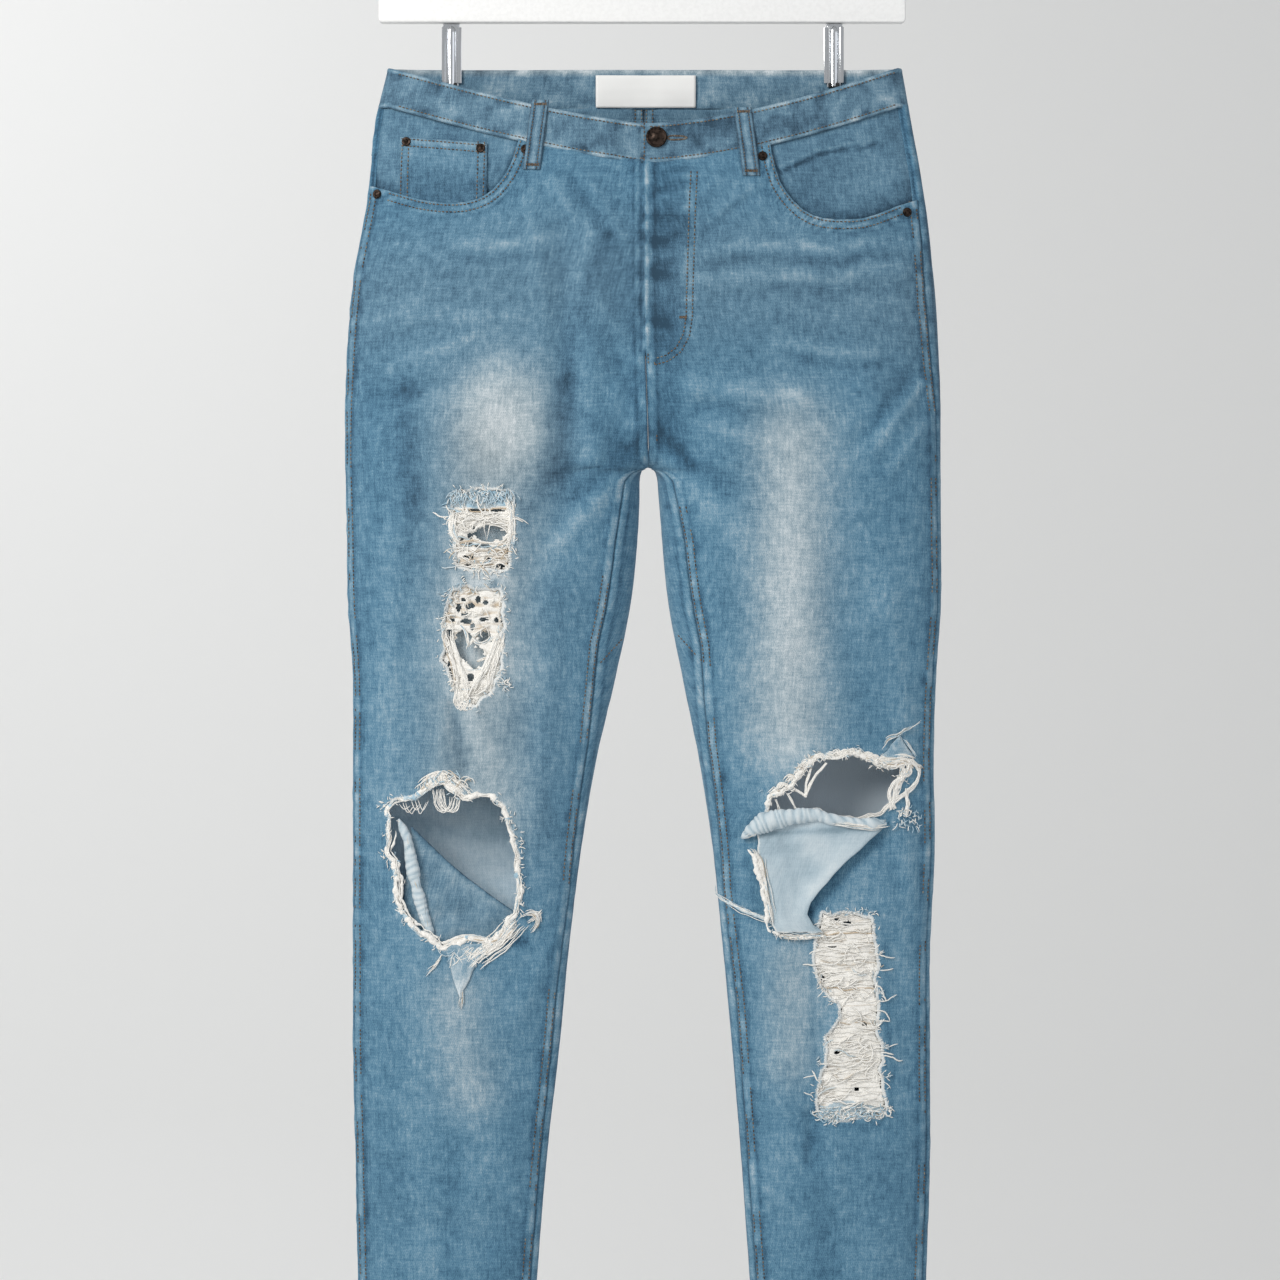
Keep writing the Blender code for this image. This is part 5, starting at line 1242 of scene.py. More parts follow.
# Rivets: one turned head on every point, turned to face out of the cloth
rivetHead = turned("rivetHead", rivetProfile, (0, 0, 0), (0, 0, 1), [agedCopper], 16)
tree, start, end = geometryTree("rivetsOnPoints", [("Head", "NodeSocketObject"), ("Metal", "NodeSocketMaterial")])
head = addNode(tree, "GeometryNodeObjectInfo", {"Object": start.outputs["Head"]})
out = addNode(tree, "GeometryNodeInputNamedAttribute", data_type="FLOAT_VECTOR", values={"Name": "outward"})
turn = addNode(tree, "FunctionNodeAlignRotationToVector", {"Vector": out.outputs[0]}, axis="Z")
placed = addNode(tree, "GeometryNodeInstanceOnPoints", {"Points": start.outputs["Geometry"],
                 "Instance": head.outputs["Geometry"], "Rotation": turn.outputs[0]})
real = addNode(tree, "GeometryNodeRealizeInstances", {"Geometry": placed.outputs[0]})
coat = addNode(tree, "GeometryNodeSetMaterial", {"Geometry": real.outputs[0], "Material": start.outputs["Metal"]})
tree.links.new(coat.outputs[0], end.inputs[0])

xs, drops = np.array(rivetPlaces, float).T
spots, outward = onCloth(xs, drops)
lifts = np.array([0.2, 0.2, 1.0, 1.6, 1.0, 1.6])
rivets = newMesh("pocketRivets", world(spots + outward * lifts[:, None]), [], [agedCopper], smoothFaces=False)
giveAttribute(rivets, "outward", outward)
grow(rivets, tree, Head=rivetHead, Metal=agedCopper)
bpy.data.objects.remove(rivetHead)
finish(rivets, rivetNodes)

board = {"width": 426.0, "height": 30.0, "thick": 12.0, "x": -1.5, "bottom": -36.8, "corner": 3.2, "bevel": 1.2}


def aboveCloth(points):
    # Points of the hanger in mm, from its middle and the cloth's level, to the frame's metres.
    return (np.asarray(points, float) - np.array([0, 0, hang["waistBelowHook"]])) * mm


def hangerBoard():
    # A flat board with rounded corners and softened edges.
    half, low = board["width"] / 2, -board["bottom"]
    outline = []
    for cx, cz, start in ((1, 1, 0), (-1, 1, 90), (-1, 0, 180), (1, 0, 270)):
        for k in range(7):
            a = math.radians(start + 15 * k)
            outline.append((board["x"] + cx * (half - board["corner"]) + board["corner"] * math.cos(a),
                            low + cz * board["height"] + (1 - 2 * cz) * board["corner"]
                            + board["corner"] * math.sin(a)))
    count, y = len(outline), board["thick"] / 2
    points = aboveCloth([(x, -y, z) for x, z in outline] + [(x, y, z) for x, z in outline])
    faces = [tuple(range(count)), tuple(reversed(range(count, 2 * count)))]
    faces += [(k, (k + 1) % count, count + (k + 1) % count, count + k) for k in range(count)]
    obj = newMesh("hangerBoard", points, faces, [paintedBoard])
    work = bmesh.new()
    work.from_mesh(obj.data)
    bmesh.ops.recalc_face_normals(work, faces=work.faces)
    work.to_mesh(obj.data)
    work.free()
    soften = obj.modifiers.new("softEdges", "BEVEL")
    soften.width = board["bevel"] * mm
    soften.segments = 3
    bake(obj)
    obj.data.set_sharp_from_angle(angle=math.radians(50))
    return finish(obj, ["hanger_board"])


hangerBoard()

# Chromed wire, clips and rubber feet
hook = {"wire": 2.0, "inner": 20.0, "stem": [(0.0, 0.4), (0.0, 8.0), (1.5, 15.0)], "start": -58.0, "step": 14.2,
        "steps": 19}


def wirePiece(name, points, radius, sides=16):
    # A round wire along smooth points in the frame's metres, closed at both ends.
    data = bpy.data.curves.new(name, "CURVE")
    data.dimensions = "3D"
    spline = data.splines.new("POLY")
    spline.points.add(len(points) - 1)
    for target, spot in zip(spline.points, points):
        target.co = (*[float(v) for v in spot], 1)
    data.bevel_depth = radius * mm
    data.bevel_resolution = sides // 4
    data.use_fill_caps = True
    curve = bpy.data.objects.new(name + "_line", data)
    bpy.context.scene.collection.objects.link(curve)
    graph = bpy.context.evaluated_depsgraph_get()
    mesh = bpy.data.meshes.new_from_object(curve.evaluated_get(graph))
    bpy.data.objects.remove(curve)
    mesh.materials.clear()
    mesh.materials.append(chromePlate)
    mesh.shade_smooth()
    obj = bpy.data.objects.new(name, mesh)
    bpy.context.scene.collection.objects.link(obj)
    return obj


ring = hook["inner"] + hook["wire"]
foot = -board["bottom"] + board["height"]
coarse = [(x, 0, foot + height) for x, height in hook["stem"]]
for step in range(hook["steps"]):
    a = math.radians(hook["start"] + hook["step"] * step)
    coarse.append((ring * math.cos(a), 0, hang["waistBelowHook"] - hook["inner"] + ring * math.sin(a)))
coarse = np.array(coarse)
steps = np.linspace(0, len(coarse) - 1, 150)
fine = np.stack([np.interp(steps, np.arange(len(coarse)), coarse[:, k]) for k in range(3)], -1)
for _ in range(6):
    fine[1:-1] = fine[1:-1] * 0.5 + (fine[:-2] + fine[2:]) * 0.25
finish(wirePiece("hangerHook", aboveCloth(fine), hook["wire"]), ["hanger_hook"])

clip = {"width": 16.0, "top": 36.4, "end": -15.0, "plate": 1.4, "gap": 3.4, "rib": 7.2, "ribOut": 2.4, "clear": 0.2}
clips = {"right": (-156.0, "hanger_clip_right", "clip_right_foot"), "left": (154.0, "hanger_clip_left",
        "clip_left_foot")}


def boxPart(work, low, high, bevel=0.5):
    # A softened box between two corners.
    made = bmesh.ops.create_cube(work, size=1.0)["verts"]
    for v in made:
        v.co = Vector([low[k] if v.co[k] < 0 else high[k] for k in range(3)])
    edges = list({e for v in made for e in v.link_edges})
    made = bmesh.ops.bevel(work, geom=edges, offset=bevel, segments=2, profile=0.6, affect="EDGES")["verts"]
    return made


def clipPiece(word, x, nodes):
    # Two sprung plates joined over the top, with a raised middle rib and turned side flanges on the front.
    (spot, normal) = onCloth(x, 14.0, False)
    middle = spot + normal * (band["outer"] - band["thick"] / 2)
    lean = math.atan2(-normal[0], normal[1])
    half, gap, plate = clip["width"] / 2, clip["gap"] / 2, clip["plate"]
    top, end = clip["top"], clip["end"]
    turn = Matrix.Rotation(lean, 3, "Z")
    shift = Vector((x, middle[1] + hang["middleY"], -hang["waistBelowHook"]))
    work = bmesh.new()
    front = -gap - plate
    boxes = [
        ((-half + 1.2, gap, end), (half - 1.2, gap + plate, top), 0.4),
        ((-half + 1.2, front, top - 2.2), (half - 1.2, gap + plate, top), 0.8),
        ((-half, front - 0.9, end + 3), (-half + 3.0, front + plate - 0.3, top - 3.0), 0.4),
        ((half - 3.2, front - 0.9, end + 3), (half, front + plate - 0.3, top - 3.0), 0.4),
        ((-half + 2.4, front + 0.2, end), (half - 2.4, front + plate, top - 1.2), 0.3),
    ]
    for low, high, bevel in boxes:
        boxPart(work, low, high, bevel)
    # the rib is half round and ends in a rounded top
    rows = []
    for k in range(33):
        share = k / 32
        z = end + 0.6 + (top - 2.0 - end - 0.6) * share
        taper = math.sqrt(max(1 - max((share - 0.88) / 0.12, 0) ** 2, 0.02)) * (1 - 0.12 * (1 - share))
        rows.append([work.verts.new((clip["rib"] / 2 * taper * math.cos(a), front + 0.4 - clip["ribOut"] * taper
                                     * math.sin(a), z)) for a in np.linspace(0, pi, 11)])
    for a, b in zip(rows, rows[1:]):
        for k in range(10):
            work.faces.new((a[k], a[k + 1], b[k + 1], b[k]))
    work.faces.new(rows[-1])
    work.faces.new(rows[0])
    for v in work.verts:
        v.co = (turn @ v.co + shift) * mm
    bmesh.ops.recalc_face_normals(work, faces=work.faces)
    mesh = bpy.data.meshes.new(f"hangerClip_{word}")
    work.to_mesh(mesh)
    work.free()
    mesh.materials.append(chromePlate)
    mesh.shade_smooth()
    mesh.set_sharp_from_angle(angle=math.radians(35))
    obj = bpy.data.objects.new(f"hangerClip_{word}", mesh)
    bpy.context.scene.collection.objects.link(obj)
    finish(obj, nodes[:1])
    work = bmesh.new()
    boxPart(work, (-4.6, front - 1.5, end - 0.6), (4.6, -0.5 * gap - 0.2, end + 3.4), 0.9)
    for v in work.verts:
        v.co = (turn @ v.co + shift) * mm
    mesh = bpy.data.meshes.new(f"clipFoot_{word}")
    work.to_mesh(mesh)
    work.free()
    mesh.materials.append(rubberFoot)
    mesh.shade_smooth()
    mesh.set_sharp_from_angle(angle=math.radians(35))
    obj = bpy.data.objects.new(f"clipFoot_{word}", mesh)
    bpy.context.scene.collection.objects.link(obj)
    finish(obj, nodes[1:])


for word, (x, *nodes) in clips.items():
    clipPiece(word, x, nodes)
print("hanger made")

# Stitching: one small bead of thread on every stitch, laid on the cloth

tree, start, end = geometryTree("stitchRows", [
    ("Cloth", "NodeSocketObject"), ("Pitch", "NodeSocketFloat"), ("Size", "NodeSocketVector"),
    ("Lift", "NodeSocketFloat"), ("Thread", "NodeSocketMaterial")])
stitchTree = tree
under = addNode(tree, "GeometryNodeObjectInfo", {"Object": start.outputs["Cloth"]}).outputs["Geometry"]
rows = addNode(tree, "GeometryNodeMeshToCurve", {"Mesh": start.outputs["Geometry"]})
dots = addNode(tree, "GeometryNodeCurveToPoints", {"Curve": rows.outputs[0], "Length": start.outputs["Pitch"]},
               mode="LENGTH")
close = addNode(tree, "GeometryNodeProximity", {"Target": under}, target_element="FACES")
outside = addNode(tree, "GeometryNodeSampleNearestSurface", {"Mesh": under}, data_type="FLOAT_VECTOR")
tree.links.new(addNode(tree, "GeometryNodeInputNormal").outputs[0], outside.inputs["Value"])
raised = addNode(tree, "ShaderNodeVectorMath", {0: outside.outputs["Value"], "Scale": start.outputs["Lift"]},
                 operation="SCALE")
laid = addNode(tree, "GeometryNodeSetPosition", {"Geometry": dots.outputs["Points"],
               "Position": close.outputs["Position"], "Offset": raised.outputs[0]})
upright = addNode(tree, "FunctionNodeAlignRotationToVector", {"Vector": outside.outputs["Value"]}, axis="Z")
aligned = addNode(tree, "FunctionNodeAlignRotationToVector",
                  {"Rotation": upright.outputs[0], "Vector": dots.outputs["Tangent"]}, axis="X", pivot_axis="Z")
bead = addNode(tree, "GeometryNodeMeshUVSphere", values={"Segments": 5, "Rings": 3, "Radius": 1.0})
sewn = addNode(tree, "GeometryNodeInstanceOnPoints", {"Points": laid.outputs[0], "Instance": bead.outputs["Mesh"],
               "Rotation": aligned.outputs[0], "Scale": start.outputs["Size"]})
chance = addNode(tree, "FunctionNodeRandomValue", data_type="FLOAT")
tone = addNode(tree, "GeometryNodeStoreNamedAttribute", {"Geometry": sewn.outputs[0], "Value": chance.outputs[1]},
               {"Name": "tint"}, data_type="FLOAT", domain="INSTANCE")
real = addNode(tree, "GeometryNodeRealizeInstances", {"Geometry": tone.outputs[0]})
coat = addNode(tree, "GeometryNodeSetMaterial", {"Geometry": real.outputs[0], "Material": start.outputs["Thread"]})
tree.links.new(coat.outputs[0], end.inputs[0])

stitch = {"pitch": 3.1, "size": (1.35, 0.6, 0.5), "lift": 0.3}


def polylines(name, lines, material):
    # A mesh of open edges through each line of points.
    points, edges = [], []
    for line in lines:
        first = len(points)
        points += [tuple(p) for p in line]
        edges += [(k, k + 1) for k in range(first, len(points) - 1)]
    mesh = bpy.data.meshes.new(name)
    mesh.from_pydata(points, edges, [])
    mesh.materials.append(material)
    obj = bpy.data.objects.new(name, mesh)
    bpy.context.scene.collection.objects.link(obj)
    return obj


def sew(name, lines, onto, pitch=stitch["pitch"], size=stitch["size"]):
    obj = polylines(name, lines, seamThread)
    grow(obj, stitchTree, Cloth=onto, Pitch=pitch * mm, Size=[v * mm for v in size], Lift=stitch["lift"] * mm,
         Thread=seamThread)
    obj.data.shade_smooth()
    return finish(obj)


def alongSeam(key, last, gap, low=-99, high=1e4):
    # A line on a panel at this distance in from its first or last long edge, between two drops.
    angle, drop, fromFirst, fromLast = panels[key][1]
    gaps = fromLast if last else fromFirst
    line = []
    for a, d, g in zip(angle, drop, gaps):
        order = np.argsort(g)
        spotDrop = float(np.interp(gap, g[order], d[order]))
        if low <= spotDrop <= high:
            line.append(surface(key[1], float(np.interp(gap, g[order], a[order])), spotDrop))
    return world(np.array(line))


def onFlat(places, front=True, lift=0.0, step=1.5):
    # A line through places on the cloth, with a point at every step.
    places = np.asarray(places, float)
    length = np.concatenate([[0], np.cumsum(np.linalg.norm(np.diff(places, axis=0), axis=1))])
    at = np.linspace(0, length[-1], max(int(length[-1] / step), 2))
    return offCloth(np.interp(at, length, places[:, 0]), np.interp(at, length, places[:, 1]), lift, front)


def inwards(edge, gap):
    # An open line of places moved sideways, to its left as it runs.
    run = np.gradient(edge, axis=0)
    run /= np.linalg.norm(run, axis=1, keepdims=True)
    return edge + gap * np.stack([run[:, 1], -run[:, 0]], -1)


def bartack(x, drop, wide, tall, front=True):
    # A dense zigzag that locks a corner.
    count = 9
    return onFlat([(x + wide * (0.5 - k % 2), drop + tall * (k / (count - 1) - 0.5)) for k in range(count)], front,
                  step=0.8)


jStitch = [(37.5, 88), (36, 118), (35, 150), (34, 180), (33.5, 204), (31.5, 218), (26, 229), (17, 235.5), (8, 238)]
for side, word in ((-1, "right"), (1, "left")):
    lines = [alongSeam(("front", side), False, gap, low=cloth["crotch"] + 14) for gap in (1.7, 7.0)]
    lines += [alongSeam(("front", side), True, gap, low=edgeAt(side, side * 216)) for gap in (1.7, 7.0)]
    for gap in (1.8, 7.2):
        moved = inwards(pocketEdge[side], -side * gap)
        lines.append(onFlat(moved[(np.abs(moved[:, 0]) < 212)]))
    lines.append(world(surface(side, np.linspace(inseamAngle(side, 1120.0), outseamAngle(side, 1120.0), 90), 1120.5)))
    if side > 0:
        lines.append(alongSeam(("front", 1), False, 1.8, low=84, high=cloth["crotch"] - 16))
        lines.append(alongSeam(("front", 1), False, 6.6, low=240, high=cloth["crotch"] - 14))
        lines += [onFlat(jStitch), onFlat(inwards(np.array(jStitch), 5.0))]
    sew(f"frontStitches_{word}", lines, panels["front", side][0])
    lines = [alongSeam(("yoke", side), True, gap) for gap in (1.8, 7.0)]
    xs = side * np.linspace(4, 200, 90)
    lines += [offCloth(xs, yokeBottom(xs) - gap, 0, False) for gap in (1.8, 7.0)]
    sew(f"yokeStitches_{word}", lines, panels["yoke", side][0])
    fromAngle, toAngle = float(outseamAngle(side, 1120.0)), 2 * pi + float(inseamAngle(side, 1120.0))
    lines = [world(surface(side, np.linspace(fromAngle, toAngle, 120), 1120.5))]
    lines += [alongSeam(("back", side), True, gap, high=cloth["crotch"] - 16) for gap in (1.8, 7.0)]
    # the pieced corner of the back panel at the inner thigh
    x0, x1 = (-34.4, -18.4) if side < 0 else (28.0, 45.6)
    lines.append(onFlat([(x0, 480 if side < 0 else 459.2), (x1, 462.4 if side < 0 else 478.4)]))
    sew(f"backStitches_{word}", lines, panels["back", side][0])
    p = backPocket
    corners = [(-1, 0), (-1, 1), (0, 1), (1, 1), (1, 0)]
    lines = []
    for gap in (1.8, 7.0):
        row = []
        for u, v in corners:
            half = (p["halfTop"] if v == 0 else p["halfBottom"]) - gap
            drop = p["top"] + 3 if v == 0 else p["corner"] + (p["point"] if u == 0 else 0) - gap
            row.append((side * (p["middle"] + u * half), drop))
        lines.append(onFlat(row, False, 3))
    lines.append(onFlat([(side * (p["middle"] - 70), p["top"] + 13), (side * (p["middle"] + 70), p["top"] + 13)],
            False, 3))
    sew(f"backPocketStitches_{word}", lines, backPockets[side])

lines = []
for level in (0.10, 0.90):
    for side in (-1, 1):
        for front in (True, False):
            reach = np.linspace(1.0 if front else 0, 196, 130)
            xs = side * reach + (band["middleX"] if front else 0) * (side > 0)
            drops = bandTop(xs, front) + band["height"] * level
            points, normals = onCloth(xs, drops, front)
            lines.append(world(points + normals * 0.8))
lines.append(onFlat([(0.2, 49), (0.2, 78)], lift=0.8))
sew("waistBandStitches", lines, bandPiece)
sides = [(coin["left"] + 1.8, coin["right"] - 1.8), (coin["left"] + 7, coin["right"] - 7)]
lines = [onFlat([(x, coin["leftDrop"] + 4), (x - 1, edgeAt(-1, x) - 1)]) for pair in sides for x in pair]
lines += [onFlat([(coin["left"] + 2, coin["leftDrop"] + gap), (coin["right"] - 2, coin["rightDrop"] + gap)])
          for gap in (1.8, 7.2)]
sew("coinStitches", lines, coinPiece)
for node, ((x0, drop0), (x1, drop1), front) in loops.items():
    lines = [onFlat([(x0 + g, drop0 + 1), (x1 + g, drop1 - 1)], front, 3) for g in (-3.9, 3.9)]
    for k in (0.06, 0.93):
        spot = (x0 + (x1 - x0) * k, drop0 + (drop1 - drop0) * k)
        lines.append(np.array(bartack(*spot, 9.5, 1.8, front)) + np.array([0, -0.003 if front else 0.003, 0]))
    sew(node.replace("_", "") + "Stitches", lines, loopPieces[node], pitch=2.4, size=(1.0, 0.42, 0.34))
tacks = [bartack(-103, 72, 1.8, 8), bartack(104, 78, 1.8, 8), bartack(3.2, 237, 6.5, 1.8), bartack(31, 205, 6, 1.6)]
for side, spots in ((-1, tacks[:1]), (1, tacks[1:])):
    sew("barTacks_" + ("right" if side < 0 else "left"), spots, panels["front", side][0], pitch=0.9,
        size=(0.55, 0.42, 0.34))
# the buttonhole: close stitches round a keyhole slit
turns = np.linspace(0, 2 * pi, 60)
hole = [(26.5 + 7.8 * math.cos(a), 60.3 + (1.5 + 0.7 * max(-math.cos(a), 0)) * math.sin(a)) for a in turns]
sew("buttonHoleStitches", [onFlat(hole, lift=0.8, step=0.5)], bandPiece, pitch=0.85, size=(0.5, 1.0, 0.4))
print("stitches made")

# Loose yarn: tubes with a thickness and tone for each point

tree, start, end = geometryTree("yarnTubes", [("Yarn", "NodeSocketMaterial"), ("Fuzz", "NodeSocketFloat")])
yarnTree = tree
rows = addNode(tree, "GeometryNodeMeshToCurve", {"Mesh": start.outputs["Geometry"]})
spot = addNode(tree, "GeometryNodeInputPosition")
noise = addNode(tree, "ShaderNodeTexNoise", {"Vector": spot.outputs[0]}, {"Scale": 420.0, "Detail": 1.0})
centred = addNode(tree, "ShaderNodeVectorMath", {0: noise.outputs["Color"]}, {1: (0.5, 0.5, 0.5)},
                  operation="SUBTRACT")
shift = addNode(tree, "ShaderNodeVectorMath", {0: centred.outputs[0], "Scale": start.outputs["Fuzz"]},
                operation="SCALE")
wavy = addNode(tree, "GeometryNodeSetPosition", {"Geometry": rows.outputs[0], "Offset": shift.outputs[0]})
thick = addNode(tree, "GeometryNodeInputNamedAttribute", values={"Name": "thickness"}, data_type="FLOAT")
ringShape = addNode(tree, "GeometryNodeCurvePrimitiveCircle", values={"Resolution": 4, "Radius": 1.0})
tube = addNode(tree, "GeometryNodeCurveToMesh", {"Curve": wavy.outputs[0], "Profile Curve": ringShape.outputs[0],
               "Scale": thick.outputs[0]}, {"Fill Caps": True})
coat = addNode(tree, "GeometryNodeSetMaterial", {"Geometry": tube.outputs[0], "Material": start.outputs["Yarn"]})
tree.links.new(coat.outputs[0], end.inputs[0])


class Yarn:
    # Strands of one rip. Each runs through rows of x, drop and lift in mm.

    def __init__(self, seed):
        self.strands = []
        self.random = random.Random(seed)

    def add(self, route, radius, tint, taper=True):
        self.strands.append((np.asarray(route, float), radius, tint, taper))

    def tone(self, blue=0.12, beige=0.15):
        pick = self.random.random()
        if pick < blue:
            return self.random.uniform(0.82, 1.0)
        if pick < blue + beige:
            return self.random.uniform(0.0, 0.3)
        return self.random.uniform(0.4, 0.72)

    def wave(self, at, size, height):
        # A smooth random line over distances along a strand.
        off = self.random.uniform(0, 600)
        return softNoise(at + off, at * 0 + off, size, 77) * height

    def path(self, places, radius, tint=None, lift=0.6, wander=0.5, liftWander=0.5, step=2.0, taper=True):
        # A strand through places, given as x, drop or as x, drop, lift.
        places = np.array([(*p, lift) if len(p) == 2 else p for p in places], float)
        length = np.concatenate([[0], np.cumsum(np.linalg.norm(np.diff(places[:, :2], axis=0), axis=1) + 0.01)])
        at = np.linspace(0, length[-1], max(int(length[-1] / step), 3))
        route = np.stack([np.interp(at, length, places[:, k]) for k in range(3)], -1)
        for _ in range(2):
            route[1:-1] = route[1:-1] * 0.5 + (route[:-2] + route[2:]) * 0.25
        route[:, 0] += self.wave(at, 6, wander)
        route[:, 1] += self.wave(at, 6, wander)
        route[:, 2] += self.wave(at, 5, liftWander)
        self.add(route, radius, self.tone() if tint is None else tint, taper)

    def bundle(self, places, count, spread, radius=(0.3, 0.5), lift=0.6, wander=0.9, blue=0.1, beige=0.2):
        # Strands that run together, each a little to one side and of its own length.
        places = np.array(places, float)
        for _ in range(count):
            first, last = self.random.uniform(0, 0.25), self.random.uniform(0.7, 1)
            at = np.linspace(first, last, 8) * (len(places) - 1)
            route = np.stack([np.interp(at, np.arange(len(places)), places[:, k]) for k in range(2)], -1)
            route += np.array([self.random.gauss(0, spread), self.random.gauss(0, spread)])
            self.path([(x, drop, lift + self.random.uniform(-0.8, 0.8)) for x, drop in route],
                      self.random.uniform(*radius), self.tone(blue, beige), wander=wander)

    def rim(self, outline, count, low, high, long=(14, 46), radius=(0.3, 0.55), lift=0.7, span=(0, 1), blue=0.12,
            beige=0.12):
        # Strands that run along a rip's edge, from low to high mm out from it.
        closed = np.concatenate([outline, outline[:1]])
        length = np.concatenate([[0], np.cumsum(np.linalg.norm(np.diff(closed, axis=0), axis=1))])
        total = length[-1]
        middle = outline.mean(axis=0)
        for _ in range(count):
            begin = self.random.uniform(span[0], span[1]) * total
            reach = self.random.uniform(*long)
            at = begin + np.arange(0, reach, 2.2)
            route = np.stack([np.interp(at % total, length, closed[:, k]) for k in range(2)], -1)
            run = np.gradient(route, axis=0)
            run /= np.linalg.norm(run, axis=1, keepdims=True) + 1e-9
            aside = np.stack([run[:, 1], -run[:, 0]], -1)
            aside *= np.sign(((route - middle) * aside).sum(axis=1).mean()) or 1
            gap = self.random.triangular(low, high, low + 0.35 * (high - low))
            route = route + aside * (gap + self.wave(at, 9, 1.3))[:, None]
            rise = lift + self.random.uniform(-0.5, 0.7) + self.wave(at, 6, 0.6)
            self.add(np.concatenate([route, rise[:, None]], axis=1), self.random.uniform(*radius),
                     self.tone(blue, beige))

    def hairs(self, outline, count, long, root=0.5, span=(0, 1), radius=(0.16, 0.3), blue=0.3, beige=0.05, out=0.3,
              lean=0.8, lift=0.6):
        # Short hairs that stand in to the rip from its edge, and a share of them out over the cloth.
        closed = np.concatenate([outline, outline[:1]])
        length = np.concatenate([[0], np.cumsum(np.linalg.norm(np.diff(closed, axis=0), axis=1))])
        middle = outline.mean(axis=0)
        for _ in range(count):
            at = self.random.uniform(*span) * length[-1] % length[-1]
            stand = np.array([np.interp(at, length, closed[:, k]) for k in range(2)])
            ahead = np.array([np.interp((at + 1) % length[-1], length, closed[:, k]) for k in range(2)])
            run = (ahead - stand) / (np.linalg.norm(ahead - stand) + 1e-9)
            aside = np.array([run[1], -run[0]])
            aside *= np.sign(np.dot(stand - middle, aside)) or 1
            way = aside if self.random.random() < out else -aside
            way = way + run * self.random.uniform(-lean, lean)
            reach = self.random.uniform(*long) * (0.5 if way @ aside > 0 else 1)
            base = stand + aside * self.random.uniform(0, root * 4)
            self.path([(*base, lift * 0.5), (*(base + way * reach * 0.5), lift + self.random.uniform(0, 0.8)),
                       (*(base + way * reach + run * self.random.uniform(-1.5, 1.5)), lift + self.random.uniform(-1,
                       0.5))],
                      self.random.uniform(*radius), self.tone(blue, beige), wander=0.3, step=1.4)

    def curl(self, x, drop, lift, way, long, bend, radius, tint, hump=0.8):
        # A strand that sets out in one direction and curls as it goes
        count = max(int(long / 1.2), 4)
        ways = way + bend * np.arange(count) + np.cumsum([self.random.gauss(0, 0.16) for _ in range(count)])
        share = np.linspace(0, 1, count)
        self.add(np.stack([x + 1.2 * np.cumsum(np.cos(ways)), drop + 1.2 * np.cumsum(np.sin(ways)),
                           lift + hump * np.sin(pi * share)], -1), radius, tint)

    def fluff(self, outline, count, low=-1.5, high=3.0, strands=7, long=(4, 10), radius=(0.24, 0.5), lift=0.5,
              span=(0, 1), blue=0.12, beige=0.06, size=1.3):
        # Tufts of short curled strands along an edge, from low to high mm out from it
        closed = np.concatenate([outline, outline[:1]])
        length = np.concatenate([[0], np.cumsum(np.linalg.norm(np.diff(closed, axis=0), axis=1))])
        middle = outline.mean(axis=0)
        for _ in range(count):
            at = self.random.uniform(*span) * length[-1] % length[-1]
            here, ahead = (np.array([np.interp((at + more) % length[-1], length, closed[:, k]) for k in range(2)])
                           for more in (0, 1.5))
            run = (ahead - here) / (np.linalg.norm(ahead - here) + 1e-9)
            aside = np.array([run[1], -run[0]])
            aside *= np.sign(np.dot(here - middle, aside)) or 1
            root = here + aside * self.random.uniform(low, high)
            for _ in range(strands):
                base = root + np.array([self.random.gauss(0, size), self.random.gauss(0, size)])
                along = math.atan2(run[1], run[0]) + self.random.choice((0, pi))
                self.curl(*base, lift + self.random.uniform(-0.6, 0.7), along + self.random.gauss(0, 0.9),
                          self.random.uniform(*long), self.random.uniform(-0.5, 0.5), self.random.uniform(*radius),
                          self.tone(blue, beige), self.random.uniform(0.2, 1.6))

    def tangle(self, outline, holes, count, lift, long=(7, 20), radius=(0.3, 0.6), blue=0.04, beige=0.12, tilt=0.5,
               bend=0.16, rows=None):
        # Strands lying every way over an area, but not over its holes
        low, high = outline.min(axis=0), outline.max(axis=0)
        for _ in range(count):
            x = self.random.uniform(low[0], high[0])
            drop = self.random.uniform(*(rows or (low[1], high[1])))
            if not isInside(np.array([x]), np.array([drop]), outline)[0]:
                continue
            reach = self.random.uniform(*long)
            way = self.random.choice((0, pi)) + self.random.gauss(0, tilt)
            ends = [(x + reach * part * math.cos(way), drop + reach * part * math.sin(way)) for part in (0.05, 0.5,
                    0.9)]
            if any(((px - cx) / rx) ** 2 + ((pd - cd) / rd) ** 2 < 1 for cx, cd, rx, rd in holes for px, pd in ends):
                continue
            self.curl(x, drop, lift + self.random.uniform(-0.5, 0.6), way, reach, self.random.uniform(-bend, bend),
                      self.random.uniform(*radius), self.tone(blue, beige), self.random.uniform(0, 0.9))

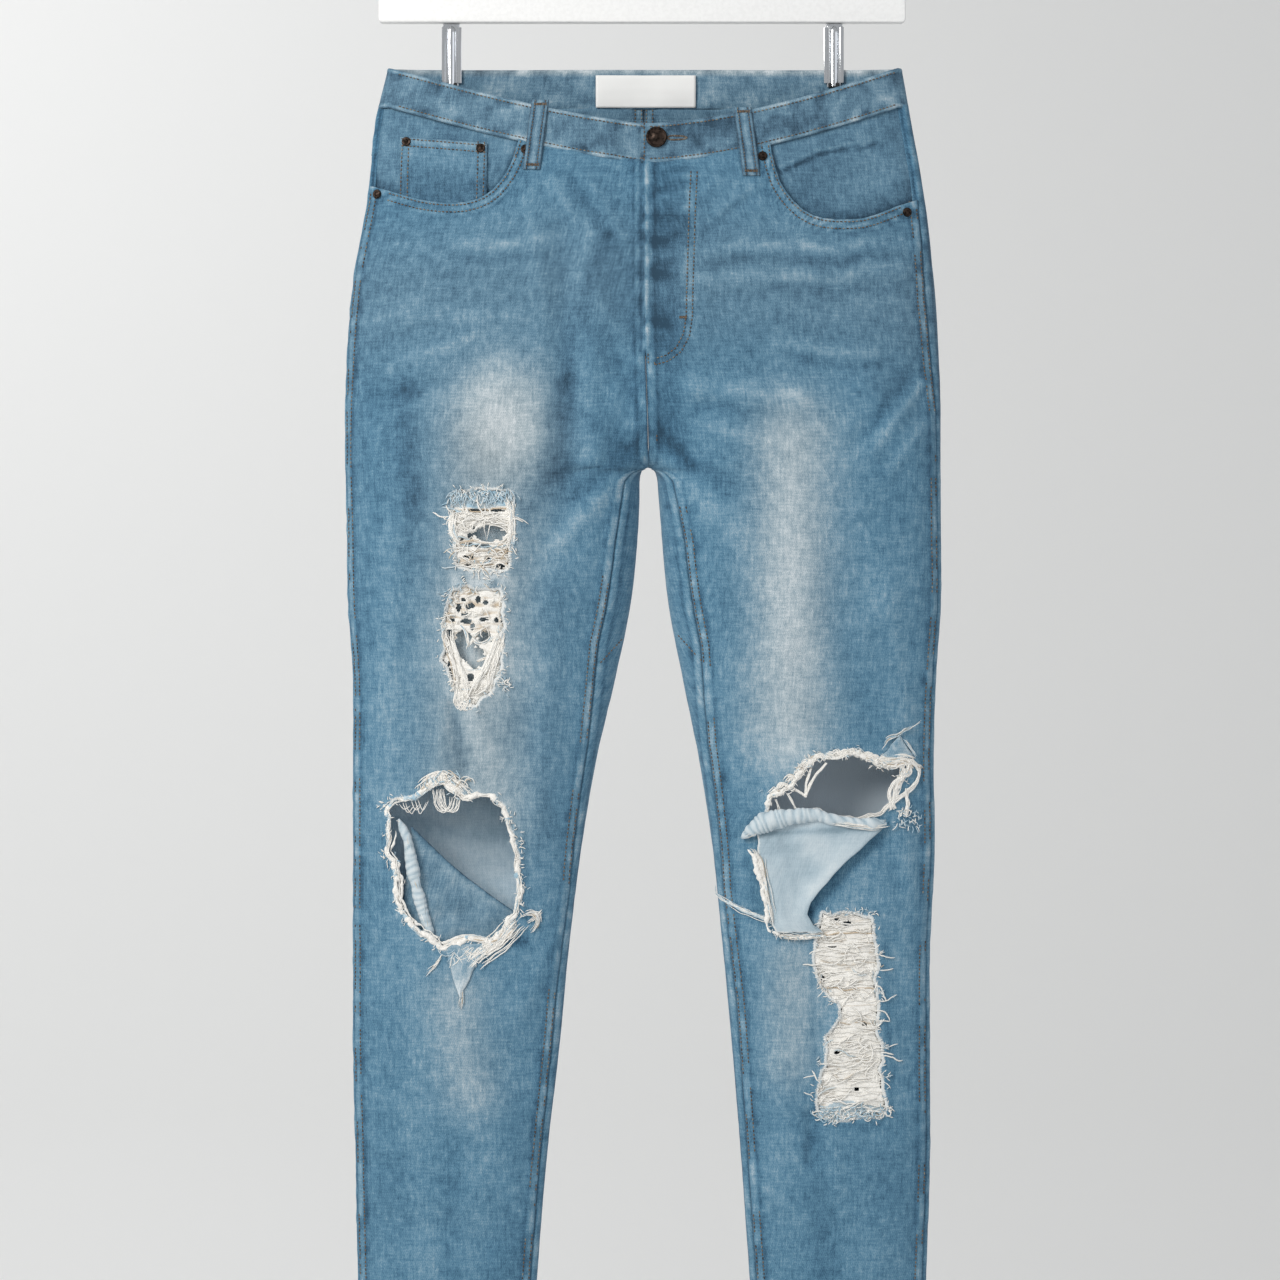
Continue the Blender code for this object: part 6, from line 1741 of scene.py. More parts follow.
    def make(self, name, nodes, material=None, fuzz=0.35):
        material = material or bareWeft
        routes = [s[0] for s in self.strands]
        every = np.concatenate(routes)
        points = offCloth(every[:, 0], every[:, 1], every[:, 2])
        lines, radii, tints, at = [], [], [], 0
        for route, radius, tint, taper in self.strands:
            lines.append(points[at:at + len(route)])
            at += len(route)
            share = np.linspace(0, 1, len(route))
            ends = np.clip(np.minimum(share, 1 - share) * 5 + 0.35, 0, 1) if taper else np.ones(len(route))
            radii.append(radius * mm * ends)
            tints.append(np.full(len(route), tint))
        obj = polylines(name, lines, material)
        giveAttribute(obj, "thickness", np.concatenate(radii))
        giveAttribute(obj, "tint", np.concatenate(tints))
        grow(obj, yarnTree, Yarn=material, Fuzz=fuzz * mm)
        obj.data.shade_smooth()
        return finish(obj, nodes)


def across(yarn, outline, drops, holes, lift, radius=(0.42, 0.62), beige=0.2, blue=0.05, wander=0.9, hold=3.0):
    # Weft threads that cross a rip at these drops, bowed round the holes that have opened between them.
    for drop in drops:
        low = []
        for (x0, d0), (x1, d1) in zip(outline, np.roll(outline, -1, axis=0)):
            if (d0 > drop) != (d1 > drop):
                low.append(x0 + (drop - d0) * (x1 - x0) / (d1 - d0))
        if len(low) < 2:
            continue
        x = np.linspace(min(low) - hold, max(low) + hold, 22)
        at = np.full(x.shape, float(drop)) + yarn.wave(x, 8, wander) + yarn.wave(x, 3.5, wander * 0.35)
        at += (x - x.mean()) * yarn.random.uniform(-0.04, 0.04)
        rise = lift + yarn.wave(x, 5, 0.7) + 0.6 * ((x < min(low)) | (x > max(low)))
        for cx, cd, rx, rd in holes:
            u, v = (x - cx) / rx, (at - cd) / rd
            edge = np.sqrt(np.maximum(1 - u * u, 0))
            limit = 1 + 2.2 / max(rd, 1.5) + 0.8
            pushed = np.sign(v + 1e-6) * (edge + np.abs(v) * (limit - edge) / limit)
            at = np.where((edge > 0) & (np.abs(v) < limit), cd + rd * pushed, at)
        yarn.add(np.stack([x, at, rise], -1), yarn.random.uniform(*radius), yarn.tone(blue, beige))


# The matted weft that is left where the blue warp has worn out
mats = {"step": 0.9, "thick": 0.9}


def mat(name, outline, holes, lift, tone, seed, streak=1.0):
    # A ragged sheet with ridges across the leg. tone gives yarn colour from x, drop and the height of a ridge; the
    # colour it gives in the troughs is painted shade
    low, high = outline.min(axis=0) - 2, outline.max(axis=0) + 2
    x, drop = np.meshgrid(np.arange(low[0], high[0], mats["step"]), np.arange(low[1], high[1], mats["step"]))
    slant = drop + 2.2 * softNoise(x, drop, 17, seed) + 0.9 * softNoise(x, drop, 6, seed + 5)
    ridges = 0.7 * softNoise(x / 7, slant, 1.3, seed + 1) + 0.5 * softNoise(x / 3, slant, 2.6, seed + 2)
    lumps = softNoise(x / 1.6, slant, 5.5, seed + 3)
    points, normals = onCloth(x, drop)
    mean = mats["step"] / 2
    frayed = 1.3 * softNoise(x, drop / 2, 1.4, seed + 4)
    keep = isInside((x + frayed + mean)[:-1, :-1], (drop + mean)[:-1, :-1], outline)
    for cx, cd, rx, rd in holes:
        u, v = (x - cx) / rx, (drop - cd) / rd
        torn = u * u + v * v < 1 + 0.5 * softNoise(x, drop, 2.6, seed + 6)
        keep &= ~torn[:-1, :-1]
    tint = tone(x, drop, ridges * streak + 0.35 * lumps)
    obj = clothMesh(name, points + normals * (lift + 0.55 * ridges + 0.8 * lumps)[..., None], normals, {"tint": tint},
                    keep, [bareWeft] * 3, mats["thick"])
    return finish(obj)


def lip(name, line, thick, seed, lift=0.6, out=0.8, span=(0, 1), closed=True, blue=0.0):
    # The matted white edge of a rip: a lumpy cord that wanders along its outline
    path = np.concatenate([line, line[:1]]) if closed else np.asarray(line, float)
    length = np.concatenate([[0], np.cumsum(np.linalg.norm(np.diff(path, axis=0), axis=1))])
    at = np.arange(span[0] * length[-1], span[1] * length[-1], 0.8)
    route = np.stack([np.interp(at, length, path[:, k]) for k in range(2)], -1)
    for _ in range(3):
        route[1:-1] = route[1:-1] * 0.5 + (route[:-2] + route[2:]) * 0.25
    run = np.gradient(route, axis=0)
    run /= np.linalg.norm(run, axis=1, keepdims=True)
    aside = np.stack([run[:, 1], -run[:, 0]], -1)
    aside *= np.sign(((route - path.mean(axis=0)) * aside).sum())
    wander = out + 1.2 * softNoise(at, at * 0, 8, seed) + 0.7 * softNoise(at, at * 0 + 3, 3.4, seed)
    route = route + aside * wander[:, None]
    centre, normal = onCloth(route[:, 0], route[:, 1])
    centre = centre + normal * (lift + 0.6 * softNoise(at, at * 0, 6, seed + 1))[:, None]
    run = np.gradient(centre, axis=0)
    run /= np.linalg.norm(run, axis=1, keepdims=True)
    across = np.cross(run, normal)
    a = np.linspace(0, 2 * pi, 12, endpoint=False)[None]
    size = thick * (0.85 + 0.55 * softNoise(at, at * 0, 6, seed + 2) + 0.35 * softNoise(at, at * 0, 2.4, seed + 3))
    share = np.linspace(0, 1, len(at))
    size = (np.maximum(size, 0.35 * thick) * np.clip(np.minimum(share, 1 - share) * 30 + 0.2, 0, 1))[:, None]
    twist = softNoise(at[:, None] + 3.0 * a, a * 2.2 - at[:, None] * 0.3, 1.5, seed + 4)
    size = size * (1 + 0.32 * twist)
    points = centre[:, None] + across[:, None] * (size * np.cos(a))[..., None] \
        + normal[:, None] * (0.75 * size * np.sin(a))[..., None]
    rings, sides = len(at), 12
    faces = [(r * sides + k, r * sides + (k + 1) % sides, (r + 1) * sides + (k + 1) % sides, (r + 1) * sides + k)
             for r in range(rings - 1) for k in range(sides)]
    faces += [tuple(range(sides)), tuple((rings - 1) * sides + k for k in reversed(range(sides)))]
    obj = newMesh(name, world(points).reshape(-1, 3), faces, [bareWeft])
    work = bmesh.new()
    work.from_mesh(obj.data)
    bmesh.ops.recalc_face_normals(work, faces=work.faces)
    work.to_mesh(obj.data)
    work.free()
    tint = 0.55 + 0.2 * twist + np.where(softNoise(at, at * 0, 9, seed + 6) > 1 - 2 * blue, 0.4, 0)[:, None]
    giveAttribute(obj, "tint", np.clip(tint, 0.1, 1).ravel())
    return finish(obj)


topHoles = [(-123, 377, 13.4, 6.2), (-134.6, 358.6, 7.6, 1.3), (-116.8, 358.7, 5.4, 1.1), (-136.3, 372.7, 1.9, 1.7),
            (-139.5, 379.6, 1.9, 2.6), (-145.7, 381.8, 1.5, 1.3), (-139.5, 385.9, 2.4, 1.2), (-128.8, 386.9, 6.2, 1.3),
            (-140.5, 395.8, 4.6, 1.4), (-124.9, 397.8, 2.6, 2.2), (-115.2, 403.0, 3.6, 2.0), (-141.5, 402.5, 2.6, 1.1)]
# below the pale blue top, the tint falls toward beige in the ridge troughs: painted shade
mat("thighMatUpper", thighRip, topHoles, -0.3, lambda x, drop, high: np.where(
    drop < 357 + 2 * softNoise(x, drop, 5, 341), 0.92 + 0.1 * high,
    np.clip(0.56 - 0.26 * smooth(drop, 380, 390) + (0.12 + 0.3 * smooth(drop, 380, 390)) * high, 0.05, 0.7)), 340)
upper = Yarn(3)
across(upper, thighRip, np.arange(359, 404, 2.6), topHoles, 0.2, (0.35, 0.6), beige=0.1, wander=1.8)
upper.tangle(thighRip, topHoles, 60, 0.6, rows=(358, 372), radius=(0.4, 0.7), beige=0.0, tilt=0.3)
upper.tangle(thighRip, topHoles, 90, 0.5, rows=(383, 405), beige=0.4, tilt=0.6, long=(8, 18))
upper.bundle([(-110, 348), (-106, 360), (-106, 378), (-108, 390)], 18, 1.2, (0.4, 0.65), lift=0.9, beige=0.0)
upper.bundle([(-150, 360), (-153, 368), (-153, 377), (-146, 388)], 18, 1.6, (0.4, 0.65), lift=0.8, beige=0.0)
upper.fluff(thighRip, 34, -0.5, 2.0, strands=4, long=(2, 5), radius=(0.3, 0.45), beige=0.05, blue=0.2)
for k in range(120):  # pale blue fringe of the torn cloth along the top
    x = upper.random.uniform(-156, -102)
    edge = 341.5 + 3.0 * abs((x + 128) / 28) ** 3 + 2.2 * float(softNoise(x, 0, 7, 311))
    upper.curl(x, edge + upper.random.uniform(-1, 6), 0.8, pi / 2 + upper.random.gauss(0, 0.5),
            upper.random.uniform(5, 11),
               upper.random.uniform(-0.14, 0.14), upper.random.uniform(0.35, 0.55),
               upper.random.choice((0.86, 0.95, 1.0, 0.92, 0.6)), 0.8)
upper.make("thighYarnUpper", ["thigh_threads_upper"])

lowHoles = [(-148.6, 436.4, 2.2, 3.6), (-144.7, 430.0, 1.8, 1.6), (-139.2, 434.8, 3.8, 2.5), (-143.4, 441.4, 2.8, 2.0),
            (-133.3, 430, 2.3, 2.8), (-126.5, 432, 2.0, 1.8), (-153.5, 446, 2.0, 1.7), (-141.8, 447.2, 4.5, 2.2),
            (-137.4, 451, 2.0, 3.0), (-128.2, 445.6, 4.0, 1.7), (-118.4, 446.2, 2.0, 2.0), (-155.8, 457, 3.0, 3.6),
            (-143.6, 466.5, 8.0, 11.5), (-134.4, 476.0, 7.4, 9.2), (-127.8, 460.2, 6.0, 5.2), (-155.4, 485.5, 2.4, 6.5),
            (-139.2, 491.5, 3.0, 3.8)]
# the tint falls toward beige in the ridge troughs: painted shade
mat("thighMatLower", thighLow, lowHoles, -0.3, lambda x, drop, high: np.clip(
    0.34 + 0.24 * smooth(drop, 448, 480) + 0.10 * smooth(x, -130, -120) + (0.5 - 0.3 * smooth(drop, 455, 485)) * high,
    0.02, 0.7), 350)
lower = Yarn(5)
lower.tangle(thighLow, lowHoles, 90, 0.5, rows=(421, 455), beige=0.25, tilt=0.9, bend=0.3, long=(5, 12))
lower.tangle(thighLow, lowHoles, 70, 0.6, rows=(484, 514), beige=0.0, tilt=0.9, radius=(0.4, 0.65), long=(5, 14))
left = [(-153, 452), (-153, 463), (-148.5, 476), (-144.5, 489), (-140.5, 503), (-145, 514)]
right = [(-115, 452), (-117, 462), (-121, 470), (-125, 482), (-134, 496), (-141, 510)]
for line, count in ((left, 20), (right, 22), ([(x - 5, drop) for x, drop in left[:4]] + [(-149, 506)], 10),
                    ([(x + 3.4, drop + 2) for x, drop in right[:4]] + [(-124, 499), (-138, 507)], 16)):
    lower.bundle(line, count, 1.1, (0.4, 0.7), lift=0.9, wander=1.3, beige=0.04, blue=0.03)
for cord, count in (([(-147, 448), (-142, 455), (-140, 466), (-142, 470)], 7), ([(-139, 468), (-136, 459), (-127,
        452)], 8),
                    ([(-139, 459), (-133, 466), (-125, 465), (-120, 458)], 8), ([(-134, 480), (-128, 478), (-122,
                    474)], 6),
                    ([(-145, 484), (-138, 487), (-128, 485), (-122, 480)], 7), ([(-128, 468), (-126, 474), (-121,
                    477)], 5)):
    lower.bundle(cord, count, 0.5, (0.35, 0.55), lift=0.0, wander=0.8, beige=0.1)
for k in range(14):  # loops that hang from the lowest point
    x = -150 + k * 0.8
    lower.path([(x, 500), (x - 3, 511 + k % 3 * 2), (x + 1, 517 + k % 2 * 3), (x + 4, 510)], 0.5, 0.58, wander=0.9)
lower.fluff(thighLow, 44, -0.5, 2.0, strands=4, long=(2, 5), radius=(0.3, 0.45), beige=0.05, blue=0.15)
for x, drop, count in ((-156, 426, 12), (-161, 450, 10), (-111, 498, 34), (-146, 416, 14), (-126, 414, 12)):
    for k in range(count):
        lower.curl(x + lower.random.gauss(0, 2.2), drop + lower.random.gauss(0, 2.2), 0.9, lower.random.uniform(0,
                2 * pi),
                   lower.random.uniform(3, 6), lower.random.uniform(-0.5, 0.5), lower.random.uniform(0.3, 0.45),
                   lower.random.choice((0.55, 0.6, 0.9, 0.97)))
lower.make("thighYarnLower", ["thigh_threads_lower"])

shinHoles = [(156, 757.6, 2.3, 1.8), (154.4, 792.8, 2.2, 1.8), (142.5, 732.8, 1.8, 3.2), (162.4, 688.8, 3.4, 1.8),
             (176, 770, 1.8, 1.2), (170, 822, 2.0, 1.3), (150, 708, 3.2, 1.1), (166, 735, 1.7, 1.0), (154, 686, 2.0,
             1.5)]
# the tint falls toward beige in the ridge troughs: painted shade
mat("shinMat", shinRip, shinHoles, -0.3, lambda x, drop, high: np.where(
    drop > 833 + 5 * softNoise(x, drop, 6, 361), 0.9, np.clip(0.60 + 0.42 * np.minimum(high + 0.25, 0), 0.05, 0.7)),
    360, 1.2)
shin = Yarn(7)
across(shin, shinRip, np.arange(684, 845, 3.4), shinHoles, 0.2, (0.4, 0.7), beige=0.06, blue=0.02, wander=1.8)
shin.tangle(shinRip, shinHoles, 200, 0.5, long=(8, 22), radius=(0.4, 0.7), beige=0.05, tilt=0.22, bend=0.08)
shin.fluff(shinRip, 60, -0.8, 1.8, strands=4, long=(2, 5), radius=(0.3, 0.45), beige=0.05, blue=0.1)
for k in range(120):  # looped fringe at the foot of the rip and along its top
    foot = k < 90
    x = shin.random.uniform(138, 194) if foot else shin.random.uniform(144, 184)
    drop = shin.random.uniform(835, 846) if foot else shin.random.uniform(680, 684)
    shin.curl(x, drop, 0.9, (pi / 2 if foot else -pi / 2) + shin.random.gauss(0, 0.7), shin.random.uniform(5,
            12 if foot else 6),
              shin.random.choice((-0.5, 0.5, 0.35, -0.3)), shin.random.uniform(0.32, 0.5),
              shin.random.choice((0.5, 0.9, 0.97, 0.6, 1.0)), 1.0)
for x, drop in ((187, 712), (188, 745), (191, 788), (193, 812), (195, 838), (137, 800), (140, 842), (186, 770)):
    for k in range(7):
        shin.curl(x + shin.random.gauss(0, 1.0), drop + shin.random.gauss(0, 1.2), 0.9, shin.random.uniform(-0.8, 0.8),
                  shin.random.uniform(3, 6), shin.random.uniform(-0.4, 0.4), 0.36, shin.random.choice((0.55, 0.9)))
shin.make("shinYarn", ["shin_threads"])


def ripShadeSheetLines(across, down):
    return -164 + 66 * across, 332 + 192 * down


# a sheet of cloth close behind the thigh rips stands in for the grey shade seen through them
ripShadeSheet = patchPiece("thighBacking", ripShadeSheetLines, 48, 16, -8.0, 0.8, fade=0.2, grey=0.5)
finish(ripShadeSheet)
print("woven threads made")

# The knee hole, with torn cloth turned into it

knee = Yarn(11)
lip("kneeHoleLip", kneeHole, 1.9, 371, blue=0.12)
lip("kneeHoleSecondLip", kneeHole, 1.1, 377, lift=-0.2, out=-3.4, span=(0.62, 0.93))
knee.rim(kneeHole, 80, -1.6, 2.6, long=(12, 50), radius=(0.34, 0.6), lift=1.0, blue=0.08, beige=0.03)
knee.fluff(kneeHole, 64, -1.2, 3.4, strands=4, long=(2, 5.5), radius=(0.28, 0.48), lift=0.9, blue=0.12, beige=0.04)
knee.fluff(kneeHole, 16, 2.6, 5.0, strands=3, long=(3, 6), radius=(0.2, 0.34), lift=0.6, blue=0.7)
for k in range(6):  # strands that droop into the hole
    x = -196 + 3 * k
    knee.path([(x, 594 - k, 0.3), (x + 4, 600 + 2 * k % 5, -1.2), (x + 9, 596 - k, 0.2)], 0.4, 0.55, wander=1.2)
knee.bundle([(-182, 585), (-172, 575), (-161, 571), (-152, 577), (-140, 587)], 50, 2.4, (0.35, 0.6), lift=1.1,
        beige=0.03)
for k in range(40):  # the tuft above the hole
    x = knee.random.uniform(-172, -144)
    knee.curl(x, 580 + knee.random.uniform(-6, 2), 1.2, -pi / 2 + knee.random.gauss(0, 0.8), knee.random.uniform(7, 17),
              knee.random.uniform(-0.3, 0.3), knee.random.uniform(0.3, 0.52), knee.random.choice((0.5, 0.6, 0.12,
              0.95, 0.45)),
              1.4)
for k in range(12):  # a loop that hangs into the hole
    x = -169 + k * 0.8
    knee.path([(x, 582, 0.5), (x + 1, 594, -0.5), (x + 7, 601, -1), (x + 12, 598, -0.5), (x + 14, 588, 0.4)],
              0.4, 0.55, wander=0.9)
knee.bundle([(-160, 709), (-152, 703), (-142, 700), (-130, 702), (-122, 704)], 26, 1.2, (0.35, 0.55), lift=0.9,
        beige=0.02)
for k in range(34):  # the tuft below the hole and its long end
    x = knee.random.uniform(-154, -132)
    knee.curl(x, 708 + knee.random.uniform(-4, 6), 1.0, pi / 2 + knee.random.gauss(0, 0.5), knee.random.uniform(8, 20),
              knee.random.uniform(-0.16, 0.16), knee.random.uniform(0.28, 0.46), knee.random.choice((0.5, 0.95, 0.9,
              0.6)))
knee.bundle([(-145, 720), (-147, 734), (-146, 748), (-147.5, 759)], 14, 0.9, (0.24, 0.4), lift=1.0, blue=0.4)
knee.bundle([(-140, 722), (-130, 712), (-115, 702), (-101, 686)], 70, 2.7, (0.38, 0.62), lift=1.0, beige=0.03,
        blue=0.05)
knee.bundle([(-160, 712), (-166, 722), (-175, 731)], 8, 0.6, (0.22, 0.34), lift=0.8)
for k in range(22):  # short loops at the right side
    drop = 616 + k * 3.2
    knee.curl(-100.5, drop, 1.0, knee.random.gauss(0, 0.6), knee.random.uniform(3, 7), knee.random.uniform(-0.4, 0.4),
            0.42,
              knee.random.choice((0.55, 0.6, 0.95)))
knee.bundle([(-99, 684), (-89, 680), (-84, 688), (-92, 698)], 16, 1.2, (0.26, 0.42), lift=1.1)
knee.bundle([(-94, 690), (-86, 684), (-82, 679)], 8, 0.7, (0.2, 0.34), lift=1.0)
knee.make("kneeHoleYarn", ["knee_hole_fray_upper", "knee_hole_fray_lower"])

# The torn front hangs inside the hole: its edge runs down across from the roll at the left
turnIn = {"edge": [(-188, 612), (-174, 625), (-158, 640), (-140, 655), (-122, 668), (-104, 680), (-96, 687)],
          "foot": [(-196, 700), (-184, 710), (-168, 716), (-148, 716), (-130, 714), (-112, 704), (-98, 692)]}
rows, columns = 44, 64
share = np.linspace(0, 1, columns + 1)
ends = {key: np.stack([np.interp(share * 6, np.arange(7), np.array(turnIn[key])[:, k]) for k in (0, 1)], -1)
        for key in turnIn}
down = np.linspace(0, 1, rows + 1)[:, None, None]
places = ends["edge"][None] * (1 - down) + ends["foot"][None] * down
x, drop = places[..., 0], places[..., 1]
deep = -5.5 - 5.0 * (1 - down[..., 0]) ** 2 - 3.5 * np.sin(pi * share)[None] * (1 - down[..., 0])
deep = deep + 1.3 * softNoise(x + drop, drop - x, 18, 41) + 1.2 * np.exp(-(((x + 0.6 * drop - 236) / 9) ** 2))
points, normals = onCloth(x, drop)
gap = down[..., 0] * 60
# a painted shadow line along the torn edge, lighter just below it
paint = {"fade": 0.5 + 0.1 * softNoise(x, drop, 14,
        43) - 0.35 * np.exp(-gap / 1.6) + 0.1 * np.exp(-(((gap - 5) / 4) ** 2)),
         "grey": np.full(x.shape, 0.35), "tear": np.zeros(x.shape), "place": placeOf(points, columns // 2)}
foldIn = clothMesh("kneeTurnedIn", points + normals * deep[..., None], normals, paint, thick=1.2)
finish(foldIn)


def ropePiece(name, places, radius, deep, material, twist, pleat, nodes=(), flat=1.0, seed=1):
    # Rolled cloth: a tube along places whose folds either cross it or wind round it.
    places = np.array(places, float)
    length = np.concatenate([[0], np.cumsum(np.linalg.norm(np.diff(places[:, :2], axis=0), axis=1))])
    at = np.arange(0, length[-1], 0.8)
    share = at / length[-1]
    x, drop = (np.interp(at, length, places[:, k]) for k in range(2))
    for line in (x, drop):
        for _ in range(12):
            line[1:-1] = line[1:-1] * 0.5 + (line[:-2] + line[2:]) * 0.25
    rises = np.interp(at, length, places[:, 2]) if places.shape[1] > 2 else np.full(at.shape, deep)
    centre, normal = onCloth(x, drop)
    centre = centre + normal * rises[:, None]
    run = np.gradient(centre, axis=0)
    run /= np.linalg.norm(run, axis=1, keepdims=True)
    aside = np.cross(run, normal)
    aside /= np.linalg.norm(aside, axis=1, keepdims=True)
    sides = 24
    a = np.linspace(0, 2 * pi, sides, endpoint=False)[None]
    size = np.interp(share, np.linspace(0, 1, len(radius)), radius)
    size = (size * np.clip(np.minimum(share, 1 - share) * 9 + 0.25, 0, 1))[:, None]
    size = size * (1 + 0.22 * softNoise(at, at * 0, 11, seed))[:, None]
    how = np.interp(share, np.linspace(0, 1, len(twist)), twist)[:, None]
    wind = np.abs(np.sin(at[:, None] * 0.34 + a * 1.0 + softNoise(at, at * 0 + 3, 9, seed + 1)[:, None] * 1.4))
    cross = np.abs(np.sin(at[:, None] * 0.62 + 1.5 * softNoise(at[:, None] + a * 2, a * 3 + at[:, None] * 0, 7,
            seed + 2)))
    fold = how * wind + (1 - how) * cross
    size = size * (1 - pleat + 1.5 * pleat * fold)
    points = centre[:, None] + aside[:, None] * (size * np.cos(a))[..., None] \
        + normal[:, None] * (size * flat * np.sin(a))[..., None]
    rings = len(at)
    faces = [(r * sides + k, r * sides + (k + 1) % sides, (r + 1) * sides + (k + 1) % sides, (r + 1) * sides + k)
             for r in range(rings - 1) for k in range(sides)]
    faces += [tuple(range(sides)), tuple((rings - 1) * sides + k for k in reversed(range(sides)))]
    obj = newMesh(name, world(points).reshape(-1, 3), faces, [material])
    work = bmesh.new()
    work.from_mesh(obj.data)
    bmesh.ops.recalc_face_normals(work, faces=work.faces)
    work.to_mesh(obj.data)
    work.free()
    # pleat crests lighter and hollows darker: painted light and shade
    giveAttribute(obj, "fade", (0.22 + 0.55 * fold + 0 * a).ravel())
    giveAttribute(obj, "grey", np.full(rings * sides, 0.2))
    giveAttribute(obj, "tear", (0.15 * fold).ravel())
    giveAttribute(obj, "place", np.stack([at[:, None] + 0 * a, 3 * a + 0 * at[:, None], 0 * a + 0 * at[:, None]],
                                         -1).reshape(-1, 3))
    return finish(obj, nodes)


roll = [(-198, 606, -5.0), (-190, 622, -4.4), (-187, 640, -4.2), (-183, 660, -4.2), (-177, 682, -4.6), (-170, 704,
        -5.2)]
ropePiece("kneeRoll", roll, [4.2, 5.0, 5.0, 4.6, 3.8], -4.5, denimPale, [0.7, 0.4, 0.2, 0.4], 0.07, ["knee_roll"],
        0.8, 5)
inner = Yarn(13)
inner.bundle([(-190, 618), (-186, 640), (-181, 664), (-173, 694)], 20, 1.5, (0.22, 0.36), lift=-1.8, blue=0.5)
inner.make("turnedInYarn", [])
print("knee hole made")

# The slash and the flap that hangs out of it

slash = Yarn(17)
lip("kneeSlashLip", kneeSlash, 2.0, 381, out=1.2, span=(0.0, 0.62), blue=0.08)
slash.rim(kneeSlash, 60, -1.4, 3.0, long=(12, 44), radius=(0.34, 0.6), lift=1.2, span=(0.0, 0.60), blue=0.06,
        beige=0.04)
slash.fluff(kneeSlash, 44, -0.6, 3.6, strands=4, long=(2, 5.5), radius=(0.28, 0.48), lift=1.0, span=(0.0, 0.55),
        blue=0.15)
slash.fluff(kneeSlash, 12, 3.0, 5.5, strands=3, long=(3, 6), radius=(0.2, 0.34), lift=0.8, span=(0.0, 0.55), blue=0.7)
slash.rim(kneeSlash, 30, -1.2, 2.0, lift=0.8, span=(0.55, 1.0), blue=0.2)
for k in range(15):  # scallops of the upper edge
    share = k / 14
    x, drop = 106 + 84 * share, np.interp(share, [0, 0.3, 0.5, 0.75, 1], [586, 561, 556, 553, 560])
    slash.bundle([(x - 5, drop + 2), (x, drop - 5), (x + 5, drop + 1)], 13, 1.0, (0.35, 0.6), lift=1.5, beige=0.03)
for route, thick in (([(105, 590), (107.5, 596), (108, 604)], 0.5), ([(114, 585), (119, 594), (124, 603)], 0.6),
                     ([(133, 565), (129, 576), (128.6, 587)], 1.0), ([(128.8, 587), (133.5, 575), (145, 561)], 1.1),
                     ([(118, 581), (123, 583), (129, 588)], 0.8)):
    for k in range(3):
        slash.path([(x + 0.6 * k, drop, -0.4 + 0.2 * k) for x, drop in route], thick * 0.7, 0.55, wander=0.5,
                taper=False)
cords = [[(213, 558), (220.5, 566), (220, 575), (211, 583), (201, 590), (192, 599)],
         [(211, 561), (213, 569), (200, 576), (196, 584), (197.6, 597)],
         [(206, 562), (209, 570), (202, 578), (200, 588), (198, 598)],
         [(212, 582), (208.4, 584), (211, 594), (208, 604)]]
for cord in cords:
    for k in range(7):
        slash.path([(x + slash.random.gauss(0, 0.9), drop + slash.random.gauss(0, 0.9)) for x, drop in cord],
                   slash.random.uniform(0.5, 0.8), slash.random.uniform(0.45, 0.68), lift=1.5, wander=0.8, taper=False)
for k in range(54):  # the tufts at the outer end
    slash.curl(slash.random.uniform(200, 219), slash.random.uniform(597, 612), 1.1, slash.random.gauss(pi / 3, 1.2),
               slash.random.uniform(4, 9), slash.random.uniform(-0.35, 0.35), slash.random.uniform(0.3, 0.48),
               slash.random.choice((0.55, 0.9, 0.97, 0.6, 0.86)), 1.2)
slash.bundle([(189, 556), (197, 559), (207, 556), (216, 560)], 34, 1.8, (0.35, 0.6), lift=1.4, beige=0.05)
slash.bundle([(209, 562), (217, 561), (224, 565)], 10, 0.9, (0.24, 0.4), lift=1.4)
slash.bundle([(190, 550), (194.4, 541), (204, 538), (211, 532.7), (221, 527.6)], 9, 0.6, (0.24, 0.4), lift=2.2,
        blue=0.5)
slash.bundle([(206, 541), (212, 548), (216, 556)], 9, 0.6, (0.24, 0.4), lift=2.2, blue=0.6)
slash.make("kneeSlashYarn", ["knee_slash_fray"])

# Torn corners of pale cloth stand at the outer end of the slash and hang below the knee hole
tabs = {
    "kneeTab": {"apex": (204, 538), "left": (191, 556), "right": (216, 557), "lift": 1.3, "thick": 0.9},
    "kneeTatter": {"apex": (-147, 750), "left": (-160, 707), "right": (-126, 705), "lift": 1.2, "thick": 0.9},
}


for name, tab in tabs.items():
    def tabLines(across, down, tab=tab):
        down = 0.04 + 0.96 * down
        at = [tab["apex"][k] * (1 - down) + down * (tab["left"][k] * (1 - across) + tab["right"][k] * across)
              for k in (0, 1)]
        return at[0] + 1.6 * softNoise(at[1], at[0], 6, 321), at[1]

    across, down = np.meshgrid(np.linspace(0, 1, 13), np.linspace(0, 1, 25))
    piece = patchPiece(name, tabLines, 24, 12, tab["lift"] + 0.8 * np.sin(pi * across) + 0.5 * softNoise(across * 30,
            down * 30, 6, 324),
                       tab["thick"], fade=0.26 + 0.12 * softNoise(across * 20, down * 30, 6, 322), grey=0.2,
                       tear=0.5 * np.exp(-np.minimum(across, 1 - across) * 12))
    finish(piece)

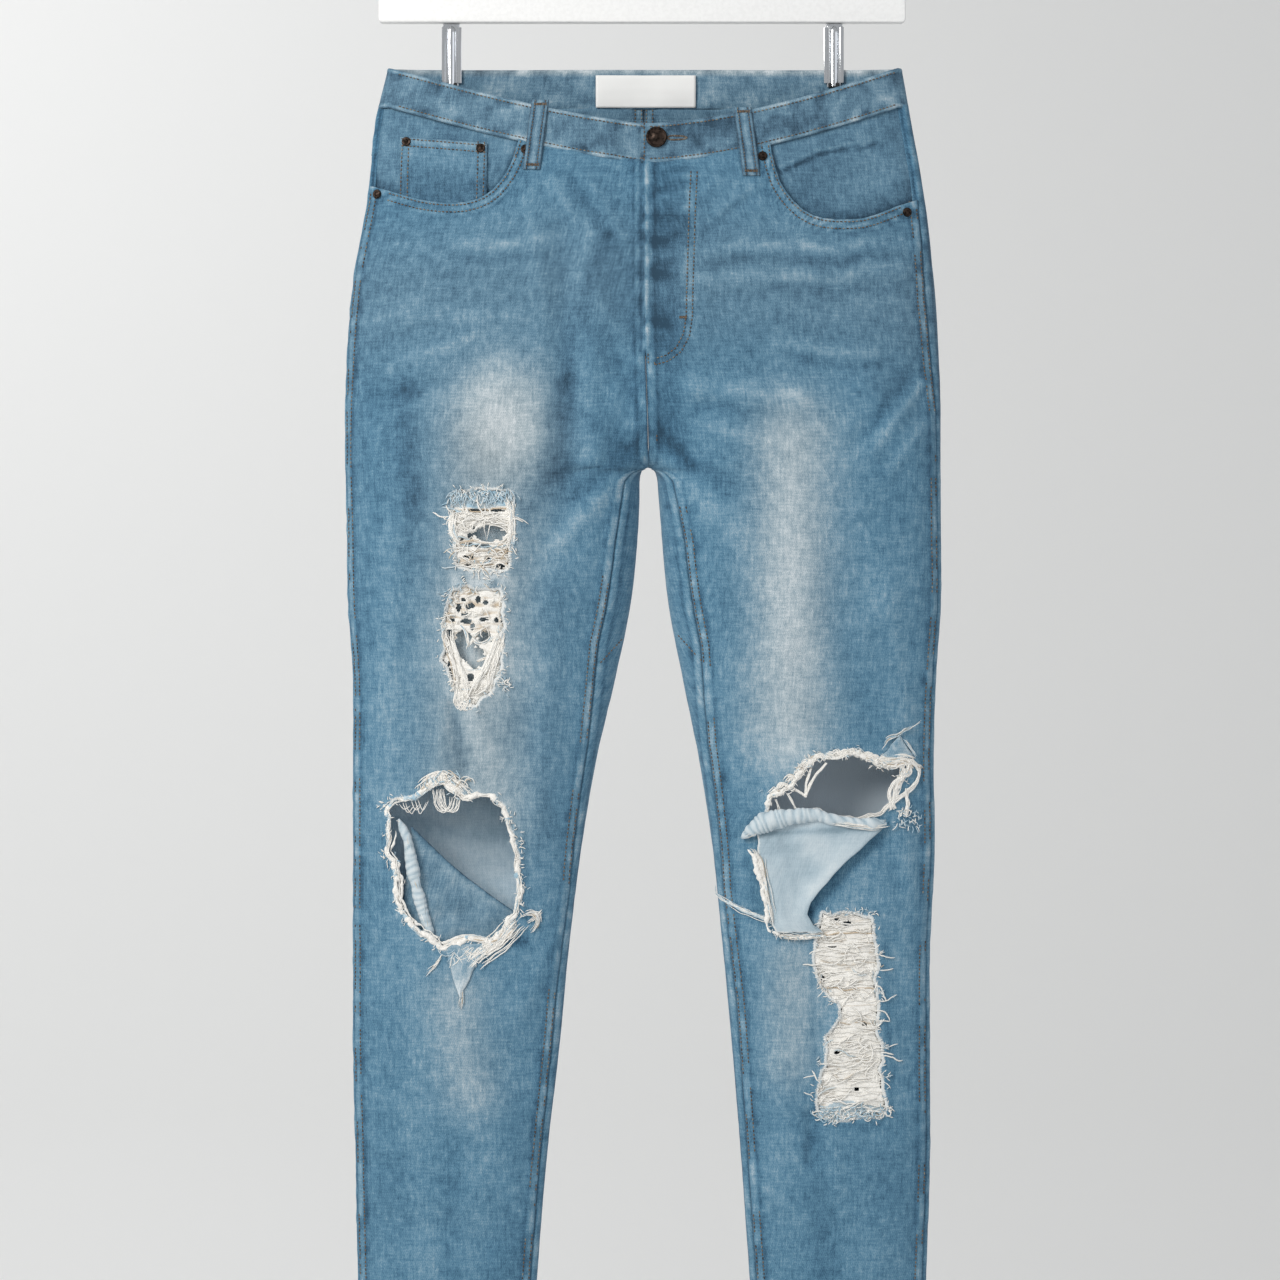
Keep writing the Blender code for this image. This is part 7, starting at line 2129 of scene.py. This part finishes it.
# Pale cloth doubled back: rows down from the roll to a narrow torn foot, the right side folded over aslant
flapRows = [(606, 96, 193), (614, 92, 190), (624, 91, 178), (636, 92.5, 165), (648, 95, 153), (660, 97.5, 142),
            (672, 100, 134), (682, 102, 131), (690, 103.5, 136), (697, 105, 144)]
flapRows = np.array(flapRows, float)
rows, columns = 60, 52
down, level = np.meshgrid(np.linspace(0, 1, rows + 1), np.linspace(0, 1, columns + 1), indexing="ij")
drop = np.interp(down, np.linspace(0, 1, len(flapRows)), flapRows[:, 0])
left = np.interp(drop, flapRows[:, 0], flapRows[:, 1]) + 1.2 * softNoise(drop, drop * 0, 6, 51)
right = np.interp(drop, flapRows[:, 0], flapRows[:, 2]) + 0.8 * softNoise(drop, drop * 0, 9, 52)
x = left + (right - left) * level
drop = drop + 1.6 * softNoise(x, x * 0, 5, 53) * down**6
free = smooth(level, 0.55, 1.0)
rise = 2.6 + 4.6 * free * np.sin(pi * np.clip(down * 1.05, 0, 1)) ** 0.8 + 1.4 * np.sin(level * pi) * (1 - down)
rise = rise + 1.1 * strokes([(100, 640, 112, 690, 5, 1), (112, 622, 128, 668, 5, -1), (124, 620, 150, 646, 6, 1),
                             (98, 616, 104, 640, 4, -0.8)], x, drop) + 0.5 * softNoise(x, drop, 10, 54)
rise = rise + 1.3 * (softNoise(x, drop * 0.3, 5.5, 55)) * np.exp(-((drop - 608) / 9) ** 2)
points, normals = onCloth(x, drop)
rim = np.minimum(x - left, (697 - drop) * 1.0)
# lighter where it stands higher and darker where it lies low, painted light and shade; painted shade along the folded
# right edge, a painted shadow under the roll, and darker towards the right
paint = {"fade": 0.42 + 0.16 * softNoise(x, drop, 17,
        56) + 0.12 * (rise - 4) / 3 - 0.16 * np.exp(-((right - x) / 3) ** 2)
         - 0.34 * np.exp(-((drop - 617 + 0.05 * (x - 100)) / 2.6) ** 2) - 0.1 * smooth(x, 130, 175),
         "grey": np.full(x.shape, 0.25), "tear": np.exp(-(rim / 2.2)), "place": placeOf(points, columns // 2)}
flap = clothMesh("kneeFlap", points + normals * rise[..., None], normals, paint,
                 materials=(denimPale, denimFace, denimPale), thick=1.3)
finish(flap, ["knee_flap"])
rolled = [(79, 621, 3.4), (86, 615, 4.4), (97, 608, 4.8), (112, 604.5, 4.8), (126, 602.5, 4.8), (138, 602, 4.6),
          (148, 605.5, 4.2), (162, 607, 4.0), (178, 609, 3.8), (194, 609.5, 3.2)]
ropePiece("kneeFlapRoll", rolled, [5.5, 7.0, 6.6, 6.0, 4.6, 4.0, 4.6, 4.4], 4.0, denimPale, [0.1, 0.1, 0.2, 0.8, 1.0,
        1.0], 0.12, (), 0.8, 61)

lip("kneeFlapLip", [(87, 628), (93, 638), (96, 652), (99, 668), (102, 684), (104, 697)], 2.0, 391, lift=4.6, out=-2.6,
        closed=False)
lip("kneeFlapFoot", [(103, 696), (116, 700), (130, 700), (146, 698)], 0.9, 396, lift=3.2, closed=False, blue=0.3)
fringe = Yarn(19)
flapEdge = np.array([(87, 628), (93, 636), (95, 648), (97, 660), (100, 672), (102, 684), (104, 696), (112, 700), (124,
        700),
                     (136, 699), (146, 698)], float)
for k in range(90):
    s = fringe.random.uniform(0, 10)
    stand = np.array([np.interp(s, np.arange(11), flapEdge[:, k2]) for k2 in range(2)])
    way = np.array([-1.0, 0.25]) if s < 6 else np.array([0.1, 1.0])
    reach = fringe.random.uniform(1.2, 3.6)
    fringe.path([(*stand, 4.6), (*(stand + way * reach * 0.5), 4.8), (*(stand + way * reach
                 + np.array([fringe.random.uniform(-2, 2), fringe.random.uniform(-2, 2)])), 3.4)],
                fringe.random.uniform(0.2, 0.36), fringe.tone(0.3, 0.02), wander=0.4, step=1.3)
fringe.bundle([(88, 630), (94, 640), (96, 654), (99, 670), (103, 690)], 34, 1.3, (0.25, 0.42), lift=4.4, beige=0.03)
fringe.bundle([(104, 697), (116, 700), (130, 700), (145, 698)], 16, 1.0, (0.2, 0.34), lift=3.2, blue=0.4)
fringe.bundle([(150, 609), (166, 611), (182, 613), (195, 612)], 14, 1.2, (0.25, 0.4), lift=6.4, beige=0.05)
fringe.bundle([(82, 620), (92, 612), (104, 606), (120, 603)], 12, 1.5, (0.22, 0.36), lift=7.0, blue=0.4)
# a loose bundle that has been pulled out to the side
loose = [(100, 686, 2.2), (92, 684, 1.8), (80, 679, 1.4), (68, 673, 1.2), (60, 668, 1.2), (53, 661, 1.2)]
for k in range(22):
    sway = np.array([0, fringe.random.gauss(0, 1.0), 0])
    stop = fringe.random.randint(4, 6)
    fringe.path([tuple(np.array(p) + sway) for p in loose[:stop]], fringe.random.uniform(0.22, 0.36),
                fringe.random.choice((0.6, 0.9, 0.86, 0.95)), wander=1.1)
fringe.make("flapYarn", [])
print("slash and flap made")

# Light, backdrop and camera

# the paper stands far enough back that the other views are taken in front of it
floor = {"z": -1.95, "back": 4.4, "wide": 8.0, "front": 5.0, "high": 4.5, "bend": 0.5}
mesh = bpy.data.meshes.new("studioSweep")
profile = [(-floor["front"], floor["z"])]
for k in range(17):
    a = pi / 2 * k / 16
    profile.append((floor["back"] - floor["bend"] + floor["bend"] * math.sin(a),
                    floor["z"] + floor["bend"] * (1 - math.cos(a))))
profile.append((floor["back"], floor["high"]))
points = [(s * floor["wide"], y, z) for y, z in profile for s in (-1, 1)]
faces = [(2 * k, 2 * k + 1, 2 * k + 3, 2 * k + 2) for k in range(len(profile) - 1)]
paper, tree, shader = newMaterial("seamlessPaper", "#f0f0ef", 0.95)
sweep = newMesh("studioSweep", points, faces, [paper], facing=(0, -1, 1))

room = bpy.data.worlds.new("softRoom")
bpy.context.scene.world = room
room.use_nodes = True
room.node_tree.nodes["Background"].inputs["Color"].default_value = linear("#f2f4f6")
room.node_tree.nodes["Background"].inputs["Strength"].default_value = 0.5


def areaLight(name, place, aim, size, power, tint="#ffffff"):
    data = bpy.data.lights.new(name, "AREA")
    data.shape = "RECTANGLE"
    data.size, data.size_y = size
    data.energy = power
    data.color = linear(tint)[:3]
    lamp = bpy.data.objects.new(name, data)
    lamp.location = place
    lamp.visible_camera = False
    lamp.rotation_euler = (Vector(aim) - Vector(place)).to_track_quat("-Z", "Y").to_euler()
    bpy.context.scene.collection.objects.link(lamp)
    return lamp


areaLight("keyWindow", (-1.7, -2.0, 0.75), (0.0, 0.0, -0.6), (1.1, 1.4), 58, "#fffdfa")
areaLight("fillWall", (2.4, -2.6, -0.3), (0.0, 0.0, -0.6), (2.4, 2.4), 13, "#f4f8ff")
areaLight("paperWash", (-2.2, 2.0, 1.5), (-1.1, 4.4, -0.6), (1.6, 1.6), 42)

lens = bpy.data.cameras.new("photoCamera")
lens.lens = 120.0
lens.sensor_width = 36.0
lens.dof.use_dof = False
view = bpy.data.objects.new("photoCamera", lens)
middle = Vector((-0.0032, -0.04, -0.5974))
view.location = middle + Vector((0, -1.024 * 120 / 36, 0))
view.rotation_euler = (pi / 2, 0, 0)
bpy.context.scene.collection.objects.link(view)
bpy.context.scene.camera = view

bpy.context.scene.view_settings.view_transform = "Standard"
